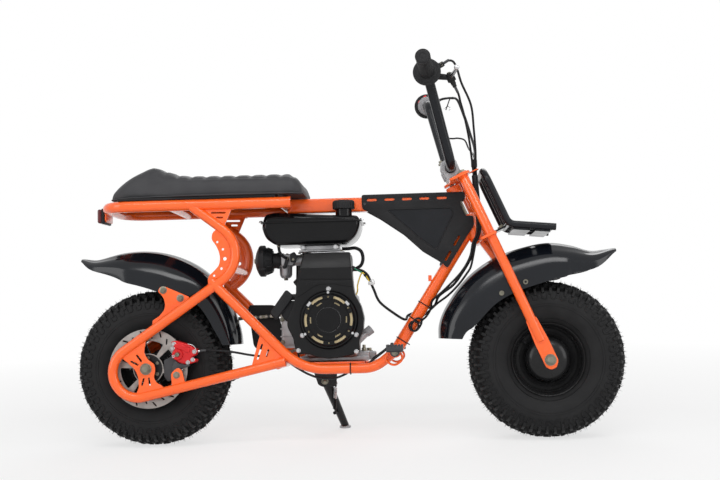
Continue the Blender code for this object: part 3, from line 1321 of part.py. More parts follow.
def cables():
    # Throttle, brake and switch lines: through the eye, behind the lower clamp and round the
    # down tube, then under the engine, back to the calliper or up to the engine.
    root, tip = housing_nose()
    throttle = [tip + (tip - root).normalized() * GAP, (0.6960, -0.1957, 0.8370), (0.7070, -0.1958, 0.8340),
                (0.7150, -0.1950, 0.8170), (0.7235, -0.1920, 0.7869), (0.7440, -0.1600, 0.7435),
                (0.7505, -0.1150, 0.6977), (0.7545, -0.0780, 0.6521), (0.7544, -0.0640, 0.6113),
                (0.7580, -0.0600, 0.5700), (0.7610, -0.0550, 0.5250), (0.7620, -0.0520, 0.4850),
                (0.7575, -0.0510, 0.4620), (0.7500, -0.0510, 0.4470), (0.7440, -0.0505, 0.4200),
                (0.7370, -0.0490, 0.3920), (0.7270, -0.0460, 0.3760), (0.7080, -0.0400, 0.3520),
                (0.6845, -0.0280, 0.3293), (0.6600, -0.0120, 0.3120), by_tube(0.115, 8, 0.0200),
                by_tube(0.095, 48, 0.0195), by_tube(0.075, 80, 0.0190), by_tube(0.050, 95, 0.0205),
                by_tube(0.025, 95, 0.0245), (0.5640, 0.0248, 0.2225), (0.5480, 0.0220, 0.2170),
                (0.5276, 0.0140, 0.2020), (0.5094, 0.0080, 0.1890), (0.4960, 0.0070, 0.1765),
                (0.4800, 0.0080, 0.1715), (0.4500, 0.0120, 0.1705), (0.4000, 0.0220, 0.1705),
                (0.3600, 0.0330, 0.1720), (0.3380, 0.0400, 0.1800), (0.3290, 0.0430, 0.2000),
                (0.3270, 0.0450, 0.2400), (0.3270, 0.0470, 0.3000), (0.3280, 0.0500, 0.3600),
                (0.3290, 0.0520, 0.3950), (0.3297, 0.0490, 0.4130), (0.3300, 0.0430, 0.4195),
                (0.3300, 0.0304, 0.4200)]
    cable("throttle_cable", throttle, CABLE_R)
    f, y, _ = LEVER_PIVOT
    brake = [steer_point(f, y, LEVER_EXIT_U - GAP), steer_point(f, y + 0.001, LEVER_EXIT_U - 0.018),
             (0.7205, -0.1760, 0.7480), (0.7285, -0.1500, 0.7240),
             (0.7390, -0.1080, 0.6800), (0.7450, -0.0780, 0.6400), (0.7485, -0.0640, 0.6087),
             (0.7510, -0.0680, 0.5700), (0.7530, -0.0640, 0.5250), (0.7540, -0.0600, 0.4850),
             (0.7510, -0.0585, 0.4620), (0.7430, -0.0585, 0.4460), (0.7350, -0.0570, 0.4130),
             (0.7130, -0.0500, 0.3780), (0.6741, -0.0360, 0.3400), (0.6480, -0.0230, 0.3180),
             by_tube(0.115, -32, 0.0215), by_tube(0.095, 14, 0.0195), by_tube(0.075, 46, 0.0190),
             by_tube(0.050, 60, 0.0190), by_tube(0.025, 66, 0.0190), by_tube(0.010, 86, 0.0190),
             (0.5640, 0.0185, 0.2215), (0.5480, 0.0150, 0.2150), (0.5276, 0.0050, 0.2000),
             (0.5094, -0.0040, 0.1865), (0.4960, -0.0140, 0.1760), (0.4850, -0.0320, 0.1705),
             (0.4750, -0.0600, 0.1680), (0.4670, -0.0840, 0.1665), (0.4600, -0.0920, 0.1640),
             (0.4490, -0.0960, 0.1570), (0.4316, -0.1000, 0.1500), (0.4146, -0.1010, 0.1477),
             (0.3889, -0.0985, 0.1498), (0.3675, -0.0930, 0.1570), (0.3500, -0.0900, 0.1660),
             (0.3300, -0.0885, 0.1790), (0.3130, -0.0885, 0.1920), (0.2960, -0.0885, 0.1965),
             (0.2750, -0.0890, 0.1985), (0.2332, -0.0890, 0.2040), (0.1925, -0.0890, 0.2117),
             (0.1425, -0.0890, 0.2170), (0.1190, -0.0890, 0.2157)]
    cable("brake_cable", brake, CABLE_R)
    start, along = housing_start(1)
    plug = start - along * HOUSING_W / 2 + steer_axis("forward") * (HOUSING_R + GAP)
    wires = [plug, (0.6860, 0.1940, 0.8255), (0.6990, 0.1740, 0.8240), (0.7100, 0.1480, 0.8190),
             (0.7234, 0.1200, 0.8080), (0.7374, 0.0900, 0.7618), (0.7506, 0.0500, 0.7072),
             (0.7561, 0.0150, 0.6746), (0.7550, -0.0300, 0.6480), (0.7533, -0.0560, 0.6270),
             (0.7515, -0.0588, 0.6100),
             (0.7545, -0.0520, 0.5700), (0.7570, -0.0450, 0.5250), (0.7570, -0.0420, 0.4850),
             (0.7530, -0.0410, 0.4620), (0.7460, -0.0410, 0.4450), (0.7380, -0.0400, 0.4130),
             (0.7180, -0.0350, 0.3800), (0.6960, -0.0260, 0.3520), by_tube(0.150, -35, 0.0240),
             by_tube(0.128, 5, 0.0225), by_tube(0.118, 40, 0.0225), by_tube(0.108, 75, 0.0225),
             by_tube(0.090, 110, 0.0220), by_tube(0.074, 150, 0.0215), (0.5834, -0.0060, 0.2758), (0.5608, -0.0140, 0.2890),
             (0.5269, -0.0180, 0.3168), (0.5137, -0.0200, 0.3455), (0.5072, -0.0200, 0.3618),
             (0.5000, -0.0200, 0.3800), (0.4860, -0.0190, 0.3915), (0.4660, -0.0180, 0.3930),
             (BARREL_REAR + 0.0803, -0.0180, 0.3925)]
    cable("switch_wires", wires, LOOM_R)
    lead = [(0.4403, 0, 0.4440), (0.4550, 0, 0.4440), (0.4720, 0, 0.4450), (0.4850, 0, 0.4370),
            (0.4890, 0, 0.4210), (0.4850, 0, 0.4060), (0.4740, 0, 0.3980), (0.4620, 0, 0.3960),
            (BARREL_REAR + 0.0803, 0, 0.3960)]
    cable("spark_lead", lead, SPARK_R)


def tyre_drop():
    # How far the leaning bike's lowest lug lies above the level of its own frame's origin.
    points = bpy.data.objects["rear_tyre"].data.vertices
    return min(p.co.z * math.cos(LEAN) - p.co.y * math.sin(LEAN) for p in points)


def floor_at(y):
    # Height of the floor under the leaning bike at a side position, in the bike's own frame.
    return (tyre_drop() + y * math.sin(LEAN)) / math.cos(LEAN)


def lean_bike():
    # Hangs the moving holders on the bike, leans it onto its stand and centres it on the floor.
    bike, _ = HOLDERS["bike"]
    for name, parent in (("steering_axis", "bike"), ("front_axle_line", "steering_axis"),
                         ("rear_axle_line", "bike"), ("stand_pivot", "bike")):
        holder, rest = HOLDERS[name]
        above, above_rest = HOLDERS[parent]
        holder.parent = above
        holder.matrix_basis = above_rest.inverted() @ rest
    bike.rotation_euler = (-LEAN, 0, 0)
    middle_y = 0.812 * math.sin(LEAN)
    bike.location = (-WHEELBASE / 2, -middle_y, -tyre_drop())


def main():
    clear_scene()
    add_holder("bike", (0, 0, 0))
    add_holder("steering_axis", steer_point(0, 0, 0), -RAKE)
    add_holder("front_axle_line", (WHEELBASE, 0, AXLE_Z))
    add_holder("rear_axle_line", (0, 0, AXLE_Z))
    add_holder("stand_pivot", STAND_PIVOT)
    seat_rails()
    frame_spine()
    side_loops()
    peg_bar()
    footpegs()
    engine_mount()
    cross_tubes()
    seat()
    fenders()
    side_panels()
    tail_light()
    engine()
    fan_cover()
    fuel_tank()
    fuel_system()
    exhaust()
    drive()
    tyre("front_tyre", WHEELBASE, "front_axle_line")
    tyre("rear_tyre", 0.0, "rear_axle_line")
    front_rim()
    rear_rim()
    brake_disc()
    rear_sprocket()
    axles()
    brake_calliper()
    fork_legs()
    clamps()
    handlebar()
    controls()
    brake_lever()
    front_rack()
    side_stand()
    stand_bracket()
    cables()
    lean_bike()


main()
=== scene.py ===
# Small dirt bike: looks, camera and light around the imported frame.
# Pieces are made in the upright bike's own axes, in metres: x forward from the rear axle,
# y to the rider's left, z up from the floor. makePiece() leans them with the bike.
import json
import math

import bmesh
import bpy
from mathutils import Matrix, Vector, noise


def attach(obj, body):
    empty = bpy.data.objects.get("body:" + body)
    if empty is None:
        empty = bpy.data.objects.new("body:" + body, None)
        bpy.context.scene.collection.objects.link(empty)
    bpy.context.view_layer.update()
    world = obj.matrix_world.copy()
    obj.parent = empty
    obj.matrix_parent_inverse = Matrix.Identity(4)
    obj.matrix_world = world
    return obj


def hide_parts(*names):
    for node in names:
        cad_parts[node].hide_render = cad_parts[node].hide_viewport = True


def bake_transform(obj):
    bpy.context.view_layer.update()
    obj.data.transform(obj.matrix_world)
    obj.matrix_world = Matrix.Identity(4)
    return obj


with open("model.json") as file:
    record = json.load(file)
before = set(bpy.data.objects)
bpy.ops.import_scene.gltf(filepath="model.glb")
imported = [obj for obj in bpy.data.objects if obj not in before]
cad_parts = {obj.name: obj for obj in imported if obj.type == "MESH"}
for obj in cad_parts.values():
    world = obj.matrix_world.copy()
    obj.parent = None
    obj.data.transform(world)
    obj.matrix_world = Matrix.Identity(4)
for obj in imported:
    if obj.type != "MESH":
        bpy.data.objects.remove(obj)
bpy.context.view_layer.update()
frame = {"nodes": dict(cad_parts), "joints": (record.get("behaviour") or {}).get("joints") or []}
joints = {joint["name"]: joint for joint in frame["joints"]}

# the bike's own axes
bikeSettings = {
    "leanDegrees": 4.5,
    "axleHeight": 0.178,
    "wheelbase": 0.905,
    "rakeDegrees": 23.5,
    "forkOffset": 0.025,
    "axleDrop": 0.3914,
    "forkHalf": 0.095,
    "loopHalf": 0.107,
    "fitGap": 0.0003,  # between parts that are fitted together
}
leanTurn = Matrix.Rotation(-math.radians(bikeSettings["leanDegrees"]), 4, "X")
rearAxleWorld = Vector(joints["rear_wheel_spin"]["pos_m"])
bikeOrigin = rearAxleWorld - leanTurn @ Vector((0, 0, bikeSettings["axleHeight"]))
bikeMatrix = Matrix.Translation(bikeOrigin) @ leanTurn
axleHeight = bikeSettings["axleHeight"]
wheelbase = bikeSettings["wheelbase"]
loopHalf = bikeSettings["loopHalf"]
forkOffset = bikeSettings["forkOffset"]
forkHalf = bikeSettings["forkHalf"]
fitGap = bikeSettings["fitGap"]
rake = math.radians(bikeSettings["rakeDegrees"])
steerForward = Vector((math.cos(rake), 0, math.sin(rake)))
steerUp = Vector((-math.sin(rake), 0, math.cos(rake)))
steerMiddle = (Vector((wheelbase, 0, axleHeight)) - steerForward * forkOffset
               + steerUp * bikeSettings["axleDrop"])


def steer(forward, side, up):
    return steerMiddle + steerForward * forward + Vector((0, side, 0)) + steerUp * up


def steerSide(outline):
    # Points ahead of the steering axis and up along it, as seen from the side.
    points = [steer(f, 0, u) for f, u in outline]
    return [(p.x, p.z) for p in points]


# camera
cameraSettings = {
    "place": (0.631, -2.7876, 0.4769),  # from the rear tyre's contact with the floor
    "yaw": 2.998,
    "pitch": 0.299,
    "roll": -1.614,
    "lens": 60.575,
}


def makeCamera(s):
    yaw, pitch, roll = (math.radians(s[k]) for k in ("yaw", "pitch", "roll"))
    ahead = Vector((-math.sin(yaw) * math.cos(pitch), math.cos(yaw) * math.cos(pitch), -math.sin(pitch)))
    level = ahead.cross(Vector((0, 0, 1))).normalized()
    above = level.cross(ahead)
    right = level * math.cos(roll) + above * math.sin(roll)
    up = above * math.cos(roll) - level * math.sin(roll)
    data = bpy.data.cameras.new("camera")
    data.lens = s["lens"]
    data.sensor_width = 36.0
    camera = bpy.data.objects.new("camera", data)
    bpy.context.scene.collection.objects.link(camera)
    turn = Matrix((right, up, -ahead)).transposed().to_4x4()
    camera.matrix_world = Matrix.Translation(Vector(s["place"]) + bikeOrigin) @ turn
    bpy.context.scene.camera = camera


makeCamera(cameraSettings)
print("camera placed")


def circleOutline(x, z, radius, sides=32):
    return [(x + radius * math.cos(2 * math.pi * k / sides), z + radius * math.sin(2 * math.pi * k / sides))
            for k in range(sides)]


# floor, backdrop and lamps
studioSettings = {
    "floorRadii": (3.0, 60.0),
    "floorSides": 48,
    "floorColour": (0.90, 0.90, 0.90),
    "fade": (0.9, 2.4),  # from the middle, where the floor starts to turn white and where it is
    "fillStrength": 0.30,
    "floorWhite": 0.66,
    "lamps": [
        # name, place, aim, size, watts, seen in reflections
        ("keyLamp", (0.2, -2.1, 2.9), (0.0, 0.0, 0.35), (3.2, 0.5), 36.0, True),
        ("fillLamp", (0.3, -4.6, 1.5), (0.0, 0.0, 0.45), (4.5, 2.6), 80.0, False),
        ("sideLamp", (-3.0, -2.0, 1.6), (0.0, 0.0, 0.4), (1.4, 2.2), 26.0, True),
        ("frontLamp", (3.2, -1.6, 1.4), (0.2, 0.0, 0.4), (1.2, 2.2), 22.0, True),
        ("rearLamp", (0.4, 2.6, 2.6), (0.0, 0.0, 0.4), (2.6, 1.4), 30.0, True),
    ],
}


def setInputs(node, values):
    for name, value in values.items():
        node.inputs[name].default_value = value


def addNode(tree, kind, values=None, operation=None):
    node = tree.nodes.new("ShaderNode" + kind)
    if operation:
        node.operation = operation
    setInputs(node, values or {})
    return node


def joinNodes(tree, *pairs):
    for start, end in pairs:
        tree.links.new(start, end)


def makeFloor(s):
    mesh = bpy.data.meshes.new("floor")
    builder = bmesh.new()
    sides = s["floorSides"]
    middle = builder.verts.new((0, 0, 0))
    near, far = ([builder.verts.new((*p, 0)) for p in circleOutline(0, 0, radius, sides)] for radius in s["floorRadii"])
    for k in range(sides):
        n = (k + 1) % sides
        builder.faces.new((middle, near[k], near[n]))
        builder.faces.new((near[k], far[k], far[n], near[n]))
    builder.to_mesh(mesh)
    builder.free()
    floor = bpy.data.objects.new("floor", mesh)
    bpy.context.scene.collection.objects.link(floor)
    look = bpy.data.materials.new("paleFloor")
    look.use_nodes = True
    tree = look.node_tree
    shader = tree.nodes["Principled BSDF"]
    setInputs(shader, {"Base Color": (*s["floorColour"], 1.0), "Roughness": 0.8, "Specular IOR Level": 0.2})
    # past the bike the floor fades into the white behind it, for the camera and in reflections
    place = addNode(tree, "TexCoord")
    reach = addNode(tree, "VectorMath", operation="LENGTH")
    fade = addNode(tree, "MapRange", {"From Min": s["fade"][0], "From Max": s["fade"][1], "To Min": s["floorWhite"]})
    white = addNode(tree, "Emission", {"Strength": 1.0})
    path = addNode(tree, "LightPath")
    seen = addNode(tree, "Math", operation="MAXIMUM")
    part = addNode(tree, "Math", operation="MULTIPLY")
    mix = addNode(tree, "MixShader")
    joinNodes(tree, (place.outputs["Object"], reach.inputs[0]), (reach.outputs["Value"], fade.inputs["Value"]),
              (path.outputs["Is Camera Ray"], seen.inputs[0]), (path.outputs["Is Glossy Ray"], seen.inputs[1]),
              (fade.outputs["Result"], part.inputs[0]), (seen.outputs[0], part.inputs[1]),
              (part.outputs[0], mix.inputs["Fac"]), (shader.outputs[0], mix.inputs[1]),
              (white.outputs[0], mix.inputs[2]), (mix.outputs[0], tree.nodes["Material Output"].inputs["Surface"]))
    mesh.materials.append(look)


def makeLamps(s):
    for name, place, aim, size, watts, mirrored in s["lamps"]:
        data = bpy.data.lights.new(name, "AREA")
        data.shape = "RECTANGLE"
        data.size, data.size_y = size
        data.energy = watts
        lamp = bpy.data.objects.new(name, data)
        bpy.context.scene.collection.objects.link(lamp)
        lamp.location = place
        lamp.visible_glossy = mirrored
        lamp.rotation_euler = (Vector(aim) - Vector(place)).to_track_quat("-Z", "Y").to_euler()


def makeWorld(s):
    # White to the camera, in reflections and through clear parts, and a soft fill to all else.
    world = bpy.data.worlds.new("studio")
    bpy.context.scene.world = world
    world.use_nodes = True
    tree = world.node_tree
    tree.nodes.clear()
    path = addNode(tree, "LightPath")
    seen, seenToo = (addNode(tree, "Math", operation="MAXIMUM") for k in range(2))
    fill, white = (addNode(tree, "Background", {"Color": (1.0, 1.0, 1.0, 1.0), "Strength": strength})
                   for strength in (s["fillStrength"], 1.0))
    mix = addNode(tree, "MixShader")
    out = addNode(tree, "OutputWorld")
    joinNodes(tree, (path.outputs["Is Camera Ray"], seen.inputs[0]), (path.outputs["Is Glossy Ray"], seen.inputs[1]),
              (seen.outputs[0], seenToo.inputs[0]), (path.outputs["Is Transmission Ray"], seenToo.inputs[1]),
              (seenToo.outputs[0], mix.inputs["Fac"]), (fill.outputs[0], mix.inputs[1]),
              (white.outputs[0], mix.inputs[2]), (mix.outputs[0], out.inputs["Surface"]))


makeFloor(studioSettings)
makeLamps(studioSettings)
makeWorld(studioSettings)
bpy.context.scene.view_settings.view_transform = "Standard"
print("studio lit")

# finishes
finishSettings = {
    # colour, second colour, roughness, metallic, patch scale, grain scale, grain depth in mm,
    # coat, specular level
    "orangePaint": ((0.95, 0.130, 0.014), (0.89, 0.112, 0.011), 0.24, 0.0, 18, 900, 0.006, 0.60, 0.26),
    "blackGloss": ((0.008, 0.009, 0.011), (0.012, 0.013, 0.016), 0.22, 0.0, 14, 700, 0.008, 0.0, 0.22),
    "fenderGloss": ((0.0035, 0.0045, 0.007), (0.0055, 0.0070, 0.010), 0.13, 0.0, 10, 500, 0.004, 0.0, 0.32),
    "blackPlastic": ((0.012, 0.012, 0.013), (0.018, 0.018, 0.019), 0.50, 0.0, 25, 1600, 0.030, 0.0, 0.18),
    "satinShroud": ((0.0055, 0.0055, 0.006), (0.0085, 0.0085, 0.009), 0.34, 0.0, 20, 1300, 0.020, 0.0, 0.20),
    "tankGloss": ((0.0035, 0.0035, 0.004), (0.0055, 0.0055, 0.006), 0.12, 0.0, 12, 400, 0.004, 0.0, 0.20),
    "tyreRubber": ((0.0100, 0.0100, 0.0105), (0.017, 0.017, 0.0175), 0.62, 0.0, 30, 1200, 0.040, 0.0, 0.18),
    "gripRubber": ((0.014, 0.014, 0.015), (0.023, 0.023, 0.024), 0.60, 0.0, 40, 1500, 0.030, 0.0, 0.20),
    "seatVinyl": ((0.040, 0.040, 0.043), (0.052, 0.052, 0.055), 0.50, 0.0, 22, 900, 0.060, 0.0, 0.20),
    "castAlloy": ((0.44, 0.44, 0.45), (0.30, 0.30, 0.31), 0.44, 0.85, 30, 1400, 0.040, 0.0, 0.50),
    "brightSteel": ((0.62, 0.62, 0.63), (0.50, 0.50, 0.51), 0.26, 1.0, 40, 1800, 0.008, 0.0, 0.50),
    "discSteel": ((0.37, 0.34, 0.32), (0.25, 0.23, 0.215), 0.36, 0.6, 50, 1600, 0.012, 0.0, 0.40),
    "zincBolt": ((0.26, 0.245, 0.19), (0.17, 0.165, 0.135), 0.38, 0.8, 80, 1600, 0.010, 0.0, 0.40),
    "darkSteel": ((0.050, 0.050, 0.053), (0.080, 0.080, 0.084), 0.42, 0.6, 40, 1500, 0.020, 0.0, 0.25),
    "blackPaint": ((0.008, 0.008, 0.009), (0.013, 0.013, 0.014), 0.28, 0.0, 20, 900, 0.012, 0.0, 0.24),
    "rimPaint": ((0.009, 0.009, 0.0095), (0.014, 0.014, 0.0145), 0.24, 0.0, 20, 900, 0.010, 0.0, 0.26),
    "redAnodised": ((0.68, 0.018, 0.022), (0.52, 0.012, 0.014), 0.26, 0.35, 30, 1200, 0.008, 0.15, 0.35),
    "greyPlastic": ((0.30, 0.30, 0.31), (0.24, 0.24, 0.25), 0.45, 0.0, 30, 1200, 0.020, 0.0, 0.35),
    "fanBeige": ((0.66, 0.54, 0.32), (0.50, 0.40, 0.23), 0.45, 0.1, 30, 1200, 0.020, 0.0, 0.35),
    "redButton": ((0.70, 0.02, 0.02), (0.55, 0.015, 0.015), 0.35, 0.0, 30, 1200, 0.008, 0.15, 0.35),
    "darkLens": ((0.080, 0.004, 0.006), (0.12, 0.007, 0.009), 0.12, 0.0, 40, 200, 0.004, 0.2, 0.35),
    "cableRubber": ((0.007, 0.007, 0.008), (0.013, 0.013, 0.014), 0.42, 0.0, 60, 1500, 0.010, 0.0, 0.20),
    "yellowWire": ((0.75, 0.52, 0.04), (0.62, 0.42, 0.03), 0.45, 0.0, 60, 1500, 0.010, 0.0, 0.35),
    "greenWire": ((0.02, 0.26, 0.14), (0.015, 0.20, 0.10), 0.45, 0.0, 60, 1500, 0.010, 0.0, 0.35),
    "clearTie": ((0.62, 0.62, 0.62), (0.52, 0.52, 0.52), 0.30, 0.0, 60, 1500, 0.010, 0.1, 0.40),
}
finishes = {}


def makeFinish(name, values):
    # Two tones in soft patches, a roughness that wanders with them, and a fine grain.
    colour, second, roughness, metallic, patchScale, grainScale, depth, coat, specular = values
    made = bpy.data.materials.new(name)
    made.use_nodes = True
    tree = made.node_tree
    shader = tree.nodes["Principled BSDF"]
    setInputs(shader, {"Metallic": metallic, "Coat Weight": coat, "Specular IOR Level": specular,
                       "Coat Roughness": 0.08})
    place = addNode(tree, "TexCoord")
    patches = addNode(tree, "TexNoise", {"Scale": patchScale, "Detail": 5.0})
    ramp = addNode(tree, "ValToRGB")
    for element, position, tone in zip(ramp.color_ramp.elements, (0.35, 0.75), (colour, second)):
        element.position = position
        element.color = (*tone, 1.0)
    worn = addNode(tree, "MapRange", {"From Min": 0.3, "From Max": 0.7, "To Min": max(0.04, roughness - 0.05),
                                      "To Max": roughness + 0.07})
    grain = addNode(tree, "TexNoise", {"Scale": grainScale, "Detail": 3.0})
    relief = addNode(tree, "Bump", {"Distance": depth / 1000})
    joinNodes(tree, (place.outputs["Object"], patches.inputs["Vector"]),
              (place.outputs["Object"], grain.inputs["Vector"]), (patches.outputs["Fac"], ramp.inputs["Fac"]),
              (ramp.outputs["Color"], shader.inputs["Base Color"]), (patches.outputs["Fac"], worn.inputs["Value"]),
              (worn.outputs["Result"], shader.inputs["Roughness"]), (grain.outputs["Fac"], relief.inputs["Height"]),
              (relief.outputs["Normal"], shader.inputs["Normal"]))
    finishes[name] = made


for finishName, finishValues in finishSettings.items():
    makeFinish(finishName, finishValues)
print("finishes mixed:", len(finishes))

# finishes of the frame's own nodes; the pieces below replace some of them
nodeFinish = {
    "orangePaint": ["seat_rails", "frame_spine", "side_loop_right", "side_loop_left", "footpeg_bar",
                    "engine_mount", "cross_tube_upper", "cross_tube_lower", "tail_light_bracket",
                    "stand_bracket", "fork_leg_right", "fork_leg_left", "lower_clamp", "upper_clamp"],
    "blackPaint": ["footpeg_right", "footpeg_left", "front_rack", "side_stand",
                   "handlebar", "muffler", "calliper_bracket", "brake_lever"],
    "rimPaint": ["front_rim", "rear_rim"],
    "fenderGloss": ["front_fender", "rear_fender"],
    "blackGloss": ["side_panel_right", "side_panel_left"],
    "tankGloss": ["fuel_tank"],
    "satinShroud": ["engine_shroud", "fan_cover"],
    "blackPlastic": ["recoil_handle", "fuel_cap", "seat_base", "air_filter", "throttle_housing"],
    "seatVinyl": ["seat"],
    "tyreRubber": ["front_tyre", "rear_tyre"],
    "gripRubber": ["grip_right", "grip_left"],
    "castAlloy": ["engine_block", "carburettor", "tank_stay", "clutch"],
    "brightSteel": ["rear_axle", "front_axle", "handlebar_clamp", "steering_stem", "stand_spring"],
    "discSteel": ["brake_disc"],
    "darkSteel": ["chain", "rear_sprocket"],
    "redAnodised": ["brake_calliper"],
    "greyPlastic": ["kill_switch"],
    "darkLens": ["tail_light"],
    "cableRubber": ["throttle_cable", "brake_cable", "switch_wires", "spark_lead"],
}
for finishName, members in nodeFinish.items():
    for member in members:
        mesh = frame["nodes"][member].data
        mesh.materials.clear()
        mesh.materials.append(finishes[finishName])
        mesh.polygons.foreach_set("use_smooth", [True] * len(mesh.polygons))
        mesh.set_sharp_from_angle(angle=math.radians(38))
print("frame dressed")


# ways of making a shape
def newShape(finish=None):
    shape = {"builder": bmesh.new(), "slots": [], "now": 0}
    if finish:
        paint(shape, finish)
    return shape


def paint(shape, finish):
    if finish not in shape["slots"]:
        shape["slots"].append(finish)
    shape["now"] = shape["slots"].index(finish)


def addFace(shape, verts):
    if len(set(verts)) > 2:
        shape["builder"].faces.new(verts).material_index = shape["now"]


def loft(shape, rings, closedPath=False, capped=True, closedRing=True):
    # A skin over rings of equal counts; a ring of one point closes to a tip.
    builder = shape["builder"]
    made = [[builder.verts.new(p) for p in points] for points in rings]
    pairs = list(zip(made, made[1:] + ([made[0]] if closedPath else [])))
    if not closedPath:
        pairs = pairs[:len(made) - 1]
    for a, b in pairs:
        count = max(len(a), len(b))
        spans = count if closedRing else count - 1
        for k in range(spans):
            n = (k + 1) % count
            verts = [a[k % len(a)], a[n % len(a)], b[n % len(b)], b[k % len(b)]]
            kept = [v for i, v in enumerate(verts) if v not in verts[:i]]
            addFace(shape, kept)
    if capped and not closedPath and closedRing:
        for end in (made[0], made[-1]):
            if len(end) > 2:
                addFace(shape, end)


def squareTo(along):
    # Two directions square to one, and to each other.
    guide = Vector((0, 1, 0)) if abs(along.y) < 0.9 else Vector((0, 0, 1))
    side = along.cross(guide).normalized()
    return side, along.cross(side)


def around(centre, side, other, radius, count):
    # Points on a circle in the plane of two directions.
    angles = [2 * math.pi * k / count for k in range(count)]
    return [centre + (side * math.cos(a) + other * math.sin(a)) * radius for a in angles]


def rectangle(a0, b0, a1, b1):
    return [(a0, b0), (a1, b0), (a1, b1), (a0, b1)]


def frameAlong(path, closed=False):
    # Directions square to a path, turned as little as may be from point to point.
    count = len(path)
    result = []
    side = None
    for k, here in enumerate(path):
        before = path[(k - 1) % count] if closed or k else here
        after = path[(k + 1) % count] if closed or k < count - 1 else here
        along = (after - before).normalized()
        if side is None:
            side = squareTo(along)[0]
        side = (side - along * side.dot(along)).normalized()
        result.append((along, side, along.cross(side)))
    return result


def tube(shape, path, radius, sides=20, closed=False, capped=True):
    # radius is one number or one for each point.
    path = [Vector(p) for p in path]
    radii = radius if isinstance(radius, (list, tuple)) else [radius] * len(path)
    rings = [around(here, side, other, r, sides)
             for here, r, (along, side, other) in zip(path, radii, frameAlong(path, closed))]
    loft(shape, rings, closedPath=closed, capped=capped)


def turnedRod(shape, start, end, profile, sides=24):
    # profile: distance along from start, and radius; the ends are closed.
    start, end = Vector(start), Vector(end)
    along = (end - start).normalized()
    side, other = squareTo(along)
    rings = []
    for distance, r in profile:
        here = start + along * distance
        rings.append([here] if r < 1e-5 else around(here, side, other, r, sides))
    loft(shape, rings)


def roundedRod(shape, start, end, radius, edge=0.001, sides=24):
    length = (Vector(end) - Vector(start)).length
    edge = min(edge, radius * 0.6, length * 0.4)
    turnedRod(shape, start, end, [(0, radius - edge), (edge * 0.3, radius - edge * 0.3), (edge, radius),
                                  (length - edge, radius), (length - edge * 0.3, radius - edge * 0.3),
                                  (length, radius - edge)], sides)


def lathe(shape, profile, centre, steps=96, closed=True):
    # profile: radius and y; turned about a line along y through centre (x, z).
    rings = []
    for k in range(steps):
        a = 2 * math.pi * k / steps
        rings.append([Vector((centre[0] + r * math.cos(a), y, centre[1] + r * math.sin(a))) for r, y in profile])
    loft(shape, rings, closedPath=True, closedRing=closed)


def smooth(points, spans=6, closed=False):
    # A smooth curve through points.
    points = [Vector(p) for p in points]
    count = len(points)
    if closed:
        quads = [(points[k - 1], points[k], points[(k + 1) % count], points[(k + 2) % count]) for k in range(count)]
    else:
        knots = [points[0] * 2 - points[1]] + points + [points[-1] * 2 - points[-2]]
        quads = list(zip(knots, knots[1:], knots[2:], knots[3:]))
    fine = []
    for a, b, c, d in quads:
        for k in range(spans):
            t = k / spans
            fine.append((b * 2 + (c - a) * t + (a * 2 - b * 5 + c * 4 - d) * t ** 2
                         + (b * 3 - a - c * 3 + d) * t ** 3) / 2)
    if not closed:
        fine.append(points[-1].copy())
    return fine


def bend(corners, radii, step=6.0):
    # Straight runs joined by arcs of the radii given for the inner corners.
    corners = [Vector(p) for p in corners]
    path = [corners[0]]
    for before, here, after, radius in zip(corners, corners[1:], corners[2:], radii):
        into, out = (here - before).normalized(), (after - here).normalized()
        turn = into.angle(out)
        if turn < 1e-3:
            continue
        cutBack = radius * math.tan(turn / 2)
        first = here - into * cutBack
        inward = (out - into * into.dot(out)).normalized()
        centre = first + inward * radius
        count = max(3, int(math.degrees(turn) / step))
        for k in range(count + 1):
            a = turn * k / count
            path.append(centre - inward * radius * math.cos(a) + into * radius * math.sin(a))
    path.append(corners[-1])
    return path


def roundCorners(outline, radius, steps=4):
    # A closed outline of (a, b) pairs with every corner rounded.
    count = len(outline)
    result = []
    for k, p in enumerate(outline):
        here = Vector(p)
        before, after = Vector(outline[k - 1]), Vector(outline[(k + 1) % count])
        reach = min(radius, (before - here).length * 0.45, (after - here).length * 0.45)
        a = here + (before - here).normalized() * reach
        b = here + (after - here).normalized() * reach
        for j in range(steps + 1):
            t = j / steps
            result.append(tuple(a * (1 - t) ** 2 + here * 2 * t * (1 - t) + b * t ** 2))
    return result


def slotOutline(x0, z0, x1, z1, width, ends=6):
    heading = math.atan2(z1 - z0, x1 - x0)
    outline = []
    for cx, cz, start in ((x1, z1, heading - math.pi / 2), (x0, z0, heading + math.pi / 2)):
        for k in range(ends + 1):
            a = start + math.pi * k / ends
            outline.append((cx + width / 2 * math.cos(a), cz + width / 2 * math.sin(a)))
    return outline


def ringPlaces(centre, radius, count, first=0.0):
    # Places spaced evenly round a circle, in (x, z), from an angle in degrees.
    angles = [math.radians(first + 360 / count * k) for k in range(count)]
    return [(centre[0] + radius * math.cos(a), centre[1] + radius * math.sin(a)) for a in angles]


def arcOutline(centre, inner, outer, start, end, steps=8):
    angles = [math.radians(start + (end - start) * k / steps) for k in range(steps + 1)]
    outline = [(centre[0] + inner * math.cos(a), centre[1] + inner * math.sin(a)) for a in angles]
    return outline + [(centre[0] + outer * math.cos(a), centre[1] + outer * math.sin(a)) for a in reversed(angles)]


def settled(obj):
    # The object's mesh with its modifiers and bevel worked in.
    return bpy.data.meshes.new_from_object(obj.evaluated_get(bpy.context.evaluated_depsgraph_get()))


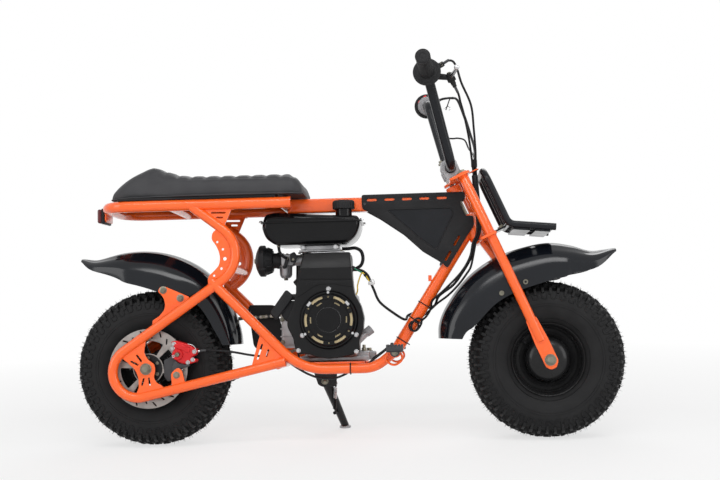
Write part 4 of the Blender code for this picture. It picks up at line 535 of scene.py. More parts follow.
def plate(shape, outlines, low, high, edge=0.0006, turn=None, rounds=2):
    # A flat piece with holes and softened edges: outlines in (x, z), from y low to high.
    # turn is another matrix for (x, z, y) if the piece doesn't lie in the side view.
    curve = bpy.data.curves.new("outline", "CURVE")
    curve.dimensions = "2D"
    curve.fill_mode = "BOTH"
    thick = high - low
    edge = min(edge, thick * 0.49)
    curve.extrude = thick / 2 - edge
    curve.bevel_depth = edge
    curve.bevel_resolution = rounds
    curve.offset = -edge
    for outline in outlines:
        spline = curve.splines.new("POLY")
        spline.points.add(len(outline) - 1)
        for point, (a, b) in zip(spline.points, outline):
            point.co = (a, b, 0, 1)
        spline.use_cyclic_u = True
    obj = bpy.data.objects.new("outline", curve)
    bpy.context.scene.collection.objects.link(obj)
    bpy.context.view_layer.update()
    made = settled(obj)
    if turn is None:
        turn = Matrix(((1, 0, 0, 0), (0, 0, 1, (low + high) / 2), (0, 1, 0, 0), (0, 0, 0, 1)))
    made.transform(turn)
    addMesh(shape, made)
    bpy.data.objects.remove(obj)
    bpy.data.curves.remove(curve)
    bpy.data.meshes.remove(made)


def flatTurn(z):
    # For plate(): outlines in (x, y), lying level about a height.
    return Matrix(((1, 0, 0, 0), (0, 1, 0, 0), (0, 0, 1, z), (0, 0, 0, 1)))


def steerTurn(u):
    # For plate(): outlines in (forward, side), square to the steering axis.
    middle = steer(0, 0, u)
    return Matrix(((steerForward.x, 0, steerUp.x, middle.x), (0, 1, 0, 0),
                   (steerForward.z, 0, steerUp.z, middle.z), (0, 0, 0, 1)))


def addMesh(shape, mesh):
    builder = shape["builder"]
    verts = [builder.verts.new(v.co) for v in mesh.vertices]
    for poly in mesh.polygons:
        kept = [verts[i] for i in poly.vertices]
        if len(set(kept)) == len(kept):
            try:
                addFace(shape, kept)
            except ValueError:
                pass


def softBox(shape, x, y, z, edge=0.002, rounds=2):
    plate(shape, [roundCorners(rectangle(x[0], z[0], x[1], z[1]), edge * 1.6, 3)], *y, edge, rounds=rounds)


def hexBolt(shape, place, axis, across, height, washer=0.0, socket=False):
    # A bolt head on a washer; place is on the surface and axis points out of it.
    place, axis = Vector(place), Vector(axis).normalized()
    guide = Vector((0, 0, 1)) if abs(axis.z) < 0.9 else Vector((1, 0, 0))
    side = axis.cross(guide).normalized()
    other = axis.cross(side)
    at = place
    if washer:
        turnedRod(shape, at, at + axis, [(0, washer), (0.0012, washer), (0.0016, washer - 0.0005)], 24)
        at = at + axis * 0.0014
    sides = 24 if socket else 6
    r = across / 2 if socket else across / 2 / math.cos(math.pi / 6)
    steps = [(0, 1.0), (0.75, 1.0), (1.0, 0.86)] + ([(1.0, 0.50), (0.5, 0.45)] if socket else [])
    loft(shape, [around(at + axis * height * rise, side, other, r * share, sides) for rise, share in steps])


def coil(start, end, radius, turns, perTurn=14):
    start, end = Vector(start), Vector(end)
    along = (end - start).normalized()
    side = along.cross(Vector((1, 0, 0))).normalized()
    other = along.cross(side)
    count = int(turns * perTurn)
    return [start.lerp(end, k / count) + (side * math.cos(2 * math.pi * k / perTurn)
                                          + other * math.sin(2 * math.pi * k / perTurn)) * radius
            for k in range(count + 1)]


def makePiece(name, shape, body, replaced=(), sharp=38.0, blendTo=None):
    builder = shape["builder"]
    bmesh.ops.remove_doubles(builder, verts=builder.verts, dist=1e-6)
    bmesh.ops.recalc_face_normals(builder, faces=builder.faces)
    mesh = bpy.data.meshes.new(name)
    builder.to_mesh(mesh)
    builder.free()
    mesh.transform(bikeMatrix)
    for finish in shape["slots"]:
        mesh.materials.append(finishes[finish])
    mesh.polygons.foreach_set("use_smooth", [True] * len(mesh.polygons))
    mesh.set_sharp_from_angle(angle=math.radians(sharp))
    obj = bpy.data.objects.new(name, mesh)
    bpy.context.scene.collection.objects.link(obj)
    if blendTo:
        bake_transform(obj)
    else:
        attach(obj, body)
    if replaced:
        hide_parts(*replaced)
    print("made", name, len(mesh.polygons))


# tyres
tyreSettings = {
    "outerRadius": 0.1785,
    "lugHeight": 0.0085,
    "halfWidth": 0.0672,
    "crownRadius": 0.115,
    "beadRadius": 0.0835,
    "cells": 56,
    "rows": [(0.0, 0.0075), (0.0185, 0.0070), (-0.0185, 0.0070), (0.0365, 0.0068), (-0.0365, 0.0068)],
    "hairs": 420,
    "hairLength": (0.0048, 0.0052),
    "marks": 43,
    "markPlace": (0.1365, 0.1475, 0.30),  # inner and outer radius, half width as a share of the pitch
}


def crown(y, radius, s):
    return radius - s["crownRadius"] + math.sqrt(s["crownRadius"] ** 2 - y * y)


def makeTyre(name, centreX, body, replaced, s, seed):
    shape = newShape("tyreRubber")
    base = s["outerRadius"] - s["lugHeight"]
    half = s["halfWidth"]
    side = [(0.0775, 0.0435), (0.0830, 0.0458), (0.0845, 0.0485), (0.0868, 0.0520), (0.0925, 0.0566),
            (0.1010, 0.0618), (0.1120, 0.0655), (0.1240, half), (0.1360, 0.0668), (0.1470, 0.0645),
            (0.1545, 0.0615), (crown(0.0575, base, s), 0.0575)]
    arcTop = [(crown(y / 1000, base, s), y / 1000) for y in range(52, -53, -4)]
    profile = side + arcTop + [(r, -y) for r, y in reversed(side)]
    lathe(shape, profile, (centreX, axleHeight), 168)
    centre = Vector((centreX, 0, axleHeight))

    def at(angle, y, radius):
        return centre + Vector((radius * math.cos(angle), y, radius * math.sin(angle)))

    def knob(angle, y, spread, halfY, low, high, taper=0.80):
        # A block whose top is smaller than its foot.
        corners = [(-1, -1), (1, -1), (1, 1), (-1, 1)]
        rings = []
        for radius, size in ((low, 1.0), (high - 0.0012, taper + 0.06), (high, taper - 0.06)):
            rings.append([at(angle + a * spread * size, y + b * halfY * size,
                             radius - s["outerRadius"] + crown(y + b * halfY * size, s["outerRadius"], s))
                          for a, b in corners])
        loft(shape, rings)

    pitch = 2 * math.pi / s["cells"]
    for row, (y, halfY) in enumerate(s["rows"]):
        for k in range(s["cells"]):
            shift = 0.5 if row in (1, 2) else 0.0
            knob((k + shift) * pitch, y, pitch * 0.27, halfY, s["outerRadius"] - s["lugHeight"] - 0.001,
                 s["outerRadius"] - 0.0006 * ((k * 7 + row) % 3))
    for sign in (-1, 1):
        for k in range(s["cells"]):
            a = (k + 0.5) * pitch
            long = k % 2
            # shoulder lug: from the tread's edge down the side
            rings = []
            stations = [(crown(0.0478, base, s) - 0.001, 0.0478, crown(0.0478, s["outerRadius"], s), 0.0478),
                        (crown(0.0560, base, s) - 0.001, 0.0555, crown(0.0545, s["outerRadius"], s) - 0.0008, 0.0592),
                        (0.1570, 0.0590, 0.1615, 0.0652), (0.1490 - 0.004 * long, 0.0632, 0.1515 - 0.004 * long, 0.0668)]
            for (lowR, lowY, highR, highY) in stations:
                w = pitch * (0.26 if lowR > 0.158 else 0.20)
                rings.append([at(a - w, sign * lowY, lowR), at(a - w * 0.78, sign * highY, highR),
                              at(a + w * 0.78, sign * highY, highR), at(a + w, sign * lowY, lowR)])
            loft(shape, rings)
        # raised U marks on the side
        inner, outer, share = s["markPlace"]
        for k in range(s["marks"]):
            a = 2 * math.pi * k / s["marks"]
            w = 2 * math.pi / s["marks"] * share
            line = [(a - w, outer), (a - w * 0.9, inner + 0.0020), (a - w * 0.45, inner), (a + w * 0.45, inner),
                    (a + w * 0.9, inner + 0.0020), (a + w, outer)]
            tube(shape, [at(b, sign * (0.0671 - 0.24 * max(0.0, r - 0.1400)), r) for b, r in line], 0.0015, 6)
        # two fine rings on the side and the rim guard
        for radius, y, size in ((0.0925, 0.0572, 0.0013), (0.1255, 0.0672, 0.0006), (0.1205, 0.0669, 0.0006)):
            lathe(shape, [(radius - size, sign * (y - 0.0006)), (radius, sign * (y + size * 0.8)),
                          (radius + size, sign * (y - 0.0006))], (centreX, axleHeight), 120)
    # moulding hairs
    for k in range(s["hairs"]):
        jitter = noise.noise_vector(Vector((k * 0.731 + seed, seed * 3.1, k * 0.217)))
        a = (k / s["hairs"] + jitter.x * 0.01) * 2 * math.pi
        y = (k % 5 - 2) * 0.0185 + jitter.y * 0.010
        y = max(-0.052, min(0.052, y))
        low = crown(y, s["outerRadius"], s) - 0.002
        length = s["hairLength"][0] + s["hairLength"][1] * abs(jitter.z)
        tip = at(a + jitter.y * 0.02, y + jitter.z * 0.002, low + 0.002 + length)
        foot = at(a, y, low)
        if (bikeMatrix @ tip).z < 0.0005:
            continue  # pressed flat where the tyre stands
        size = 0.0006
        across = Vector((-math.sin(a), 0, math.cos(a))) * size
        loft(shape, [[foot + across, foot + Vector((0, size, 0)), foot - across], [tip]], capped=False)
    makePiece(name, shape, body, replaced, sharp=42)


makeTyre("frontTyre", wheelbase, "front_wheel", ["front_tyre"], tyreSettings, 3.0)
makeTyre("rearTyre", 0.0, "rear_wheel", ["rear_tyre"], tyreSettings, 8.0)

# front rim: a deep painted dish round a domed hub cap
frontRimSettings = {"lip": 0.0835, "hub": 0.051, "dome": 0.0588}


def makeFrontRim(s):
    shape = newShape("rimPaint")
    lip, hub, end = s["lip"], s["hub"], s["dome"]
    half = [(0.0700, 0.0), (0.0700, 0.012), (hub + 0.0160, 0.0125), (hub + 0.006, 0.014), (hub + 0.0012, 0.0180),
            (hub - 0.0005, 0.024), (hub - 0.0008, end - 0.0215), (hub - 0.003, end - 0.0160),
            (hub - 0.009, end - 0.0098), (hub - 0.018, end - 0.0055), (hub - 0.029, end - 0.0028), (0.0105, end - 0.002)]
    barrel = [(lip - 0.0028, 0.0500), (lip - 0.0010, 0.0508), (lip, 0.0498), (lip - 0.0002, 0.0480),
              (lip - 0.0022, 0.0462), (0.0790, 0.0450), (0.0765, 0.0430), (0.0762, 0.0200), (0.0762, 0.0)]
    inner = [(0.0798, 0.0486), (0.0772, 0.0462), (0.0742, 0.0400), (0.0732, 0.0300), (0.0722, 0.0180),
             (0.0705, 0.0135)]
    for sign in (-1, 1):
        front = [(r, sign * y) for r, y in reversed(half[1:])]
        skin = front + [(r, sign * y) for r, y in reversed(inner)] + [(r, sign * y) for r, y in barrel]
        lathe(shape, skin, (wheelbase, axleHeight), 120, closed=False)
        # pressed ring and rivet dimples in the dish
        lathe(shape, [(0.0610, sign * 0.0122), (0.0622, sign * 0.0136), (0.0634, sign * 0.0122)],
              (wheelbase, axleHeight), 96)
    paint(shape, "darkSteel")
    for x, z in ringPlaces((wheelbase, axleHeight), 0.030, 4, 45):
        hexBolt(shape, (x, -end + 0.0085, z), (0, -1, 0), 0.0042, 0.0008, socket=True)
    # valve stem
    paint(shape, "cableRubber")
    turnedRod(shape, (wheelbase - 0.058, -0.0330, axleHeight + 0.0440), (wheelbase - 0.050, -0.0500, axleHeight + 0.0380),
              [(0, 0.0040), (0.006, 0.0036), (0.010, 0.0026), (0.020, 0.0026), (0.021, 0.0018)], 16)
    makePiece("frontRim", shape, "front_wheel", ["front_rim"], sharp=40)


makeFrontRim(frontRimSettings)

# rear wheel: painted rim with windows, hub, slotted disc and sprocket
rearWheelSettings = {
    "lip": 0.0835,
    "hub": 0.026,
    "windows": 5,
    "firstWindow": 17.0,
    "discRadius": 0.090,
    "discY": -0.08415,
    "discSlots": 24,
}


def makeRearWheel(s):
    lip = s["lip"]
    shape = newShape("rimPaint")
    for sign in (-1, 1):
        skin = [(0.0712, sign * 0.006), (0.0722, sign * 0.0180), (0.0732, sign * 0.0300), (0.0742, sign * 0.0400),
                (0.0772, sign * 0.0462), (0.0798, sign * 0.0486), (lip - 0.0028, sign * 0.0500),
                (lip - 0.0010, sign * 0.0508), (lip, sign * 0.0498), (lip - 0.0022, sign * 0.0462),
                (0.0790, sign * 0.0450), (0.0765, sign * 0.0430), (0.0762, 0.0)]
        lathe(shape, skin, (0, axleHeight), 120, closed=False)
    web = [circleOutline(0, axleHeight, 0.0725, 96), circleOutline(0, axleHeight, 0.0085, 24)]
    for k in range(s["windows"]):
        a = s["firstWindow"] + 360 / s["windows"] * k
        web.append(roundCorners(arcOutline((0, axleHeight), s["hub"] + 0.008, 0.0640, a - 24, a + 24, 6), 0.004, 3))
    plate(shape, web, -0.006, 0.006, 0.0015)
    hubProfile = [(0.0085, -0.0650), (0.0165, -0.0650), (0.0180, -0.0635), (0.0180, -0.050), (0.0225, -0.046),
                  (0.0260, -0.040), (0.0262, -0.006), (0.0085, -0.006)]
    for sign in (1, -1):
        lathe(shape, [(r, y * sign) for r, y in hubProfile], (0, axleHeight), 48)
    makePiece("rearRim", shape, "rear_wheel", ["rear_rim"], sharp=40)

    disc = newShape("discSteel")
    band, r, y = 0.0265, s["discRadius"], s["discY"]
    inner = r - band
    outlines = [circleOutline(0, axleHeight, r, 144), circleOutline(0, axleHeight, 0.0110, 32)]
    for k in range(6):
        a = 60 * k + 20
        outlines.append(roundCorners(arcOutline((0, axleHeight), 0.0345, inner, a - 23, a + 23, 8), 0.005, 4))
    for k in range(s["discSlots"]):
        a = 2 * math.pi * (k + 0.5) / s["discSlots"]
        deep = 0.006 if k % 2 else 0.0135
        p = Vector((math.cos(a), math.sin(a))) * (inner + deep)
        q = Vector((math.cos(a + 0.07), math.sin(a + 0.07))) * (inner + deep + 0.0085)
        outlines.append(slotOutline(p.x, axleHeight + p.y, q.x, axleHeight + q.y, 0.0034, 5))
    plate(disc, outlines, y - 0.00175, y + 0.00175, 0.0003)
    lathe(disc, [(0.0085, y + 0.001), (0.0295, y + 0.001), (0.0295, -0.0660), (0.0085, -0.0660)], (0, axleHeight), 48)
    paint(disc, "blackPaint")
    turnedRod(disc, (0, y - 0.0017, axleHeight), (0, y - 0.0045, axleHeight),
              [(0, 0.0110), (0.0001, 0.0325), (0.0016, 0.0325), (0.0026, 0.0312), (0.0028, 0.0110)], 60)
    paint(disc, "zincBolt")
    for x, z in ringPlaces((0, axleHeight), 0.0245, 6, 30):
        hexBolt(disc, (x, y - 0.0043, z), (0, -1, 0), 0.0075, 0.0018, socket=True)
    makePiece("brakeDisc", disc, "rear_wheel", ["brake_disc"], sharp=35)


makeRearWheel(rearWheelSettings)
print("wheels made")

# frame tubes and plates
loopSettings = {
    "tube": 0.0111,
    "plate": 0.004,
    "dropout": [(-0.052, 0.032), (-0.003, 0.068), (-0.0035, 0.0385), (0.0045, 0.022), (0.0183, 0.010),
                (0.0204, -0.0055), (0.018, -0.019), (0.0246, -0.031), (0.038, -0.040), (0.034, -0.052),
                (-0.022, -0.064), (-0.017, -0.041), (-0.018, -0.0185), (-0.026, 0.0), (-0.040, 0.014)],
    "dropoutSlots": [(-0.0200, 0.0308, -0.0108, 0.0180), (-0.0329, 0.0174, -0.0188, 0.0101),
                     (-0.0053, -0.0222, -0.0091, -0.0346), (0.0063, -0.0213, 0.0084, -0.0350)],
    "louvre": [(0.104, 0.545), (0.204, 0.545), (0.1765, 0.482)],
    "louvreSlots": [(0.1430, 0.5387, 0.1905, 0.5379), (0.1545, 0.5267, 0.1840, 0.5261),
                    (0.1660, 0.5157, 0.1780, 0.5153)],
    "curved": [(0.168, 0.492), (0.1545, 0.481), (0.1527, 0.466), (0.162, 0.454), (0.169, 0.439),
               (0.172, 0.424), (0.169, 0.407), (0.156, 0.393), (0.145, 0.384), (0.1425, 0.372),
               (0.146, 0.360), (0.172, 0.372), (0.197, 0.400), (0.205, 0.432), (0.196, 0.466)],
    "curvedHoles": [(0.1658, 0.460, 0.0027), (0.1783, 0.4433, 0.0028), (0.1825, 0.4217, 0.0042),
                    (0.1744, 0.3998, 0.0030), (0.1576, 0.3842, 0.0026)],
    "gusset": [(0.262, 0.259), (0.237, 0.172), (0.325, 0.192)],
    "gussetSlots": [(0.2635, 0.2265, 0.2530, 0.1955), (0.2775, 0.2140, 0.2735, 0.2015)],
    "ear": [(0.0268, 0.3509), (0.0298, 0.3610), (0.0401, 0.3642), (0.1000, 0.3378), (0.0900, 0.3270),
            (0.0584, 0.3080), (0.0378, 0.2940), (0.0142, 0.2720), (0.0128, 0.2863), (0.0290, 0.2960),
            (0.0409, 0.3101), (0.0430, 0.3216), (0.0406, 0.3347), (0.0340, 0.3450)],
    "earFace": 0.0984,
    "earBolts": [(0.039, 0.355), (0.078, 0.336)],
    "brakeTab": [(0.059, 0.130), (0.0562, 0.167), (0.0716, 0.1805), (0.0817, 0.1734), (0.088, 0.146),
                 (0.089, 0.134)],
    "brakeTabBolt": (0.0693, 0.1631),
    "slotWidth": 0.0042,
    "seams": [((-0.050, 0.222), (-0.006, 0.240)), ((-0.022, 0.1150), (0.034, 0.1262)),
              ((0.108, 0.535), (0.160, 0.498)), ((0.242, 0.174), (0.318, 0.190)),
              ((0.150, 0.360), (0.180, 0.378)), ((0.016, 0.270), (0.092, 0.322))],
}


def weldBead(shape, path, radius=0.0016):
    # A slightly uneven seam of weld.
    fine = smooth(path, 6)
    radii = [radius * (1.0 + 0.22 * math.sin(k * 2.1)) for k in range(len(fine))]
    tube(shape, fine, radii, 8)


def makeSideLoop(side, name, node, s):
    y = loopHalf * side
    shape = newShape("orangePaint")
    loop = bend([(0.1045, y, 0.5455), (0.2568, y, 0.4294), (-0.2968, y, 0.0502), (0.315, y, 0.1881)],
                [0.0715, 0.0571], 4)
    cradle = bend([(0.150, y, 0.3719), (0.3507, y, 0.169), (0.515, y, 0.169), (0.5625, y, 0.206)],
                  [0.135, 0.070], 4)
    tube(shape, loop, s["tube"], 28)
    tube(shape, cradle, s["tube"], 28)
    t = s["plate"] / 2
    slots = [slotOutline(a, axleHeight + b, c, axleHeight + d, s["slotWidth"]) for a, b, c, d in s["dropoutSlots"]]
    dropout = smooth([(x, 0, axleHeight + z) for x, z in s["dropout"]], 4, closed=True)
    plate(shape, [[(p.x, p.z) for p in dropout], circleOutline(0, axleHeight, 0.0080, 24)] + slots,
          y - 0.0025, y + 0.0025)
    plate(shape, [s["louvre"]] + [slotOutline(*e, s["slotWidth"]) for e in s["louvreSlots"]], y - t, y + t)
    plate(shape, [roundCorners(s["curved"], 0.006)] + [circleOutline(*h, 20) for h in s["curvedHoles"]],
          y - t, y + t)
    plate(shape, [s["gusset"]] + [slotOutline(*e, s["slotWidth"]) for e in s["gussetSlots"]], y - t, y + t)
    earFace = s["earFace"] * side
    plate(shape, [roundCorners(s["ear"], 0.005)], *sorted((earFace - s["plate"] * side, earFace)))
    for low, high in s["seams"]:
        for face in (-1, 1):
            ends = [(x, y + face * 0.0028, z) for x, z in (low, high)]
            middle = ((low[0] + high[0]) / 2, y + face * 0.003, (low[1] + high[1]) / 2)
            weldBead(shape, [ends[0], middle, ends[1]], 0.0013)
    if side < 0:
        plate(shape, [roundCorners(s["brakeTab"], 0.006)], y - t, y + t)
    paint(shape, "zincBolt")
    for x, z in s["earBolts"]:
        hexBolt(shape, (x, earFace, z), (0, side, 0), 0.0115, 0.0040, 0.0085, socket=True)
    if side < 0:
        x, z = s["brakeTabBolt"]
        hexBolt(shape, (x, y - t, z), (0, -1, 0), 0.0110, 0.0045, 0.0078)
    makePiece(name, shape, "frame", [node], sharp=40)


makeSideLoop(-1, "sideLoopRight", "side_loop_right", loopSettings)
makeSideLoop(1, "sideLoopLeft", "side_loop_left", loopSettings)

railSettings = {"tube": 0.0127, "half": 0.107, "height": 0.546, "front": 0.334, "rear": -0.095,
                "crossFront": 0.315, "crossRear": 0.060}


def makeSeatRails(s):
    shape = newShape("orangePaint")
    h, z = s["half"], s["height"]
    path = bend([(s["front"], -h, z), (s["rear"], -h, z), (s["rear"], h, z), (s["front"], h, z)], [0.055, 0.055], 4)
    tube(shape, path, s["tube"], 28)
    for x in (s["crossFront"], s["crossRear"]):
        tube(shape, [(x, -h, z), (x, h, z)], s["tube"] * 0.98, 24)
    for side in (-1, 1):
        # seams where the rail is joined and cut
        tube(shape, [(s["front"] - 0.0042, h * side, z), (s["front"] - 0.0012, h * side, z)], s["tube"] + 0.0006, 28)
        weldBead(shape, [(0.104, h * side, z - 0.0125), (0.150, h * side, z - 0.0130), (0.204, h * side, z - 0.0125)])
    makePiece("seatRails", shape, "frame", ["seat_rails"], sharp=40)


makeSeatRails(railSettings)

spineSettings = {"width": 0.036, "height": 0.033, "level": 0.5455, "back": 0.3165, "cup": 0.0175,
                 "headTop": 0.060, "headLow": -0.077, "break": (-0.014, 0.023), "downTube": 0.014}


def makeSpine(s):
    shape = newShape("orangePaint")
    w, h, z = s["width"] / 2, s["height"] / 2, s["level"]
    front = steer(-0.0155, 0, 0.020).x
    section = roundCorners(rectangle(-w, -h, w, h), 0.005, 4)
    loft(shape, [[Vector((x, a, z + b)) for a, b in section] for x in (s["back"], s["back"] + 0.0006, front)])
    foot, head = Vector((0.566, 0, 0.213)), steer(-0.004, 0, -0.045)
    tube(shape, [foot, head], s["downTube"], 28)
    bore = 0.0058
    for low, high in ((s["break"][1], s["headTop"]), (s["headLow"], s["break"][0])):
        a, b = steer(0, 0, low), steer(0, 0, high)
        length = (b - a).length
        turnedRod(shape, a, b, [(0, bore), (0.0002, s["cup"] - 0.0012), (0.0012, s["cup"]), (0.006, s["cup"]),
                                (0.0065, s["cup"] - 0.0008), (0.0072, s["cup"] - 0.0008), (0.0078, s["cup"]),
                                (length - 0.0012, s["cup"]), (length - 0.0002, s["cup"] - 0.0012), (length, bore)], 40)
    plate(shape, [steerSide([(-0.011, 0.034), (-0.011, -0.024), (-0.004, -0.045), (-0.078, -0.088), (-0.090, 0.044)])],
          -0.002, 0.002)
    along = (head - foot).normalized()
    weldBead(shape, [foot + along * up + Vector(place) for up, place in (
        (0.004, (0.0125, -0.006, 0)), (0.004, (0.004, -0.0140, 0.004)), (0.006, (-0.0110, -0.008, 0.006)))])
    # small cable tabs on the down tube
    for x, z in ((0.6436, 0.37005), (0.6638, 0.3499)):
        softBox(shape, (x - 0.004, x + 0.004), (-0.006, 0.002), (z - 0.007, z + 0.007), 0.001)
    makePiece("frameSpine", shape, "frame", ["frame_spine"], sharp=40)


makeSpine(spineSettings)

forkSettings = {"tube": 0.0111, "top": 0.071, "bottom": -0.345,
                "tab": [(-0.0125, 0.1014), (0.0125, 0.1014), (0.016, 0.0464), (0.016, -0.0086), (0.006, -0.0206),
                        (-0.008, -0.0206), (-0.016, -0.0106), (-0.016, 0.0464)]}


def makeFork(side, name, node, s):
    shape = newShape("orangePaint")
    y = forkHalf * side
    low, high = steer(forkOffset, y, s["bottom"]), steer(forkOffset, y, s["top"])
    length = (high - low).length
    turnedRod(shape, low, high, [(0, s["tube"] - 0.001), (0.0008, s["tube"]), (length - 0.0024, s["tube"]),
                                 (length - 0.0008, s["tube"] - 0.0012), (length, s["tube"] - 0.004)], 32)
    outline = steerSide([(forkOffset + f, u - bikeSettings["axleDrop"]) for f, u in s["tab"]])
    plate(shape, [roundCorners(outline, 0.005), circleOutline(wheelbase, axleHeight, 0.0080, 24)],
          y - 0.003, y + 0.003, 0.0008)
    for f in (-0.0095, 0.0095):
        a, b = (steer(forkOffset + f, y - 0.0036, u) for u in (s["bottom"], -0.292))
        weldBead(shape, [a, (a + b) / 2, b], 0.0014)
    makePiece(name, shape, "steering", [node], sharp=40)


makeFork(-1, "forkLegRight", "fork_leg_right", forkSettings)
makeFork(1, "forkLegLeft", "fork_leg_left", forkSettings)

# fenders: a ribbed shell with a raised middle band
fenderSettings = {
    "rear": [(123.1, 0.1299, 0.030, 0.008), (116.6, 0.1072, 0.062, 0.032), (104.4, 0.0997, 0.084, 0.070),
             (94.4, 0.0948, 0.090, 0.083), (79.3, 0.0866, 0.0940, 0.090), (64.5, 0.0771, 0.0940, 0.086),
             (50.0, 0.0634, 0.083, 0.062), (35.7, 0.0484, 0.0765, 0.053), (25.0, 0.0394, 0.0760, 0.047),
             (13.9, 0.0301, 0.0750, 0.034)],
    "front": [(167.9, 0.0746, 0.0765, 0.054), (158.5, 0.0810, 0.079, 0.072), (146.2, 0.0808, 0.081, 0.083),
              (131.7, 0.0819, 0.082, 0.088), (116.5, 0.0823, 0.0835, 0.092), (101.3, 0.0830, 0.0835, 0.092),
              (87.0, 0.0884, 0.081, 0.087), (76.5, 0.0883, 0.077, 0.076), (65.8, 0.0906, 0.060, 0.044),
              (56.6, 0.1215, 0.026, 0.008)],
    "thick": 0.0034,
}


def makeFender(name, table, centreX, body, node, bolts, s):
    shape = newShape("fenderGloss")
    rows = smooth([(a, gap * 1000, half * 1000) for a, gap, half, deep in table], 7)
    deeps = smooth([(deep * 1000, 0, 0) for a, gap, half, deep in table], 7)
    path = [Vector((centreX + (axleHeight + r.y / 1000) * math.cos(math.radians(r.x)), 0,
                    axleHeight + (axleHeight + r.y / 1000) * math.sin(math.radians(r.x)))) for r in rows]
    last = len(path) - 1
    count = 44
    rings = []
    for k, here in enumerate(path):
        along = (path[min(k + 1, last)] - path[max(k - 1, 0)]).normalized()
        inward = Vector((0, 1, 0)).cross(along)
        half, deep = rows[k].z / 1000, deeps[k].x / 1000
        edge = min(1.0, k / 4, (last - k) / 4)
        outer, inner = [], []
        for j in range(count + 1):
            t = math.pi * (j / count - 0.5)
            u = math.sin(t)
            across = math.copysign(abs(u) ** 0.8, u)
            drop = 1 - abs(math.cos(t)) ** 0.75
            # steps pressed along the shell: a raised band, a groove beside it and a flange
            relief = 0.0
            for middle, wide, high in ((0.0, 0.26, 0.0012), (0.60, 0.10, -0.0014), (0.97, 0.03, 0.0008)):
                relief += high / (1 + (abs(abs(u) - middle) / wide) ** 6) * edge
            normal = (Vector((0, across, 0)) * 0.6 - inward * max(0.15, math.cos(t))).normalized()
            if abs(u) > 0.96:
                relief = min(relief, 0.0003)
            outer.append(here + Vector((0, half * across, 0)) + inward * deep * drop + normal * min(relief, 0.0016)
                         + inward * (0.0010 if abs(u) < 0.3 else 0))
            inner.append(here + Vector((0, (half - s["thick"]) * across, 0))
                         + inward * (s["thick"] + (deep - s["thick"]) * drop))
        rings.append(outer + inner[::-1])
    loft(shape, rings)
    paint(shape, "zincBolt")
    for x, y, z in bolts:
        hexBolt(shape, (x, y, z), (0, math.copysign(1, y), 0), 0.0120, 0.0042, 0.0088, socket=True)
    makePiece(name, shape, body, [node], sharp=50)


makeFender("rearFender", fenderSettings["rear"], 0.0, "frame", "rear_fender", [], fenderSettings)
makeFender("frontFender", fenderSettings["front"], wheelbase, "steering", "front_fender",
           [(0.803, -0.0800, 0.329), (0.857, -0.0800, 0.353), (0.803, 0.0800, 0.329), (0.857, 0.0800, 0.353)],
           fenderSettings)
print("frame and fenders made")

# seat
seatSettings = {
    # x, rise over the seat's floor, half width
    "stations": [(-0.087, 0.003, 0.046), (-0.081, 0.022, 0.074), (-0.042, 0.0490, 0.100), (-0.010, 0.0640, 0.107),
                 (0.008, 0.0720, 0.111), (0.021, 0.0720, 0.113), (0.046, 0.0630, 0.117), (0.080, 0.0525, 0.122),
                 (0.120, 0.0490, 0.124), (0.210, 0.0475, 0.125), (0.330, 0.0475, 0.120), (0.344, 0.0445, 0.115),
                 (0.3540, 0.0350, 0.109), (0.3595, 0.0180, 0.103), (0.3610, 0.0020, 0.100)],
    "section": [(-0.93, 0.0), (-0.985, 0.10), (-1.0, 0.30), (-0.985, 0.55), (-0.95, 0.76), (-0.86, 0.92),
                (-0.70, 0.985), (-0.4, 1.0), (0.0, 1.0), (0.4, 1.0), (0.70, 0.985), (0.86, 0.92), (0.95, 0.76),
                (0.985, 0.55), (1.0, 0.30), (0.985, 0.10), (0.93, 0.0)],
    "floor": 0.5640,
    "pleats": [0.045, 0.076, 0.106, 0.140, 0.174, 0.208, 0.244, 0.278, 0.312, 0.339],
    "pleatWidth": 0.0060,
    "pleatDepth": 0.0028,
    "seamHalf": 0.121,
    "fill": 0.8,
    "settleFrames": 20,
    "pressure": 4.0,
    "mostSwell": 0.0030,
}


def pleat(x, s):
    # How far the cover is drawn down by the stitched channels at a place along the seat.
    depth = 0.0
    for middle in s["pleats"]:
        depth = max(depth, math.exp(-((x - middle) / s["pleatWidth"]) ** 2))
    return depth


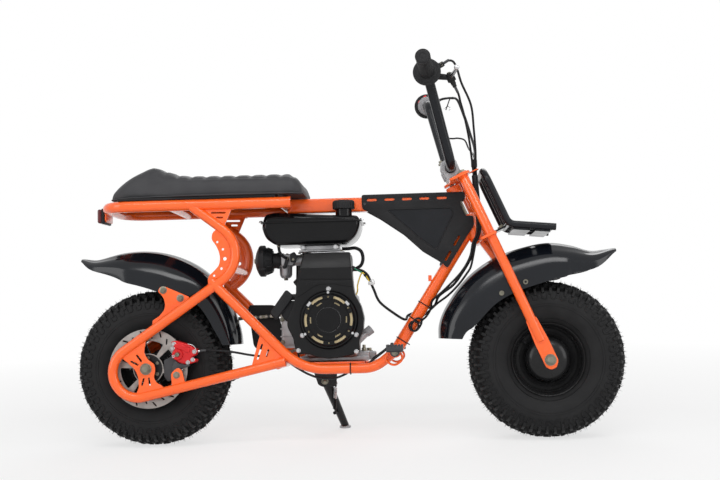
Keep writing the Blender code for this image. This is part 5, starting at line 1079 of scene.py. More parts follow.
def makeSeat(s):
    shape = newShape()
    floor = s["floor"]
    path = smooth([(x, rise, half) for x, rise, half in s["stations"]], 8)
    section = [(p.x, p.z) for p in smooth([(u, 0, v) for u, v in s["section"]], 3)]
    loft(shape, [[Vector((p.x, p.z * u * 0.995, floor + max(p.y, 0.002) * v * 0.985)) for u, v in section] for p in path])
    builder = shape["builder"]
    bmesh.ops.recalc_face_normals(builder, faces=builder.faces)
    mesh = bpy.data.meshes.new("seatPad")
    builder.to_mesh(mesh)
    builder.free()
    pad = bpy.data.objects.new("seatPad", mesh)
    bpy.context.scene.collection.objects.link(pad)
    remesh = pad.modifiers.new("remesh", "REMESH")
    remesh.mode = "VOXEL"
    remesh.voxel_size = 0.005
    bpy.context.view_layer.update()
    even = settled(pad)
    pad.modifiers.clear()
    pad.data = even
    rest = [v.co.copy() for v in even.vertices]
    pinned = pad.vertex_groups.new(name="pinned")
    for v in even.vertices:
        if v.co.z < floor + 0.004:
            pinned.add([v.index], 1.0, "REPLACE")
    cloth = pad.modifiers.new("cloth", "CLOTH")
    cloth.settings.quality = 5
    cloth.settings.mass = 0.4
    cloth.settings.tension_stiffness = 25
    cloth.settings.compression_stiffness = 25
    cloth.settings.use_pressure = True
    cloth.settings.uniform_pressure_force = s["pressure"]
    cloth.settings.effector_weights.gravity = 0.0
    cloth.settings.vertex_group_mass = "pinned"
    cloth.point_cache.frame_start = 1
    cloth.point_cache.frame_end = s["settleFrames"]
    for number in range(1, s["settleFrames"] + 1):
        bpy.context.scene.frame_set(number)
    swollen = settled(pad)
    pad.modifiers.clear()
    for v, start in zip(swollen.vertices, rest):
        moved = v.co - start
        if moved.length > s["mostSwell"]:
            v.co = start + moved.normalized() * s["mostSwell"]
    pad.data = swollen
    bpy.context.scene.frame_set(1)
    softer = pad.modifiers.new("smooth", "SMOOTH")
    softer.factor = 0.6
    softer.iterations = 5
    finer = pad.modifiers.new("finer", "SUBSURF")
    finer.levels = finer.render_levels = 1
    bpy.context.view_layer.update()
    final = settled(pad)
    pad.modifiers.clear()
    pad.vertex_groups.clear()
    # sewn channels across the top, and a seam along each shoulder
    top = {}
    for v in final.vertices:
        key = round(v.co.x / 0.006)
        top[key] = max(top.get(key, 0.0), v.co.z)
    for v in final.vertices:
        key = round(v.co.x / 0.006)
        share = max(0.0, min(1.0, (v.co.z - floor) / max(0.004, top[key] - floor)))
        side = abs(v.co.y) / s["seamHalf"]
        if share > 0.6 and 0.03 < v.co.x < 0.350:
            inside = max(0.0, min(1.0, (0.96 - side) / 0.10))
            v.co.z -= s["pleatDepth"] * pleat(v.co.x, s) * inside * min(1.0, (share - 0.6) / 0.3)
        if 0.80 < side < 1.0 and share > 0.5:
            v.co.z -= 0.0010 * math.exp(-((side - 0.90) / 0.012) ** 2)
        v.co.z = max(v.co.z, floor + 0.0004)
    final.transform(bikeMatrix)
    final.materials.clear()
    final.materials.append(finishes["seatVinyl"])
    final.polygons.foreach_set("use_smooth", [True] * len(final.polygons))
    pad.data = final
    pad.name = "seatPad"
    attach(pad, "frame")
    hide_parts("seat")
    print("made seatPad", len(final.polygons))

    # piping and the folded edge under the cover
    trim = newShape("seatVinyl")
    line = [Vector((p.x, p.z * 0.975, floor + 0.0025)) for p in path[3:-1]]
    back = [Vector((p.x, -p.y, p.z)) for p in reversed(line)]
    tube(trim, line + back, 0.0017, 8, closed=True)
    makePiece("seatEdge", trim, "frame")


makeSeat(seatSettings)

# side panels: moulded covers with slots and a sunk middle
panelSettings = {
    "back": [(0.4905, 0.535), (0.490, 0.567)],
    "front": [(0.0198, 0.0357), (0.0124, 0.0201), (-0.0021, 0.0190), (-0.0039, -0.0148), (0.0135, -0.0230),
              (0.0063, -0.0431), (-0.0238, -0.0622), (-0.0923, -0.1079), (-0.1006, -0.0852), (-0.1263, -0.0477)],
    "low": [(0.5864, 0.473), (0.5319, 0.5111)],
    "slots": [(0.505 + 0.0405 * k, 0.5545, 0.523 + 0.0405 * k, 0.5545) for k in range(5)],
    "slanted": [(0.7130, 0.4635, 0.7020, 0.4450), (0.6918, 0.4287, 0.6810, 0.4110)],
    "pocket": [(0.5500, 0.5300), (0.6960, 0.5300), (0.7000, 0.5175), (0.6595, 0.4360), (0.6220, 0.4650),
               (0.5880, 0.4970)],
}


def makePanel(side, name, node, s):
    shape = newShape("blackPlastic")
    outline = roundCorners(s["back"] + steerSide(s["front"]) + s["low"], 0.005, 3)
    slots = [slotOutline(*e, 0.0055, 4) for e in s["slots"] + s["slanted"]]
    pocket = roundCorners(s["pocket"], 0.006, 4)
    near, far = 0.0183, 0.0213
    plate(shape, [outline, pocket] + slots, *sorted((near * side, far * side)), 0.0008)
    paint(shape, "blackGloss")
    plate(shape, [roundCorners(s["pocket"], 0.004, 3)], *sorted((near * side, (far - 0.0014) * side)), 0.0004)
    # raised frame round the sunk middle
    paint(shape, "blackPlastic")
    middle = Vector((sum(p[0] for p in pocket) / len(pocket), sum(p[1] for p in pocket) / len(pocket)))
    rim = [Vector((p[0], 0, p[1])) + (Vector((p[0] - middle.x, 0, p[1] - middle.y))).normalized() * 0.002 for p in pocket]
    tube(shape, [Vector((p.x, (far - 0.0002) * side, p.z)) for p in rim], 0.0011, 8, closed=True)
    paint(shape, "darkSteel")
    for x, z in ((0.497, 0.5455), (0.6700, 0.4020)):
        hexBolt(shape, (x, far * side, z), (0, side, 0), 0.0062, 0.0018, socket=True)
    makePiece(name, shape, "frame", [node], sharp=35)


makePanel(-1, "sidePanelRight", "side_panel_right", panelSettings)
makePanel(1, "sidePanelLeft", "side_panel_left", panelSettings)
print("seat and panels made")

# fuel tank: two pressed halves with a seam flange, and a filler cap
tankSettings = {
    "side": [(0.2640, 0.507), (0.2615, 0.492), (0.2700, 0.468), (0.2890, 0.4545), (0.300, 0.452), (0.455, 0.452),
             (0.4730, 0.4645), (0.4810, 0.476), (0.4870, 0.494), (0.4865, 0.508), (0.4800, 0.516), (0.4200, 0.5190),
             (0.2945, 0.5275), (0.2700, 0.5230)],
    "half": 0.072,
    "seam": 0.5035,
    "cap": (0.4495, -0.046),
}


def makeTank(s):
    shape = newShape("tankGloss")
    outline = roundCorners(s["side"], 0.010, 5)
    plate(shape, [outline], -s["half"], s["half"], 0.014, rounds=8)
    x0, x1, y = 0.2585, 0.4915, s["half"] + 0.005
    flange = roundCorners(rectangle(x0, -y, x1, y), 0.020, 8)
    plate(shape, [flange], -0.0016, 0.0016, 0.0007, turn=flatTurn(s["seam"]))
    # pressed line along each side over the seam
    for side in (-1, 1):
        tube(shape, smooth([(0.272, side * (s["half"] - 0.0012), 0.5105), (0.30, side * (s["half"] - 0.0008), 0.5125),
                            (0.38, side * (s["half"] - 0.0004), 0.5115), (0.475, side * (s["half"] - 0.0012), 0.5090)], 6),
             0.0012, 8)
    x, y = s["cap"]
    turnedRod(shape, (x, y, 0.505), (x, y, 0.532), [(0, 0.0215), (0.010, 0.0205), (0.014, 0.0190), (0.0265, 0.0190)], 40)
    paint(shape, "brightSteel")
    for end in (0.2590, 0.4905):
        for y in (-0.055, 0.055):
            hexBolt(shape, (end, y, s["seam"] + 0.0016), (0, 0, 1), 0.0075, 0.0030, 0.0050)
    makePiece("fuelTank", shape, "frame", ["fuel_tank"], sharp=32)

    cap = newShape("blackPlastic")
    x, y = s["cap"]
    rings = []
    for h, r, ribbed in ((0.0, 0.0235, 0), (0.0012, 0.0252, 1), (0.0150, 0.0256, 1), (0.0180, 0.0245, 1),
                         (0.0200, 0.0225, 0), (0.0205, 0.0150, 0), (0.0190, 0.0130, 0), (0.0188, 0.004, 0)):
        cut = [r - 0.0009 * ribbed * (k % 4 < 2) for k in range(96)]
        rings.append([Vector((x + c * math.cos(math.pi * k / 48), y + c * math.sin(math.pi * k / 48), 0.532 + h))
                      for k, c in enumerate(cut)])
    loft(cap, rings)
    softBox(cap, (x - 0.018, x + 0.018), (y - 0.0035, y + 0.0035), (0.5495, 0.5530), 0.0010)
    makePiece("fuelCap", cap, "frame", ["fuel_cap"], sharp=30)


makeTank(tankSettings)

# engine: pressed shroud, starter cover, handle
engineSettings = {
    "crank": (0.4145, 0.2785),
    "face": -0.104,
    "back": -0.0585,
    "shroud": [(-0.055, 0.1525), (0.050, 0.1495), (0.0567, 0.0695), (0.0597, 0.0545), (0.0726, 0.0305),
               (0.0790, 0.0035), (0.0757, -0.0265), (0.0677, -0.0445), (0.0660, -0.0765), (0.0280, -0.0835),
               (-0.0010, -0.0870), (-0.0290, -0.0825), (-0.0485, -0.0745), (-0.0710, -0.0760), (-0.0775, -0.0640),
               (-0.0810, -0.0405), (-0.0941, -0.0135), (-0.0940, 0.0045), (-0.0830, 0.0251), (-0.0747, 0.0525),
               (-0.0676, 0.1065)],
    "bolts": [(0.0005, 0.0695), (-0.0605, -0.0335), (0.0605, -0.0345), (-0.070, -0.067), (0.060, -0.072)],
    "opening": 0.0645,
    "fold": 0.118,
    "slope": 0.012,
    "handle": [(0.3185, 0.3500), (0.3365, 0.3330), (0.2950, 0.2800), (0.2798, 0.2966)],
    "guide": [(0.3083, 0.3245), (0.3465, 0.3235), (0.3456, 0.2792), (0.3170, 0.2768), (0.3046, 0.2929)],
}


def makeShroud(s):
    shape = newShape("satinShroud")
    cx, cz = s["crank"]
    (leftX, top), (rightX, topRight) = s["shroud"][:2]
    fold = s["fold"]
    (lowLeft, lowLeftZ), (lowRight, lowRightZ) = s["shroud"][-1], s["shroud"][2]
    leftFold = lowLeft + (leftX - lowLeft) * (fold - lowLeftZ) / (top - lowLeftZ)
    rightFold = rightX + (lowRight - rightX) * (topRight - fold) / (topRight - lowRightZ)
    corners = [(leftFold, fold), (rightFold, fold)] + s["shroud"][2:]
    outline = roundCorners([(cx + x, cz + z) for x, z in corners], 0.006, 4)
    plate(shape, [outline, circleOutline(cx, cz, s["opening"], 72)], s["face"], s["face"] + 0.006, 0.0022, rounds=4)
    plate(shape, [outline, circleOutline(cx, cz, s["opening"], 72)], s["face"] + 0.003, s["back"], 0.0008)
    # the duct over the cylinder stands a little proud, and slopes back over a fold
    duct = [(cx + x, cz + z) for x, z in ((-0.0620, fold), (0.0505, fold), (0.0535, 0.0900), (-0.0640, 0.0930))]
    plate(shape, [roundCorners(duct, 0.003, 3)], s["face"] - 0.0022, s["face"] + 0.004, 0.0010, rounds=3)
    rings = []
    for up, inset in ((0.0, 0.0), (0.10, 0.0), (0.93, 0.0), (0.98, 0.0010), (1.0, 0.0035)):
        left, right = leftFold + (leftX - leftFold) * up, rightFold + (rightX - rightFold) * up
        near = s["face"] - 0.0020 + s["slope"] * up + inset
        level = cz + fold - 0.0005 + (top - fold) * up
        section = roundCorners(rectangle(cx + left + inset, near, cx + right - inset, s["back"]), 0.004, 4)
        rings.append([Vector((a, b, level)) for a, b in section])
    loft(shape, rings)
    lower = [(cx + x, cz + z) for x, z in ((-0.0655, 0.0900), (0.0550, 0.0870), (0.0560, 0.0720), (0.0300, 0.0760),
                                           (0.0150, 0.0800), (-0.0150, 0.0800), (-0.0300, 0.0765), (-0.0720, 0.0500))]
    plate(shape, [roundCorners(lower, 0.004, 3)], s["face"] - 0.0012, s["face"] + 0.004, 0.0010)
    # row of small vents under the duct
    paint(shape, "blackPlastic")
    for k in range(5):
        plate(shape, [slotOutline(cx - 0.049 + 0.0052 * k, cz + 0.0800, cx - 0.047 + 0.0052 * k, cz + 0.0855, 0.0022)],
              s["face"] - 0.0022, s["face"] - 0.0008, 0.0003)
    paint(shape, "satinShroud")
    tube(shape, [(0.345, -0.084, 0.332), (0.3225, -0.084, 0.332)], 0.007, 20)
    lathe(shape, [(s["opening"] + 0.0012, s["face"] - 0.0002), (s["opening"] + 0.0005, s["face"] - 0.0018),
                  (s["opening"] - 0.0004, s["face"] - 0.0002), (s["opening"] - 0.0004, s["face"] + 0.002),
                  (s["opening"] + 0.0012, s["face"] + 0.002)], (cx, cz), 96)
    paint(shape, "brightSteel")
    for x, z in s["bolts"]:
        hexBolt(shape, (cx + x, s["face"] + 0.0004, cz + z), (0, -1, 0), 0.0072, 0.0034, 0.0052)
    makePiece("engineShroud", shape, "frame", ["engine_shroud"], sharp=35)

    handle = newShape("blackPlastic")
    plate(handle, [roundCorners(s["handle"], 0.007, 5)], -0.0995, -0.0855, 0.0045, rounds=4)
    plate(handle, [roundCorners(s["guide"], 0.005, 4)], -0.0885, -0.0650, 0.0025, rounds=3)
    for k in range(4):
        x, z = 0.3190 - 0.0075 * k, 0.3290 - 0.0095 * k
        plate(handle, [slotOutline(x - 0.0050, z + 0.0047, x + 0.0050, z - 0.0047, 0.0018)], -0.1001, -0.0990, 0.0003)
    makePiece("recoilHandle", handle, "frame", ["recoil_handle"], sharp=35)


makeShroud(engineSettings)


def makeFanCover(s):
    shape = newShape("tankGloss")
    cx, cz = s["crank"]
    front, mouth = s["face"] - 0.014, s["back"] - 0.032
    middle = 0.0265
    r = s["opening"] - 0.0004
    # the cup's side and stepped shoulder
    lathe(shape, [(r, s["back"] - 0.0004), (r, front + 0.0085), (r - 0.0012, front + 0.0068), (r - 0.0042, front + 0.0060),
                  (r - 0.0052, front + 0.0035), (r - 0.0058, front + 0.0015), (r - 0.0072, front + 0.0002),
                  (r - 0.0090, front), (r - 0.0090, front + 0.0030), (r - 0.0075, front + 0.0034),
                  (r - 0.0075, mouth), (r - 0.0035, mouth), (r - 0.0035, s["back"] - 0.0004)], (cx, cz), 120)
    slots = []
    for k in range(6):
        slots.append(arcOutline((cx, cz), 0.0487, 0.0545, 60 * k - 16, 60 * k + 16, 10))
        slots.append(arcOutline((cx, cz), 0.0388, 0.0418, 60 * k - 10, 60 * k + 10, 8))
    slots += [circleOutline(x, z, 0.0020, 16) for x, z in ringPlaces((cx, cz), 0.0515, 6, 30)]
    slots = [roundCorners(o, 0.0012, 2) if len(o) > 18 else o for o in slots]
    plate(shape, [circleOutline(cx, cz, r - 0.0085, 96)] + slots, front, front + 0.0030, 0.0005)
    # pressed rings, and a raised plain disc in the middle
    for radius in (0.0462, 0.0570):
        lathe(shape, [(radius - 0.0007, front + 0.0002), (radius, front - 0.0008), (radius + 0.0007, front + 0.0002)],
              (cx, cz), 96)
    plate(shape, [circleOutline(cx, cz, middle + 0.0075, 72)], front - 0.0012, front + 0.001, 0.0006, rounds=3)
    plate(shape, [circleOutline(cx, cz, middle, 72)], front - 0.0026, front + 0.001, 0.0009, rounds=3)
    paint(shape, "brightSteel")
    # the bright steel tabs at 40 and 140 degrees are painted highlights, put where the lamps glint on the cup's
    # shoulders
    for a in (40, 140):
        at = Vector((math.cos(math.radians(a)), math.sin(math.radians(a))))
        across = Vector((-at.y, at.x))
        centre = Vector((cx, cz)) + at * 0.0560
        tab = [centre + across * b + at * c for b, c in rectangle(-0.0055, -0.0030, 0.0055, 0.0030)]
        plate(shape, [roundCorners([tuple(p) for p in tab], 0.001)], front - 0.0010, front + 0.0010, 0.0003)
    lathe(shape, [(middle + 0.0004, front - 0.0011), (middle + 0.0010, front - 0.0020), (middle + 0.0016, front - 0.0011)],
          (cx, cz), 96)
    for x, z in ringPlaces((cx, cz), 0.0612, 3, 90):
        hexBolt(shape, (x, front + 0.0062, z), (0, -1, 0), 0.0062, 0.0030)
    makePiece("fanCover", shape, "frame", ["fan_cover"], sharp=32)
    # the pulley and spring case seen through the slots
    inner = newShape("fanBeige")
    lathe(inner, [(0.0010, front + 0.0042), (0.0562, front + 0.0042), (0.0562, front + 0.0160), (0.0010, front + 0.0160)],
          (cx, cz), 72)
    makePiece("starterCase", inner, "frame")


makeFanCover(engineSettings)
print("tank and shroud made")

# clamps, handlebar and stem
steeringSettings = {
    "bar": 0.0111,
    "thick": 0.006,
    "barEnd": (0.0384, 0.318, 0.3039),
    "shoulder": (0.0438, 0.160, 0.2863),
    "elbow": 0.100,
    "centre": (0.012, 0.0985),
    "lower": (-0.083, -0.001, 0.040),
    "upper": (0.066, -0.007, 0.043),
    "half": 0.113,
    "ring": (0.0565, -0.062, 0.0090, 0.0016),
    "stay": (0.004, 0.0145, 0.005, 0.016),
}


def clampPlate(shape, level, back, front, s):
    half = s["half"]
    outline = [(back, -half), (front - 0.004, -half), (front, -half + 0.012), (front - 0.004, 0.0),
               (front, half - 0.012), (front - 0.004, half), (back, half), (back, 0.028), (-0.012, 0.019),
               (-0.0185, 0.009), (-0.0185, -0.009), (-0.012, -0.019), (back, -0.028)]
    plate(shape, [roundCorners(outline, 0.008), circleOutline(0, 0, 0.0058, 24)],
          -s["thick"] / 2, s["thick"] / 2, 0.0010, turn=steerTurn(level))
    for side in (-1, 1):
        y = forkHalf * side
        for sign in (-1, 1):
            base = level + sign * s["thick"] / 2
            roundedRod(shape, steer(forkOffset, y, base), steer(forkOffset, y, base + sign * 0.0022), 0.0128, 0.0008, 32)


def makeClamps(s):
    lower = newShape("orangePaint")
    level, back, front = s["lower"]
    clampPlate(lower, level, back, front, s)
    top, foot, half, deep = s["stay"]
    crownLine = [Vector((wheelbase + (axleHeight + gap) * math.cos(math.radians(a)), 0,
                         axleHeight + (axleHeight + gap) * math.sin(math.radians(a))))
                 for a, gap, wide, skirt in fenderSettings["front"]]
    ahead = [((p - steerMiddle).dot(steerForward), (p - steerMiddle).dot(steerUp)) for p in crownLine]
    low = -0.095
    for (fb, ub), (fa, ua) in zip(ahead, ahead[1:]):
        if fb <= foot <= fa:
            low = ub + (ua - ub) * (foot - fb) / (fa - fb)
    rings = []
    for f, u in ((top, level), (foot, low - 0.0005)):
        rings.append([steer(f + a, b, u) for a, b in roundCorners(rectangle(-half, -deep, half, deep), 0.003, 3)])
    loft(lower, rings)
    makePiece("lowerClamp", lower, "steering", ["lower_clamp"], sharp=35)

    upper = newShape("orangePaint")
    level, back, front = s["upper"]
    clampPlate(upper, level, back, front, s)
    f, y, radius, wire = s["ring"]
    eye = [steer(a, b, level) for a, b in circleOutline(f, y, radius)]
    tube(upper, eye, wire, 12, closed=True)
    tube(upper, [steer(front - 0.008, y, level), steer(f - radius, y, level)], wire, 12)
    paint(upper, "zincBolt")
    for side in (-1, 1):
        hexBolt(upper, steer(forkOffset, forkHalf * side, level + 0.0050), steerUp, 0.0160, 0.0042, 0.0110)
    makePiece("upperClamp", upper, "steering", ["upper_clamp"], sharp=35)

    stem = newShape("zincBolt")
    tube(stem, [steer(0, 0, -0.0797), steer(0, 0, 0.077)], 0.0055, 24)
    hexBolt(stem, steer(0, 0, 0.0694), steerUp, 0.0170, 0.0074)
    makePiece("steeringStem", stem, "steering", ["steering_stem"])

    # riser: two cast posts on a foot, each with a bolted cap over the bar
    riser = newShape("castAlloy")
    f, u = s["centre"]
    foot = s["upper"][0] + s["thick"] / 2 + fitGap
    base = roundCorners(steerSide(rectangle(f - 0.020, foot, f + 0.018, foot + 0.0065)), 0.002)
    for low, high in ((0.0105, 0.036), (-0.036, -0.0105)):
        plate(riser, [base], low, high, 0.0010)
    middle = steer(f, 0, u)
    hole = circleOutline(middle.x, middle.z, s["bar"] + 0.0002, 40)
    whole = [(f - 0.0195, foot + 0.004), (f + 0.0175, foot + 0.004), (f + 0.0185, u - 0.004), (f + 0.0190, u + 0.013),
             (f + 0.0120, u + 0.0215), (f - 0.0140, u + 0.0215), (f - 0.0210, u + 0.0120), (f - 0.0205, u - 0.004)]
    for low, high in ((-0.034, -0.014), (0.014, 0.034)):
        plate(riser, [roundCorners(steerSide(whole), 0.005), hole], low, high, 0.0016, rounds=3)
        for edge in (low + 0.0045, high - 0.0045):
            tube(riser, [steer(f - 0.0212, edge, u + 0.001), steer(f - 0.0212, edge, u - 0.018)], 0.0016, 10)
    paint(riser, "zincBolt")
    for y in (-0.024, 0.024):
        for a in (f - 0.0145, f + 0.0135):
            hexBolt(riser, steer(a, y, u + 0.0212), steerUp, 0.0085, 0.0045, socket=True)
    makePiece("handlebarClamp", riser, "steering", ["handlebar_clamp"], sharp=35)

    bar = newShape("blackGloss")
    half = [steer(*s["barEnd"]), steer(*s["shoulder"]), Vector((middle.x, s["elbow"], middle.z))]
    corners = [Vector((p.x, -p.y, p.z)) for p in half] + half[::-1]
    tube(bar, bend(corners, [0.030, 0.035, 0.035, 0.030], 4), s["bar"], 32)
    makePiece("handlebar", bar, "steering", ["handlebar"])


makeClamps(steeringSettings)

# grips, throttle, switch and brake lever
controlSettings = {
    "gripRadius": 0.0160,
    "gripLength": 0.118,
    "flange": 0.031,
    "flangeThick": 0.005,
    "housing": 0.023,
    "housingWide": 0.017,
    "nose": (0.0415, 0.005),
    "pivot": (0.0858, -0.186, 0.2620),
    "exit": 0.2388,
    "blade": [(0.0858, -0.190, 0.2620), (0.0902, -0.206, 0.2624), (0.0940, -0.225, 0.2625), (0.0965, -0.246, 0.2620),
              (0.0979, -0.266, 0.2613)],
    "ball": 0.0058,
}


def barLine(side):
    outer = steer(*(steeringSettings["barEnd"][0], steeringSettings["barEnd"][1] * side, steeringSettings["barEnd"][2]))
    inner = steer(steeringSettings["shoulder"][0], steeringSettings["shoulder"][1] * side, steeringSettings["shoulder"][2])
    return outer, (outer - inner).normalized()


def makeGrip(side, name, node, s):
    outer, along = barLine(side)
    end = outer + along * 0.0035
    inner = end - along * s["gripLength"]
    shape = newShape("gripRubber")
    r = s["gripRadius"]
    profile = [(0, 0.0), (0.0012, 0.0060), (0.0002, 0.0075), (0.0, 0.0120), (0.0010, r - 0.0012), (0.0025, r + 0.0004),
               (0.0060, r + 0.0004), (0.0066, r - 0.0006)]
    at = 0.009
    while at < s["gripLength"] - 0.016:
        profile += [(at, r - 0.0008), (at + 0.0004, r), (at + 0.0022, r), (at + 0.0026, r - 0.0008)]
        at += 0.0040
    length = s["gripLength"]
    profile += [(length - 0.0100, r), (length - 0.0065, r + 0.0012), (length - 0.0052, r + 0.0040),
                (length - 0.0046, 0.0240), (length - 0.0052, 0.0262), (length - 0.0048, s["flange"] - 0.0018),
                (length - 0.0036, s["flange"] - 0.0003), (length - 0.0018, s["flange"] - 0.0003),
                (length - 0.0004, s["flange"] - 0.0018), (length, 0.0240), (length, 0.0120), (length, 0.0)]
    turnedRod(shape, end, inner, profile, 56)
    makePiece(name, shape, "steering", [node], sharp=32)


makeGrip(-1, "gripRight", "grip_right", controlSettings)
makeGrip(1, "gripLeft", "grip_left", controlSettings)


def housingRod(shape, start, along, s):
    # Two clamped halves with a parting groove.
    w, r = s["housingWide"], s["housing"]
    turnedRod(shape, start, start - along * w, [(0, 0.012), (0.0002, r - 0.0025), (0.0010, r - 0.0008), (0.0028, r),
                                                (w / 2 - 0.0006, r), (w / 2 - 0.0003, r - 0.0008),
                                                (w / 2 + 0.0003, r - 0.0008), (w / 2 + 0.0006, r), (w - 0.0028, r),
                                                (w - 0.0010, r - 0.0008), (w - 0.0002, r - 0.0025), (w, 0.012)], 48)


def makeControls(s):
    outer, along = barLine(-1)
    start = outer + along * (0.0035 - s["gripLength"] - 0.0003)
    throttle = newShape("blackPlastic")
    housingRod(throttle, start, along, s)
    root = start - along * s["housingWide"] / 2
    tip = root + steerForward * s["nose"][0] + steerUp * s["nose"][1]
    reach = (tip - root).normalized()
    length = (tip - root).length
    turnedRod(throttle, root, tip, [(0, 0.0085), (0.028, 0.0080), (0.0300, 0.0060), (0.0380, 0.0058),
                                    (length - 0.0006, 0.0058), (length, 0.0052)], 28)
    lobe = [(0.006, 0.020), (0.026, 0.0145), (0.0335, 0.0085), (0.0335, -0.0010), (0.026, -0.0060), (0.004, -0.0200)]
    base = (root - steerMiddle).dot(steerForward), (root - steerMiddle).dot(steerUp)
    plate(throttle, [roundCorners(steerSide([(base[0] + a, base[1] + b) for a, b in lobe]), 0.005)],
          root.y - s["housingWide"] / 2 + 0.001, root.y + s["housingWide"] / 2 - 0.001, 0.0025, rounds=3)
    paint(throttle, "zincBolt")
    roundedRod(throttle, tip - reach * 0.0075, tip - reach * 0.0030, 0.0062, 0.0005, 6)
    for a, b in ((0.004, 0.0165), (0.006, -0.0160)):
        hexBolt(throttle, root + steerForward * a + steerUp * b + along * 0.0086, along, 0.0050, 0.0016, socket=True)
    makePiece("throttleHousing", throttle, "steering", ["throttle_housing"], sharp=35)

    # brake lever on its perch
    lever = newShape("blackPlastic")
    near = start - along * (s["housingWide"] + 0.0003)
    roundedRod(lever, near, near - along * 0.014, 0.0165, 0.0015, 40)
    f, y, u = s["pivot"]
    pivot = steer(f, y, u)
    middle = near - along * 0.007
    for k, (r0, r1) in enumerate(((0.0075, 0.0068),)):
        turnedRod(lever, middle, pivot, [(0, r0), (0.012, r0), (0.030, r1), ((pivot - middle).length, r1 - 0.0006)], 24)
    roundedRod(lever, steer(f, y, u + 0.0095), steer(f, y, u - 0.0095), 0.0095, 0.0015, 32)
    turnedRod(lever, steer(f, y, u), steer(f, y, s["exit"]), [(0, 0.0060), (0.0165, 0.0058), (0.0170, 0.0048),
                                                              (0.0232, 0.0046)], 24)
    paint(lever, "brightSteel")
    path = smooth([steer(*p) for p in s["blade"]], 6)
    rings = []
    for k, (here, (step, side, other)) in enumerate(zip(path, frameAlong(path))):
        t = k / (len(path) - 1)
        flat = steerForward - step * steerForward.dot(step)
        flat.normalize()
        tall = step.cross(flat)
        rings.append([here + flat * 0.0030 * (1 - 0.2 * t) * math.cos(a) + tall * 0.0054 * (1 - 0.25 * t) * math.sin(a)
                      for a in (2 * math.pi * j / 20 for j in range(20))])
    loft(lever, rings)
    centre = path[-1] + Vector((0, -0.004, 0))
    r = s["ball"]
    turnedRod(lever, centre - Vector((0, r, 0)), centre + Vector((0, r, 0)),
              [(r - r * math.cos(math.pi * k / 12), r * math.sin(math.pi * k / 12)) for k in range(13)], 24)
    paint(lever, "zincBolt")
    hexBolt(lever, steer(f, y, u + 0.0094), steerUp, 0.0085, 0.0030, socket=True)
    hexBolt(lever, steer(f, y, u - 0.0094), -steerUp, 0.0080, 0.0030)
    hexBolt(lever, middle - steerForward * 0.0150 + steerUp * 0.004, -steerForward, 0.0070, 0.0030, socket=True)
    makePiece("brakeLever", lever, "steering", ["brake_lever"], sharp=35)

    # stop switch
    outer, along = barLine(1)
    start = outer + along * (0.0035 - s["gripLength"] - 0.0003)
    switch = newShape("greyPlastic")
    housingRod(switch, start, along, s)
    middle = start - along * s["housingWide"] / 2
    out = steerForward * 0.0226
    roundedRod(switch, middle + steerForward * 0.015, middle + out, 0.0055, 0.0008, 24)
    paint(switch, "redButton")
    for turn in (78, 128):
        a = math.radians(turn)
        way = steerForward * math.cos(a) + steerUp * math.sin(a)
        roundedRod(switch, middle + way * 0.0215, middle + way * (0.0262 if turn == 78 else 0.0242), 0.0042, 0.0010, 24)
    makePiece("killSwitch", switch, "steering", ["kill_switch"], sharp=35)


makeControls(controlSettings)

# front rack
rackSettings = {"top": (0.0727, 0.0567), "turn": (0.0731, -0.0776), "front": (0.1654, -0.1286), "half": 0.085,
                "tube": 0.008, "cross": 0.0065, "inner": 0.0055,
                "foot": [(0.018, -0.030), (0.074, -0.040), (0.074, 0.040), (0.018, 0.030)],
                "plates": [(0.10, 0.50), (0.62, 0.97)]}


def makeRack(s):
    shape = newShape("blackGloss")
    y = s["half"]
    corners = [steer(s["front"][0], -y, s["front"][1]), steer(s["turn"][0], -y, s["turn"][1]),
               steer(s["top"][0], -y, s["top"][1])]
    corners += [Vector((p.x, y, p.z)) for p in reversed(corners)]
    tube(shape, bend(corners, [0.022, 0.030, 0.030, 0.022], 5), s["tube"], 24)
    front, turn, top = (steer(f, 0, u) for f, u in (s["front"], s["turn"], s["top"]))
    front = front.lerp(turn, 0.08)
    for p in (front, turn + Vector((0, 0, 0.002))):
        tube(shape, [(p.x, -y, p.z), (p.x, y, p.z)], s["cross"], 20)
    for inner in (-y / 3, y / 3):
        rail = [Vector((p.x, inner, p.z)) for p in (front, turn, top)]
        tube(shape, bend(rail, [0.02], 6), s["inner"], 18)
    # two dark plates under the deck
    deck = (front - turn).normalized()
    under = Vector((-deck.z, 0, deck.x)) * -0.0085
    reach = (front - turn).length
    for t0, t1 in s["plates"]:
        p, half = turn.lerp(front, (t0 + t1) / 2) + under, reach * (t1 - t0) / 2
        loft(shape, [[p + deck * a + Vector((0, b, 0)) + Vector((-deck.z, 0, deck.x)) * c
                      for a, b in roundCorners([(-half, -y + 0.002), (half, -y + 0.002), (half, y - 0.002),
                                                (-half, y - 0.002)], 0.003, 2)] for c in (-0.0036, 0.0036)])
    seat = s["foot"]
    plate(shape, [roundCorners(seat, 0.006)], -0.002, 0.002, 0.0008, turn=steerTurn(-0.0777))
    paint(shape, "zincBolt")
    for f, b in ((0.060, -0.026), (0.060, 0.026)):
        hexBolt(shape, steer(f, b, -0.0757), steerUp, 0.0095, 0.0045, 0.0070)
    makePiece("frontRack", shape, "steering", ["front_rack"], sharp=35)


makeRack(rackSettings)
print("steering made")


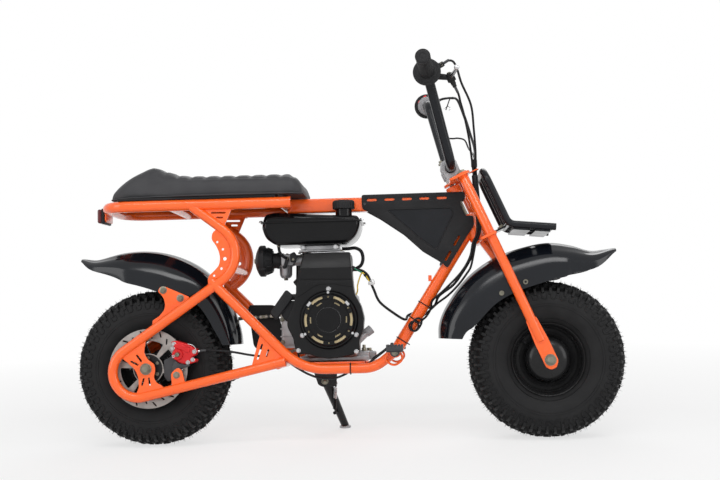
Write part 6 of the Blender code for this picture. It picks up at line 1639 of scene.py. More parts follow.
# engine castings behind the shroud
def makeEngine(s):
    cx, cz = s["crank"]
    shape = newShape("castAlloy")
    softBox(shape, (cx - 0.062, cx + 0.062), (-0.0578, 0.056), (0.1927, 0.3385), 0.008, 4)
    softBox(shape, (cx - 0.074, cx + 0.086), (-0.050, 0.050), (0.1847, 0.1967), 0.0025)
    softBox(shape, (cx - 0.036, cx + 0.028), (-0.042, 0.042), (0.3285, 0.4320), 0.003)
    for k in range(9):
        z = 0.3480 + 0.0088 * k
        softBox(shape, (cx - 0.044, cx + 0.036), (-0.050, 0.050), (z, z + 0.0022), 0.0008)
    softBox(shape, (cx - 0.044, cx + 0.036), (-0.050, 0.050), (0.4270, 0.4360), 0.0025)
    # mounting foot with its stud, and the casting behind the crank
    softBox(shape, (0.4700, 0.5010), (-0.046, -0.012), (0.1850, 0.2065), 0.0030, 3)
    softBox(shape, (0.4700, 0.5135), (0.012, 0.046), (0.1850, 0.2050), 0.0030, 3)
    softBox(shape, (0.3000, 0.3560), (-0.046, 0.034), (0.2170, 0.2950), 0.0060, 3)
    for k in range(4):
        softBox(shape, (0.2975, 0.3540), (-0.046, 0.034), (0.2240 + 0.0175 * k, 0.2275 + 0.0175 * k), 0.0012)
    for k in range(3):
        z = 0.225 + 0.035 * k
        roundedRod(shape, (cx - 0.040 + 0.040 * k, 0.052, 0.322), (cx - 0.040 + 0.040 * k, 0.062, 0.322), 0.007, 0.001, 20)
        roundedRod(shape, (cx - 0.045 + 0.045 * k, 0.052, 0.205), (cx - 0.045 + 0.045 * k, 0.062, 0.205), 0.007, 0.001, 20)
    roundedRod(shape, (cx, 0.045, cz), (cx, 0.064, cz), 0.050, 0.003, 56)
    # filler neck
    start, toward = Vector((cx + 0.052, -0.030, cz - 0.052)), Vector((0.80, 0, 0.60))
    turnedRod(shape, start, start + toward * 0.036, [(0, 0.0125), (0.010, 0.0112), (0.0115, 0.0105), (0.0320, 0.0085),
                                                     (0.0325, 0.0095), (0.0350, 0.0095)], 36)
    paint(shape, "greyPlastic")
    rings = []
    across = Vector((0, 1, 0))
    other = toward.cross(across)
    for d, r in ((0.0340, 0.0080), (0.0345, 0.0102), (0.0485, 0.0106), (0.0500, 0.0098), (0.0507, 0.0080),
                 (0.0502, 0.0070), (0.0502, 0.0015)):
        rings.append([start + toward * d + (across * math.cos(2 * math.pi * k / 72) + other * math.sin(2 * math.pi * k / 72))
                      * (r - (0.0008 if k % 6 < 2 and r > 0.010 else 0)) for k in range(72)])
    loft(shape, rings)
    paint(shape, "zincBolt")
    roundedRod(shape, (0.4880, -0.029, 0.2055), (0.4880, -0.029, 0.2205), 0.0036, 0.0006, 20)
    hexBolt(shape, (0.4880, -0.029, 0.2065), (0, 0, 1), 0.0110, 0.0060, 0.0085)
    hexBolt(shape, (0.4970, 0.029, 0.2050), (0, 0, 1), 0.0110, 0.0060, 0.0085)
    for y in (-0.036, 0.036):
        for x in (cx - 0.034, cx + 0.026):
            hexBolt(shape, (x, y, 0.4358), (0, 0, 1), 0.0080, 0.0040, socket=True)
    for z in (0.2300, 0.2830):
        hexBolt(shape, (0.3030, -0.0458, z), (0, -1, 0), 0.0080, 0.0035, 0.0056)
        hexBolt(shape, (0.2998, -0.010, z), (-1, 0, 0), 0.0080, 0.0035, 0.0056)
    makePiece("engineBlock", shape, "frame", ["engine_block"], sharp=35)

    stay = newShape("castAlloy")
    softBox(stay, (0.345, 0.440), (-0.050, 0.050), (0.4363, 0.4400), 0.0010)
    softBox(stay, (0.350, 0.435), (-0.047, 0.047), (0.4385, 0.4517), 0.0030, 3)
    paint(stay, "brightSteel")
    for x in (0.3540, 0.4290):
        hexBolt(stay, (x, -0.0490, 0.4455), (0, -1, 0), 0.0090, 0.0035, 0.0060)
    makePiece("tankStay", stay, "frame", ["tank_stay"], sharp=35)


makeEngine(engineSettings)


def makeFuelSystem():
    x, y, z = 0.324, -0.002, 0.420
    shape = newShape("castAlloy")
    turnedRod(shape, (0.3003, y, z), (0.3700, y, z), [(0, 0.0172), (0.0040, 0.0172), (0.0048, 0.0135), (0.0200, 0.0125),
                                                      (0.0500, 0.0125), (0.0640, 0.0150), (0.0697, 0.0170)], 36)
    softBox(shape, (0.3650, 0.3700), (-0.024, 0.020), (0.402, 0.438), 0.0012)
    softBox(shape, (0.3560, 0.3610), (-0.022, 0.018), (0.404, 0.436), 0.0012)
    softBox(shape, (0.2985, 0.3300), (-0.019, 0.015), (0.407, 0.434), 0.0030, 3)
    bowl = 0.3085
    turnedRod(shape, (bowl, y, 0.4085), (bowl, y, 0.3780), [(0, 0.0170), (0.0030, 0.0170), (0.0036, 0.0150),
                                                            (0.0220, 0.0144), (0.0270, 0.0125), (0.0300, 0.0085),
                                                            (0.0305, 0.002)], 36)
    roundedRod(shape, (0.3170, -0.020, 0.4235), (0.3170, -0.030, 0.4235), 0.0055, 0.0008, 20)
    paint(shape, "zincBolt")
    hexBolt(shape, (bowl, y, 0.3782), (0, 0, -1), 0.0090, 0.0045)
    hexBolt(shape, (0.3420, -0.0125, 0.4340), (0, 0, 1), 0.0058, 0.0040, socket=True)
    for a in (-0.012, 0.008):
        hexBolt(shape, (0.3130, a, 0.4340), (0, 0, 1), 0.0050, 0.0020, socket=True)
    tube(shape, [(0.330, -0.042, z), (0.330, 0.0298, z)], 0.0026, 16)
    tube(shape, coil((0.330, -0.036, z), (0.330, -0.0215, z), 0.0052, 6), 0.0007, 8)
    tube(shape, coil((0.3420, -0.0205, 0.4290), (0.3540, -0.0205, 0.4290), 0.0032, 7), 0.0006, 8)
    hexBolt(shape, (0.3560, -0.0205, 0.4290), (1, 0, 0), 0.0070, 0.0030)
    paint(shape, "blackPlastic")
    plate(shape, [roundCorners([(0.3240, 0.4130), (0.3360, 0.4130), (0.3400, 0.4270), (0.3330, 0.4380), (0.3220, 0.4330)],
                               0.003)], -0.0400, -0.0372, 0.0006)
    plate(shape, [roundCorners([(0.3050, 0.4020), (0.3130, 0.3990), (0.3210, 0.4250), (0.3130, 0.4290)], 0.003)],
          -0.0330, -0.0302, 0.0006)
    roundedRod(shape, (0.3085, -0.033, 0.4030), (0.3085, -0.041, 0.4030), 0.0040, 0.0010, 20)
    makePiece("carburettor", shape, "frame", ["carburettor"], sharp=35)

    # fuel line with its clips
    hose = newShape("cableRubber")
    line = smooth([(0.2965, -0.038, 0.4560), (0.2970, -0.0385, 0.4480), (0.2990, -0.0400, 0.4380), (0.3050, -0.0390, 0.4290),
                   (0.3120, -0.0345, 0.4245), (0.3170, -0.0270, 0.4235)], 6)
    tube(hose, line, 0.0034, 16)
    paint(hose, "zincBolt")
    for k in (3, len(line) - 5):
        way = (line[k + 1] - line[k]).normalized()
        roundedRod(hose, line[k], line[k] + way * 0.0030, 0.0042, 0.0005, 20)
    makePiece("fuelLine", hose, "frame")

    cleaner = newShape("blackPlastic")
    turnedRod(cleaner, (0.2380, y, z), (0.2997, y, z),
              [(0.0010, 0.0), (0.0006, 0.0080), (0.0, 0.0100), (0.0022, 0.0190), (0.0055, 0.0270), (0.0090, 0.0335),
               (0.0108, 0.0358), (0.0130, 0.0365), (0.0220, 0.0365), (0.0232, 0.0355), (0.0238, 0.0318), (0.0262, 0.0308),
               (0.0400, 0.0250), (0.0414, 0.0240), (0.0424, 0.0180), (0.0500, 0.0176), (0.0505, 0.0190), (0.0560, 0.0190),
               (0.0565, 0.0176), (0.0617, 0.0172)], 72)
    for k in range(12):
        a = 2 * math.pi * k / 12
        way = Vector((0, math.cos(a), math.sin(a)))
        tube(cleaner, [Vector((0.2660, y, z)) + way * 0.0312, Vector((0.2785, y, z)) + way * 0.0262], 0.0013, 8)
    for k in range(4):
        a = 2 * math.pi * k / 4 + 0.6
        way = Vector((0, math.cos(a), math.sin(a)))
        softBox(cleaner, (0.2480, 0.2640), tuple(sorted((y + way.y * 0.0345 - 0.0030, y + way.y * 0.0345 + 0.0030))),
                tuple(sorted((z + way.z * 0.0345 - 0.0030, z + way.z * 0.0345 + 0.0030))), 0.0008)
    paint(cleaner, "zincBolt")
    hexBolt(cleaner, (0.2384, y, z), (-1, 0, 0), 0.0100, 0.0022, 0.0070)
    makePiece("airFilter", cleaner, "frame", ["air_filter"], sharp=32)

    silencer = newShape("blackPaint")
    softBox(silencer, (0.330, 0.460), (0.0503, 0.1015), (0.362, 0.440), 0.010, 5)
    slots = [slotOutline(0.348 + 0.0135 * k, 0.378, 0.348 + 0.0135 * k, 0.424, 0.0050) for k in range(8)]
    plate(silencer, [roundCorners([(0.336, 0.368), (0.454, 0.368), (0.454, 0.434), (0.336, 0.434)], 0.008)] + slots,
          0.1012, 0.1038, 0.0008)
    tube(silencer, smooth([(0.345, 0.078, 0.380), (0.332, 0.080, 0.376), (0.322, 0.084, 0.368)], 5), 0.0085, 24, capped=False)
    tube(silencer, smooth([(0.345, 0.078, 0.380), (0.332, 0.080, 0.376), (0.3225, 0.0838, 0.3685)], 5), 0.0070, 24, capped=True)
    paint(silencer, "zincBolt")
    for x, z in ((0.3400, 0.3720), (0.4500, 0.3720), (0.3400, 0.4300), (0.4500, 0.4300)):
        hexBolt(silencer, (x, 0.1037, z), (0, 1, 0), 0.0070, 0.0025, socket=True)
    makePiece("muffler", silencer, "frame", ["muffler"], sharp=35)


makeFuelSystem()
print("engine made")

# chain, sprockets and clutch
driveSettings = {"pitch": 0.0127, "large": 49, "small": 11, "y": 0.0849, "crank": (0.4145, 0.2785), "thick": 0.0045,
                 "hub": 0.0655}


def gear(centre, teeth, y, thick, shape, holes, s):
    pitchRadius = s["pitch"] / 2 / math.sin(math.pi / teeth)
    outline = []
    for k in range(teeth):
        for part, change in ((0.0, -0.0040), (0.16, -0.0034), (0.32, -0.0005), (0.43, 0.0026), (0.57, 0.0026),
                             (0.68, -0.0005), (0.84, -0.0034)):
            a = 2 * math.pi * (k + part) / teeth
            r = pitchRadius + change
            outline.append((centre[0] + r * math.cos(a), centre[1] + r * math.sin(a)))
    plate(shape, [outline] + holes, y - thick / 2, y + thick / 2, 0.0004, rounds=1)


def makeDrive(s):
    wheel = Vector((0.0, axleHeight))
    crank = Vector(s["crank"])
    large, small = (s["pitch"] / 2 / math.sin(math.pi / s[k]) for k in ("large", "small"))
    sprocket = newShape("darkSteel")
    holes = [roundCorners(arcOutline(wheel, 0.0425, 0.0785, 60 * k - 20, 60 * k + 20, 8), 0.006, 4) for k in range(6)]
    holes.append(circleOutline(0, axleHeight, 0.0090, 24))
    gear(wheel, s["large"], s["y"], s["thick"], sprocket, holes, s)
    lathe(sprocket, [(0.0088, s["hub"]), (0.0290, s["hub"]), (0.0300, s["hub"] + 0.001), (0.0300, s["y"] - 0.0020),
                     (0.0088, s["y"] - 0.0020)], wheel, 56)
    paint(sprocket, "zincBolt")
    for x, z in ringPlaces(wheel, 0.0230, 6, 30):
        hexBolt(sprocket, (x, s["y"] + s["thick"] / 2, z), (0, 1, 0), 0.0080, 0.0038, socket=True)
    makePiece("rearSprocket", sprocket, "rear_wheel", ["rear_sprocket"], sharp=32)

    clutch = newShape("darkSteel")
    lathe(clutch, [(0.0088, 0.0643), (0.0385, 0.0643), (0.0400, 0.0655), (0.0400, 0.0760), (0.0385, 0.0775),
                   (0.0150, 0.0775), (0.0145, 0.0969), (0.0088, 0.0969)], crank, 64)
    gear(crank, s["small"], s["y"], s["thick"], clutch, [circleOutline(crank.x, crank.y, 0.0100, 24)], s)
    paint(clutch, "zincBolt")
    hexBolt(clutch, (crank.x, 0.0965, crank.y), (0, 1, 0), 0.0140, 0.0030, 0.0098)
    for x, z in ringPlaces(crank, 0.029, 3):
        hexBolt(clutch, (x, 0.0774, z), (0, 1, 0), 0.0060, 0.0015, socket=True)
    makePiece("clutch", clutch, "frame", ["clutch"], sharp=32)

    # the chain's path, walked in equal steps
    reach = crank - wheel
    tilt = math.atan2(reach.y, reach.x)
    spread = math.acos((large - small) / reach.length)
    loop = []
    for centre, radius, start, turn, steps in ((wheel, large, tilt + spread, 2 * math.pi - 2 * spread, 160),
                                               (crank, small, tilt - spread, 2 * spread, 40)):
        for k in range(steps + 1):
            a = start + turn * k / steps
            loop.append(centre + Vector((math.cos(a), math.sin(a))) * radius)
    lengths = [0.0]
    for a, b in zip(loop, loop[1:] + loop[:1]):
        lengths.append(lengths[-1] + (b - a).length)
    count = 2 * round(lengths[-1] / s["pitch"] / 2)
    pins = []
    for k in range(count):
        distance = lengths[-1] * k / count
        j = max(i for i in range(len(loop)) if lengths[i] <= distance)
        t = (distance - lengths[j]) / max(1e-9, lengths[j + 1] - lengths[j])
        pins.append(loop[j].lerp(loop[(j + 1) % len(loop)], t))
    chain = newShape()
    for k, pin in enumerate(pins):
        after = pins[(k + 1) % count]
        along = (after - pin).normalized()
        across = Vector((-along.y, along.x))
        outline = []
        for centre, way in ((after, 1), (pin, -1)):
            for j in range(7):
                a = math.radians(-80 + 160 * j / 6)
                outline.append(centre + along * way * 0.0043 * math.cos(a) + across * way * 0.0043 * math.sin(a))
            outline.append((pin + after) / 2 + across * way * 0.0030)
        outline = [(p.x, p.y) for p in outline]
        offset = 0.0032 if k % 2 else 0.0043
        paint(chain, "darkSteel" if k % 2 else "zincBolt")
        for side in (-1, 1):
            low, high = sorted((s["y"] + side * offset, s["y"] + side * (offset + 0.0010)))
            loft(chain, [[Vector((a, y, b)) for a, b in outline] for y in (low, high)])
        paint(chain, "brightSteel")
        tube(chain, [(pin.x, s["y"] - 0.0055, pin.y), (pin.x, s["y"] + 0.0055, pin.y)], 0.0016, 8)
        tube(chain, [(pin.x, s["y"] - 0.0030, pin.y), (pin.x, s["y"] + 0.0030, pin.y)], 0.0038, 10)
    makePiece("chain", chain, "frame", ["chain"], sharp=32)


makeDrive(driveSettings)

# a dark guard over the chain's front run, seen between the fender and the pull handle
guardSettings = {"outline": [(0.2050, 0.3190), (0.2700, 0.3175), (0.2960, 0.2210), (0.2700, 0.2060), (0.2180, 0.2180)],
                 "low": 0.0930, "high": 0.0950, "bolts": [(0.2250, 0.3080), (0.2780, 0.2340)]}


def makeGuard(s):
    shape = newShape("blackPlastic")
    plate(shape, [roundCorners(s["outline"], 0.010)], s["low"], s["high"], 0.0006)
    tube(shape, [Vector((x, s["low"], z)) for x, z in roundCorners(s["outline"], 0.010)], 0.0016, 8, closed=True)
    paint(shape, "zincBolt")
    for x, z in s["bolts"]:
        hexBolt(shape, (x, s["high"], z), (0, 1, 0), 0.0080, 0.0035, 0.0060)
    makePiece("chainGuard", shape, "frame")


makeGuard(guardSettings)


# axles, calliper and its bracket
def makeAxle(name, node, x, inside, body):
    shape = newShape("zincBolt")
    head = inside + 0.0003
    tube(shape, [(x, -head - 0.010, axleHeight), (x, head + 0.010, axleHeight)], 0.0074, 28)
    for side in (-1, 1):
        start = Vector((x, side * head, axleHeight))
        way = Vector((0, side, 0))
        turnedRod(shape, start, start + way * 0.0022, [(0, 0.0130), (0.0016, 0.0130), (0.0022, 0.0122)], 36)
        rings = []
        for d, r in ((0.0018, 0.0100), (0.0026, 0.0108), (0.0082, 0.0108), (0.0092, 0.0096), (0.0092, 0.0078)):
            rings.append([start + way * d + Vector((math.cos(math.pi * k / 3), 0, math.sin(math.pi * k / 3))) * r
                          for k in range(6)])
        loft(shape, rings)
        turnedRod(shape, start + way * 0.008, start + way * 0.0130, [(0, 0.0074), (0.0040, 0.0074), (0.0050, 0.0062)], 28)
    makePiece(name, shape, body, [node], sharp=30)


makeAxle("frontAxle", "front_axle", wheelbase, forkHalf + 0.003, "steering")
makeAxle("rearAxle", "rear_axle", 0.0, loopHalf + 0.0025, "frame")

calliperSettings = {
    "outline": [(0.0545, 0.060), (0.0661, 0.063), (0.0963, 0.053), (0.1170, 0.040), (0.1121, 0.0287),
                (0.1000, 0.0235), (0.1142, 0.0195), (0.1119, 0.0128), (0.0909, 0.0075), (0.0740, 0.0110),
                (0.0620, 0.0205), (0.0635, 0.039)],
    "hub": (0.0705, 0.2088),
    "bolts": [(0.0621, 0.2330), (0.0590, 0.2226), (0.0620, 0.2053), (0.1085, 0.2145), (0.1045, 0.1965),
              (0.0935, 0.1905)],
    "bracket": [(0.060, 0.168), (0.076, 0.176), (0.098, 0.1822), (0.098, 0.1846), (0.0909, 0.1851), (0.0745, 0.1882),
                (0.0650, 0.1952), (0.058, 0.180)],
    "shield": [(0.0370, 0.1960), (0.0560, 0.2060), (0.0700, 0.1900), (0.0700, 0.1740), (0.0640, 0.1560), (0.0460, 0.1480),
               (0.0370, 0.1600)],
}


def makeCalliper(s):
    shape = newShape("redAnodised")
    outline = roundCorners([(x, axleHeight + z) for x, z in s["outline"]], 0.005, 4)
    disc = rearWheelSettings["discY"]
    plate(shape, [outline], disc - 0.016, disc - 0.003, 0.0030, rounds=4)
    plate(shape, [outline], disc + 0.003, disc + 0.009, 0.0020, rounds=3)
    outer = [(x, axleHeight + z) for x, z in ((0.0780, 0.0600), (0.0963, 0.0530), (0.1170, 0.0400), (0.1121, 0.0300),
                                              (0.0960, 0.0380), (0.0780, 0.0500))]
    plate(shape, [roundCorners(outer, 0.004)], disc - 0.014, disc + 0.008, 0.0020)
    raised = [(x, axleHeight + z) for x, z in ((0.0590, 0.0560), (0.0800, 0.0540), (0.1010, 0.0440), (0.0960, 0.0330),
                                               (0.0820, 0.0400), (0.0660, 0.0460))]
    plate(shape, [roundCorners(raised, 0.004)], disc - 0.0185, disc - 0.010, 0.0015)
    hub = s["hub"]
    lathe(shape, [(0.0125, disc - 0.010), (0.0125, disc - 0.0185), (0.0115, disc - 0.0200), (0.0090, disc - 0.0200),
                  (0.0084, disc - 0.0190), (0.0060, disc - 0.0190), (0.0060, disc - 0.010)], hub, 48)
    # the cable's arm and its clamp
    paint(shape, "zincBolt")
    hexBolt(shape, (hub[0], disc - 0.0188, hub[1]), (0, -1, 0), 0.0100, 0.0040, socket=True)
    paint(shape, "brightSteel")
    for x, z in s["bolts"]:
        hexBolt(shape, (x, disc - 0.0158, z), (0, -1, 0), 0.0072, 0.0040, 0.0050, socket=True)
    tube(shape, smooth([(0.0960, disc - 0.0190, 0.2320), (0.1040, disc - 0.0205, 0.2300), (0.1110, disc - 0.0200, 0.2240),
                        (0.1130, disc - 0.0190, 0.2170)], 5), 0.0009, 8)
    roundedRod(shape, (0.1190, -0.0890, 0.2157), (0.1060, -0.0920, 0.2140), 0.0030, 0.0006, 18)
    makePiece("brakeCalliper", shape, "frame", ["brake_calliper"], sharp=35)

    bracket = newShape("darkSteel")
    plate(bracket, [roundCorners(s["bracket"], 0.002)], -loopHalf + 0.0023, disc - 0.0060, 0.0010)
    plate(bracket, [roundCorners(s["shield"], 0.003)], disc - 0.0062, disc - 0.0036, 0.0005)
    makePiece("calliperBracket", bracket, "frame", ["calliper_bracket"], sharp=35)


makeCalliper(calliperSettings)
print("drive and brake made")

# pegs, mounts and cross tubes
pegSettings = {"place": (0.562, 0.204), "bar": 0.0127, "root": 0.128, "end": 0.200}


def makePegs(s):
    x, z = s["place"]
    bar = newShape("orangePaint")
    roundedRod(bar, (x, -s["root"], z), (x, s["root"], z), s["bar"], 0.0012, 32)
    for side in (-1, 1):
        y = (s["root"] - 0.0036) * side
        corners = [(x - 0.006, y, z + 0.006), (x - 0.028, y, z - 0.014), (x - 0.004, y, z - 0.032),
                   (x + 0.019, y, z - 0.016), (x + 0.004, y, z + 0.008)]
        tube(bar, bend(corners, [0.010, 0.016, 0.012], 8), 0.0026, 14)
    makePiece("footpegBar", bar, "frame", ["footpeg_bar"])
    for side, name, node in ((-1, "footpegRight", "footpeg_right"), (1, "footpegLeft", "footpeg_left")):
        shape = newShape("darkSteel")
        near, far = s["root"] + 0.0003, s["end"]
        low, high = sorted((near * side, far * side))
        # two toothed rails and toothed ends round an open middle
        count = 6
        teeth = []
        for k in range(count):
            a = x - 0.018 + 0.036 * k / count
            teeth += [(a + 0.0006, z + 0.0125), (a + 0.0016, z + 0.0170), (a + 0.0044, z + 0.0170), (a + 0.0054, z + 0.0125)]
        tooth = [(x - 0.018, z + 0.001)] + teeth + [(x + 0.018, z + 0.001)]
        for a, b in ((low, low + 0.0040), (high - 0.0040, high), ((low + high) / 2 - 0.002, (low + high) / 2 + 0.002)):
            plate(shape, [tooth], a, b, 0.0004, rounds=1)
        for edge in (-0.018, 0.0145):
            rail = [(low, z + 0.001), (low, z + 0.0125)]
            outline = [(low, z + 0.001)]
            for k in range(12):
                a = low + (high - low) * k / 12
                step = (high - low) / 12
                outline += [(a + step * 0.1, z + 0.0125), (a + step * 0.28, z + 0.0170), (a + step * 0.72, z + 0.0170),
                            (a + step * 0.9, z + 0.0125)]
            outline.append((high, z + 0.001))
            plate(shape, [outline], 0.0, 0.0035, 0.0004, rounds=1,
                  turn=Matrix(((0, 0, 1, x + edge + 0.00175), (1, 0, 0, 0), (0, 1, 0, 0), (0, 0, 0, 1))))
        softBox(shape, (x - 0.0165, x + 0.0165), (low, high), (z + 0.0010, z + 0.0050), 0.001)
        roundedRod(shape, (x, near * side, z), (x, (far - 0.010) * side, z), 0.010, 0.001, 28)
        paint(shape, "zincBolt")
        hexBolt(shape, (x, (far - 0.0105) * side, z), (0, side, 0), 0.0100, 0.0040, 0.0070)
        makePiece(name, shape, "frame", [node], sharp=32)


makePegs(pegSettings)


def makeFrameFittings():
    shape = newShape("orangePaint")
    slots = [slotOutline(x, side * 0.036, x, side * 0.044, 0.0085) for x in (0.375, 0.455) for side in (-1, 1)]
    plate(shape, [roundCorners([(0.345, -0.096), (0.492, -0.096), (0.492, 0.096), (0.345, 0.096)], 0.006)] + slots,
          -0.002, 0.002, 0.0008, turn=flatTurn(0.1824))
    for side in (-1, 1):
        for low, high in ((0.350, 0.395), (0.430, 0.488)):
            weldBead(shape, [(low, side * 0.0970, 0.1815), ((low + high) / 2, side * 0.0975, 0.1812),
                             (high, side * 0.0970, 0.1815)], 0.0014)
    paint(shape, "zincBolt")
    for x in (0.375, 0.455):
        for side in (-1, 1):
            hexBolt(shape, (x, side * 0.04, 0.1804), (0, 0, -1), 0.0120, 0.0060, 0.0090)
    makePiece("engineMount", shape, "frame", ["engine_mount"], sharp=35)
    for x, z, name, node in ((0.196, 0.400, "crossTubeUpper", "cross_tube_upper"),
                             (0.296, 0.180, "crossTubeLower", "cross_tube_lower")):
        bar = newShape("orangePaint")
        tube(bar, [(x, -0.0956, z), (x, 0.0956, z)], 0.0095, 28)
        makePiece(name, bar, "frame", [node])
    back = -0.095 - 0.0127
    bracket = newShape("orangePaint")
    turn = Matrix(((0, 0, 1, back - 0.00215), (1, 0, 0, 0), (0, 1, 0, 0), (0, 0, 0, 1)))
    plate(bracket, [roundCorners([(-0.030, 0.520), (0.030, 0.520), (0.030, 0.560), (-0.030, 0.560)], 0.008),
                    circleOutline(0, 0.552, 0.0035, 20)], 0.0, 0.0037, 0.0006, turn=turn)
    paint(bracket, "zincBolt")
    for y in (-0.022, 0.022):
        hexBolt(bracket, (back - 0.0003, y, 0.5530), (1, 0, 0), 0.0070, 0.0030)
    makePiece("tailLightBracket", bracket, "frame", ["tail_light_bracket"], sharp=35)
    lamp = newShape("blackPlastic")
    softBox(lamp, (back - 0.0120, back - 0.0043), (-0.032, 0.032), (0.516, 0.552), 0.002, 3)
    paint(lamp, "darkLens")
    softBox(lamp, (back - 0.0220, back - 0.0110), (-0.0305, 0.0305), (0.5175, 0.5505), 0.0045, 4)
    for k in range(7):
        softBox(lamp, (back - 0.0226, back - 0.0215), (-0.026, 0.026), (0.5215 + 0.0040 * k, 0.5225 + 0.0040 * k), 0.0004)
    makePiece("tailLight", lamp, "frame", ["tail_light"], sharp=35)


makeFrameFittings()

# side stand
standSettings = {
    "pivot": (0.387, 0.080, 0.137),
    "foot": (0.4262, 0.1838, 0.0212),
    "folded": (0.230, 0.104, 0.117),
    "tilt": 31.0,
    "eye": 0.026,
    "eyeRadius": 0.014,
    "leg": (0.0125, 0.0092),
    "sole": (0.014, 0.006),
    "springTop": (0.4110, 0.0985, 0.1284),
    "springLow": (0.4050, 0.1240, 0.0560),
    "bracket": [(-0.016, -0.010), (-0.006, -0.016), (0.008, -0.017), (0.024, -0.016), (0.028, -0.004),
                (0.030, 0.060), (-0.030, 0.060)],
}


def makeStand(s):
    pivot, foot = Vector(s["pivot"]), Vector(s["foot"])
    swing = foot - Vector(s["folded"])
    tilt = math.radians(s["tilt"])
    axis = Vector((0, math.cos(tilt), math.sin(tilt)))
    axis.x = -(swing.y * axis.y + swing.z * axis.z) / swing.x
    axis.normalize()
    start = pivot + axis * s["eye"] / 2
    floor = lambda y: (y * 0.078459 + 0.00094) / 0.996917
    leg = newShape("blackPaint")
    roundedRod(leg, pivot, pivot + axis * s["eye"], s["eyeRadius"], 0.0015, 36)
    wide, narrow = s["leg"]
    length = (foot - start).length
    turnedRod(leg, start, foot, [(0, wide), (length * 0.3, wide - 0.0010), (length * 0.97, narrow), (length, narrow)], 32)
    low = Vector(s["springLow"])
    hook = start.lerp(foot, (start.z - low.z) / (start.z - foot.z))
    tube(leg, [hook, low], 0.0027, 14)
    roundedRod(leg, low - (low - hook).normalized() * 0.0018, low, 0.0042, 0.0006, 18)
    radius, thick = s["sole"]
    paint(leg, "castAlloy")
    rings = []
    for lift, grow in ((0.0, -0.0012), (0.0012, 0.0), (thick - 0.0015, 0.0), (thick, -0.0015)):
        rings.append([Vector((foot.x + (radius + grow) * math.cos(a), foot.y + (radius + grow) * math.sin(a),
                              floor(foot.y + (radius + grow) * math.sin(a)) + lift))
                      for a in (2 * math.pi * k / 32 for k in range(32))])
    loft(leg, rings)
    paint(leg, "zincBolt")
    hexBolt(leg, pivot + axis * (s["eye"] - 0.0004), axis, 0.0130, 0.0050, 0.0105)
    makePiece("sideStand", leg, "side_stand", ["side_stand"], sharp=38)

    rise = (Vector((0, 0, 1)) - axis * axis.z).normalized()
    along = axis.cross(rise).normalized()
    back = pivot - axis * (0.0003 + 0.005)
    holder = newShape("blackPaint")
    turn = Matrix(((along.x, rise.x, axis.x, 0), (along.y, rise.y, axis.y, 0), (along.z, rise.z, axis.z, 0), (0, 0, 0, 1)))
    turn.translation = back + axis * 0.0025
    outline = [(a, min(b, 0.040)) for a, b in s["bracket"]]
    plate(holder, [roundCorners(outline, 0.005), circleOutline(0, 0, 0.0052, 20)], 0.0, 0.005, 0.0008, turn=turn)
    paint(holder, "orangePaint")
    softBox(holder, (pivot.x - 0.030, pivot.x + 0.030), (pivot.y - 0.040, pivot.y - 0.005), (0.1761, 0.1801), 0.001)
    paint(holder, "blackPaint")
    top = Vector(s["springTop"])
    pin = top - axis * ((top - back).dot(axis) - 0.0025)
    tube(holder, [pin, top + axis * 0.003], 0.0027, 16)
    roundedRod(holder, top + axis * 0.0020, top + axis * 0.0034, 0.0045, 0.0005, 18)
    paint(holder, "zincBolt")
    hexBolt(holder, back + axis * 0.0002, -axis, 0.0110, 0.0050, 0.0085)
    makePiece("standBracket", holder, "frame", ["stand_bracket"], sharp=38)

    spring = newShape()
    pull = (low - top).normalized()
    paint(spring, "brightSteel")
    length = (low - top).length
    first, last = top + pull * 0.0100, low - pull * 0.0100
    middle = first.lerp(last, 0.5)
    tube(spring, coil(first, middle, 0.0036, 12, 12), 0.0010, 8)
    tube(spring, smooth([top + axis * 0.0015 - pull * 0.0030, top + Vector((0.0040, 0, 0)) + axis * 0.001,
                         top + pull * 0.0060 + Vector((0.0020, 0, 0)), first], 5), 0.0010, 8)
    paint(spring, "blackPaint")
    tube(spring, coil(middle, last, 0.0036, 12, 12), 0.0010, 8)
    tube(spring, smooth([last, low - pull * 0.0060 + Vector((0.0020, 0, 0)), low + Vector((0.0040, 0, 0)),
                         low + pull * 0.0032], 5), 0.0010, 8)
    makePiece("standSpring", spring, "side_stand", ["stand_spring"])


makeStand(standSettings)
print("stand made")

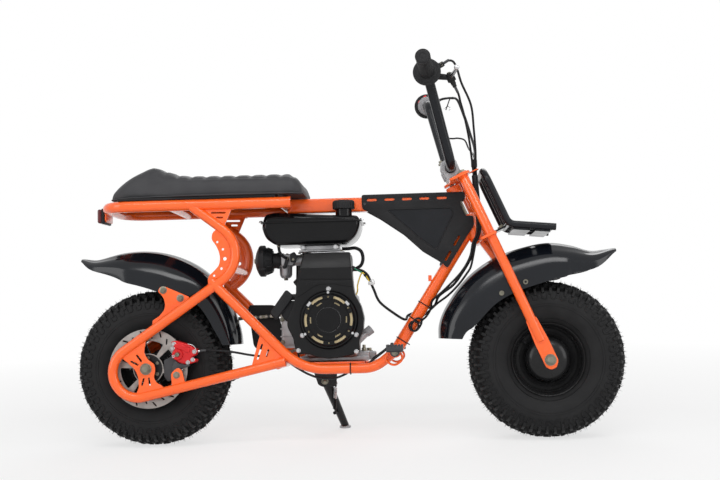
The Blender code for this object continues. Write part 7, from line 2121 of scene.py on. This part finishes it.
# cables, gathered at the eye on the upper clamp and tied to the down tube
cableSettings = {
    "cable": 0.0025,
    "loom": 0.0030,
    "frameEnd": (0.7560, -0.0520, 0.4700),
    "steeringEnd": (0.7515, -0.0620, 0.6050),
    "foot": (0.566, 0.213),
    "throttle": [(0.6960, -0.1957, 0.8370), (0.7070, -0.1958, 0.8340),
                 (0.7150, -0.1950, 0.8170), (0.7235, -0.1920, 0.7869), (0.7440, -0.1600, 0.7435),
                 (0.7505, -0.1150, 0.6977), (0.7545, -0.0780, 0.6521), (0.7544, -0.0640, 0.6113),
                 (0.7580, -0.0600, 0.5700), (0.7610, -0.0550, 0.5250), (0.7620, -0.0520, 0.4850),
                 (0.7575, -0.0510, 0.4620), (0.7500, -0.0510, 0.4470), (0.7440, -0.0505, 0.4200),
                 (0.7370, -0.0490, 0.3920), (0.7270, -0.0460, 0.3760), (0.7080, -0.0400, 0.3520),
                 (0.6845, -0.0280, 0.3293), (0.6600, -0.0120, 0.3120), (0.115, 8, 0.0200),
                 (0.095, 48, 0.0195), (0.075, 80, 0.0190), (0.050, 95, 0.0205), (0.025, 95, 0.0245),
                 (0.5640, 0.0248, 0.2225), (0.5480, 0.0220, 0.2170),
                 (0.5276, 0.0140, 0.2020), (0.5094, 0.0080, 0.1890), (0.4960, 0.0070, 0.1765),
                 (0.4800, 0.0080, 0.1715), (0.4500, 0.0120, 0.1705), (0.4000, 0.0220, 0.1705),
                 (0.3600, 0.0330, 0.1720), (0.3380, 0.0400, 0.1800), (0.3290, 0.0430, 0.2000),
                 (0.3270, 0.0450, 0.2400), (0.3270, 0.0470, 0.3000), (0.3280, 0.0500, 0.3600),
                 (0.3290, 0.0520, 0.3950), (0.3297, 0.0490, 0.4130), (0.3300, 0.0430, 0.4195),
                 (0.3300, 0.0304, 0.4200)],
    "brake": [(0.7205, -0.1760, 0.7480), (0.7285, -0.1500, 0.7240),
              (0.7390, -0.1080, 0.6800), (0.7450, -0.0780, 0.6400), (0.7485, -0.0640, 0.6087),
              (0.7510, -0.0680, 0.5700), (0.7530, -0.0640, 0.5250), (0.7540, -0.0600, 0.4850),
              (0.7510, -0.0585, 0.4620), (0.7430, -0.0585, 0.4460), (0.7350, -0.0570, 0.4130),
              (0.7130, -0.0500, 0.3780), (0.6741, -0.0360, 0.3400), (0.6480, -0.0230, 0.3180),
              (0.115, -32, 0.0215), (0.095, 14, 0.0195), (0.075, 46, 0.0190), (0.050, 60, 0.0190),
              (0.025, 66, 0.0190), (0.010, 86, 0.0190),
              (0.5640, 0.0185, 0.2215), (0.5480, 0.0150, 0.2150), (0.5276, 0.0050, 0.2000),
              (0.5094, -0.0040, 0.1865), (0.4960, -0.0140, 0.1760), (0.4850, -0.0320, 0.1705),
              (0.4750, -0.0600, 0.1680), (0.4670, -0.0840, 0.1665), (0.4600, -0.0920, 0.1640),
              (0.4490, -0.0960, 0.1570), (0.4316, -0.1000, 0.1500), (0.4146, -0.1010, 0.1477),
              (0.3889, -0.0985, 0.1498), (0.3675, -0.0930, 0.1570), (0.3500, -0.0900, 0.1660),
              (0.3300, -0.0885, 0.1790), (0.3130, -0.0885, 0.1920), (0.2960, -0.0885, 0.1965),
              (0.2750, -0.0890, 0.1985), (0.2332, -0.0890, 0.2040), (0.1925, -0.0890, 0.2117),
              (0.1425, -0.0890, 0.2170), (0.1190, -0.0890, 0.2157)],
    "wires": [(0.6860, 0.1940, 0.8255), (0.6990, 0.1740, 0.8240), (0.7100, 0.1480, 0.8190),
              (0.7234, 0.1200, 0.8080), (0.7374, 0.0900, 0.7618), (0.7506, 0.0500, 0.7072),
              (0.7561, 0.0150, 0.6746), (0.7550, -0.0300, 0.6480), (0.7533, -0.0560, 0.6270),
              (0.7515, -0.0588, 0.6100),
              (0.7545, -0.0520, 0.5700), (0.7570, -0.0450, 0.5250), (0.7570, -0.0420, 0.4850),
              (0.7530, -0.0410, 0.4620), (0.7460, -0.0410, 0.4450), (0.7380, -0.0400, 0.4130),
              (0.7180, -0.0350, 0.3800), (0.6960, -0.0260, 0.3520), (0.150, -35, 0.0240),
              (0.128, 5, 0.0225), (0.118, 40, 0.0225), (0.108, 75, 0.0225), (0.090, 110, 0.0220),
              (0.074, 150, 0.0215), (0.5834, -0.0060, 0.2758), (0.5608, -0.0140, 0.2890),
              (0.5269, -0.0180, 0.3168), (0.5137, -0.0200, 0.3455), (0.5072, -0.0200, 0.3618),
              (0.5000, -0.0200, 0.3800), (0.4860, -0.0190, 0.3915), (0.4660, -0.0180, 0.3930),
              (0.4508, -0.0180, 0.3925)],
    "lead": [(0.4403, 0, 0.4440), (0.4550, 0, 0.4440), (0.4720, 0, 0.4450), (0.4850, 0, 0.4370),
             (0.4890, 0, 0.4210), (0.4850, 0, 0.4060), (0.4740, 0, 0.3980), (0.4620, 0, 0.3960),
             (0.4508, 0, 0.3960)],
}


def byTube(along, turn, reach):
    # Along the down tube from its foot, round it from its front, and out.
    foot, head = Vector((0.566, 0, 0.213)), steer(-0.004, 0, -0.045)
    axis = (head - foot).normalized()
    front = Vector((axis.z, 0, -axis.x))
    a = math.radians(turn)
    return foot + axis * along + front * reach * math.cos(a) + Vector((0, reach * math.sin(a), 0))


def cableRoute(points):
    return smooth([byTube(*p) if p[1] > 1 or p[1] < -1 else Vector(p) for p in points], 6)


def makeCable(name, node, points, radius, s, first=()):
    shape = newShape("cableRubber")
    route = cableRoute(list(first) + points)
    tube(shape, route, radius, 16)
    print(name, "length", round(sum((b - a).length for a, b in zip(route, route[1:])), 3), "m")
    paint(shape, "darkSteel")
    for start, after in ((route[0], route[1]), (route[-1], route[-2])):
        way = (after - start).normalized()
        turnedRod(shape, start + way * 0.0002, start + way * 0.0140,
                  [(0, radius + 0.0006), (0.0120, radius + 0.0006), (0.0138, radius)], 20)
    makePiece(name, shape, "frame", [node], blendTo=("steering", s["frameEnd"], s["steeringEnd"]))


def makeCables(s):
    outer, along = barLine(-1)
    start = outer + along * (0.0035 - controlSettings["gripLength"] - 0.0003)
    root = start - along * controlSettings["housingWide"] / 2
    tip = root + steerForward * controlSettings["nose"][0] + steerUp * controlSettings["nose"][1]
    makeCable("throttleCable", "throttle_cable", s["throttle"], s["cable"], s,
              [tip + (tip - root).normalized() * 0.0003])
    f, y, u = controlSettings["pivot"]
    makeCable("brakeCable", "brake_cable", s["brake"], s["cable"], s,
              [steer(f, y, controlSettings["exit"] - 0.0003), steer(f, y + 0.001, controlSettings["exit"] - 0.018)])
    outer, along = barLine(1)
    start = outer + along * (0.0035 - controlSettings["gripLength"] - 0.0003)
    plug = start - along * controlSettings["housingWide"] / 2 + steerForward * 0.0233
    makeCable("switchWires", "switch_wires", s["wires"], s["loom"], s, [plug])

    lead = newShape("cableRubber")
    route = smooth(s["lead"], 6)
    tube(lead, route, 0.0040, 20)
    turnedRod(lead, (0.4508, 0, 0.3960), (0.4720, 0, 0.3978), [(0, 0.0090), (0.0030, 0.0092), (0.0060, 0.0080), (0.0150, 0.0066),
                                                              (0.0190, 0.0052)], 28)
    makePiece("sparkLead", lead, "frame", ["spark_lead"])

    # a bare wire on the left half of the bar, with its bracket, up to the bundle
    spare = newShape("cableRubber")
    line = smooth([(0.6950, 0.1480, 0.7900), (0.6989, 0.1480, 0.8001), (0.7083, 0.1400, 0.8185), (0.7234, 0.1300, 0.8103),
                   (0.7374, 0.0900, 0.7700), (0.7506, 0.0500, 0.7130), (0.7561, 0.0100, 0.6746), (0.7560, -0.0480, 0.6270)], 8)
    tube(spare, line, 0.0014, 10)
    line = smooth([(0.7000, 0.1170, 0.7140), (0.7100, 0.1160, 0.7131), (0.7219, 0.1100, 0.7127), (0.7369, 0.0900, 0.7041),
                   (0.7450, 0.0600, 0.6785), (0.7528, 0.0000, 0.6550), (0.7540, -0.0520, 0.6260)], 8)
    tube(spare, line, 0.0020, 12)
    paint(spare, "brightSteel")
    tube(spare, smooth([(0.6900, 0.1480, 0.7930), (0.6990, 0.1500, 0.7990), (0.7060, 0.1500, 0.7950), (0.7030, 0.1500, 0.7880)], 6),
         0.0012, 8)
    makePiece("barWires", spare, "steering")

    # tape round the bundle above and below the eye
    wrap = newShape("cableRubber")
    for low, high in (((0.7510, -0.0640, 0.6360), (0.7512, -0.0620, 0.6180)), ((0.7516, -0.0620, 0.6000), (0.7545, -0.0600, 0.5500))):
        low, high = Vector(low), Vector(high)
        length = (high - low).length
        turnedRod(wrap, low, high, [(0, 0.0060), (0.0015, 0.0070), (length - 0.0015, 0.0070), (length, 0.0060)], 24)
    makePiece("bundleTape", wrap, "frame", blendTo=("steering", s["frameEnd"], s["steeringEnd"]))

    # ties on the frame
    tie = newShape("blackPlastic")
    for at, reach in ((0.1150, 0.0215), (0.0740, 0.0215), (0.0180, 0.0215)):
        circle = [byTube(at, 360 * k / 40, reach if 20 < 360 * k / 40 < 130 else 0.0148) for k in range(40)]
        tube(tie, smooth(circle, 2, closed=True), 0.0013, 8, closed=True)
    # tied knot of surplus wire where the cables pass the tube
    knot = [byTube(0.066 + 0.016 * math.sin(2 * math.pi * k / 24), -62 + 30 * math.cos(2 * math.pi * k / 24), 0.0215)
            for k in range(24)]
    tube(tie, smooth(knot, 2, closed=True), 0.0024, 10, closed=True)
    knot = [byTube(0.060 + 0.011 * math.sin(2 * math.pi * k / 24), -75 + 26 * math.cos(2 * math.pi * k / 24), 0.0245)
            for k in range(24)]
    tube(tie, smooth(knot, 2, closed=True), 0.0022, 10, closed=True)
    for x, y, radius in ((0.4610, -loopHalf, 0.0122), (0.2332, -loopHalf, 0.0122)):
        z = 0.169 if x > 0.3 else 0.1685
        band = [(x, y + radius * math.cos(2 * math.pi * k / 40), z + radius * math.sin(2 * math.pi * k / 40)) for k in range(40)]
        if x > 0.3:
            tube(tie, band, 0.0014, 8, closed=True)
    makePiece("tubeTies", tie, "frame")

    # engine leads with a clear plug
    leads = newShape()
    for finish, points in (("greenWire", [(0.4700, -0.0230, 0.3960), (0.4800, -0.0240, 0.3900), (0.4900, -0.0230, 0.3840),
                                          (0.5000, -0.0225, 0.3700)]),
                           ("yellowWire", [(0.4760, -0.0240, 0.3560), (0.4800, -0.0260, 0.3700), (0.4870, -0.0260, 0.3850),
                                           (0.4950, -0.0250, 0.3800), (0.5030, -0.0235, 0.3660)]),
                           ("yellowWire", [(0.4700, -0.0250, 0.3300), (0.4755, -0.0250, 0.3430), (0.4760, -0.0240, 0.3560)])):
        paint(leads, finish)
        tube(leads, smooth(points, 8), 0.0016, 12)
    paint(leads, "clearTie")
    softBox(leads, (0.5010, 0.5140), (-0.0300, -0.0210), (0.3570, 0.3640), 0.0010)
    tube(leads, smooth([(0.5040, -0.0255, 0.3640), (0.5120, -0.0255, 0.3700), (0.5160, -0.0255, 0.3620), (0.5120, -0.0255, 0.3560)], 6),
         0.0009, 8)
    paint(leads, "blackPlastic")
    softBox(leads, (0.4910, 0.4970), (-0.0290, -0.0200), (0.3770, 0.3830), 0.0012)
    makePiece("engineLeads", leads, "frame")


makeCables(cableSettings)
print("cables made")
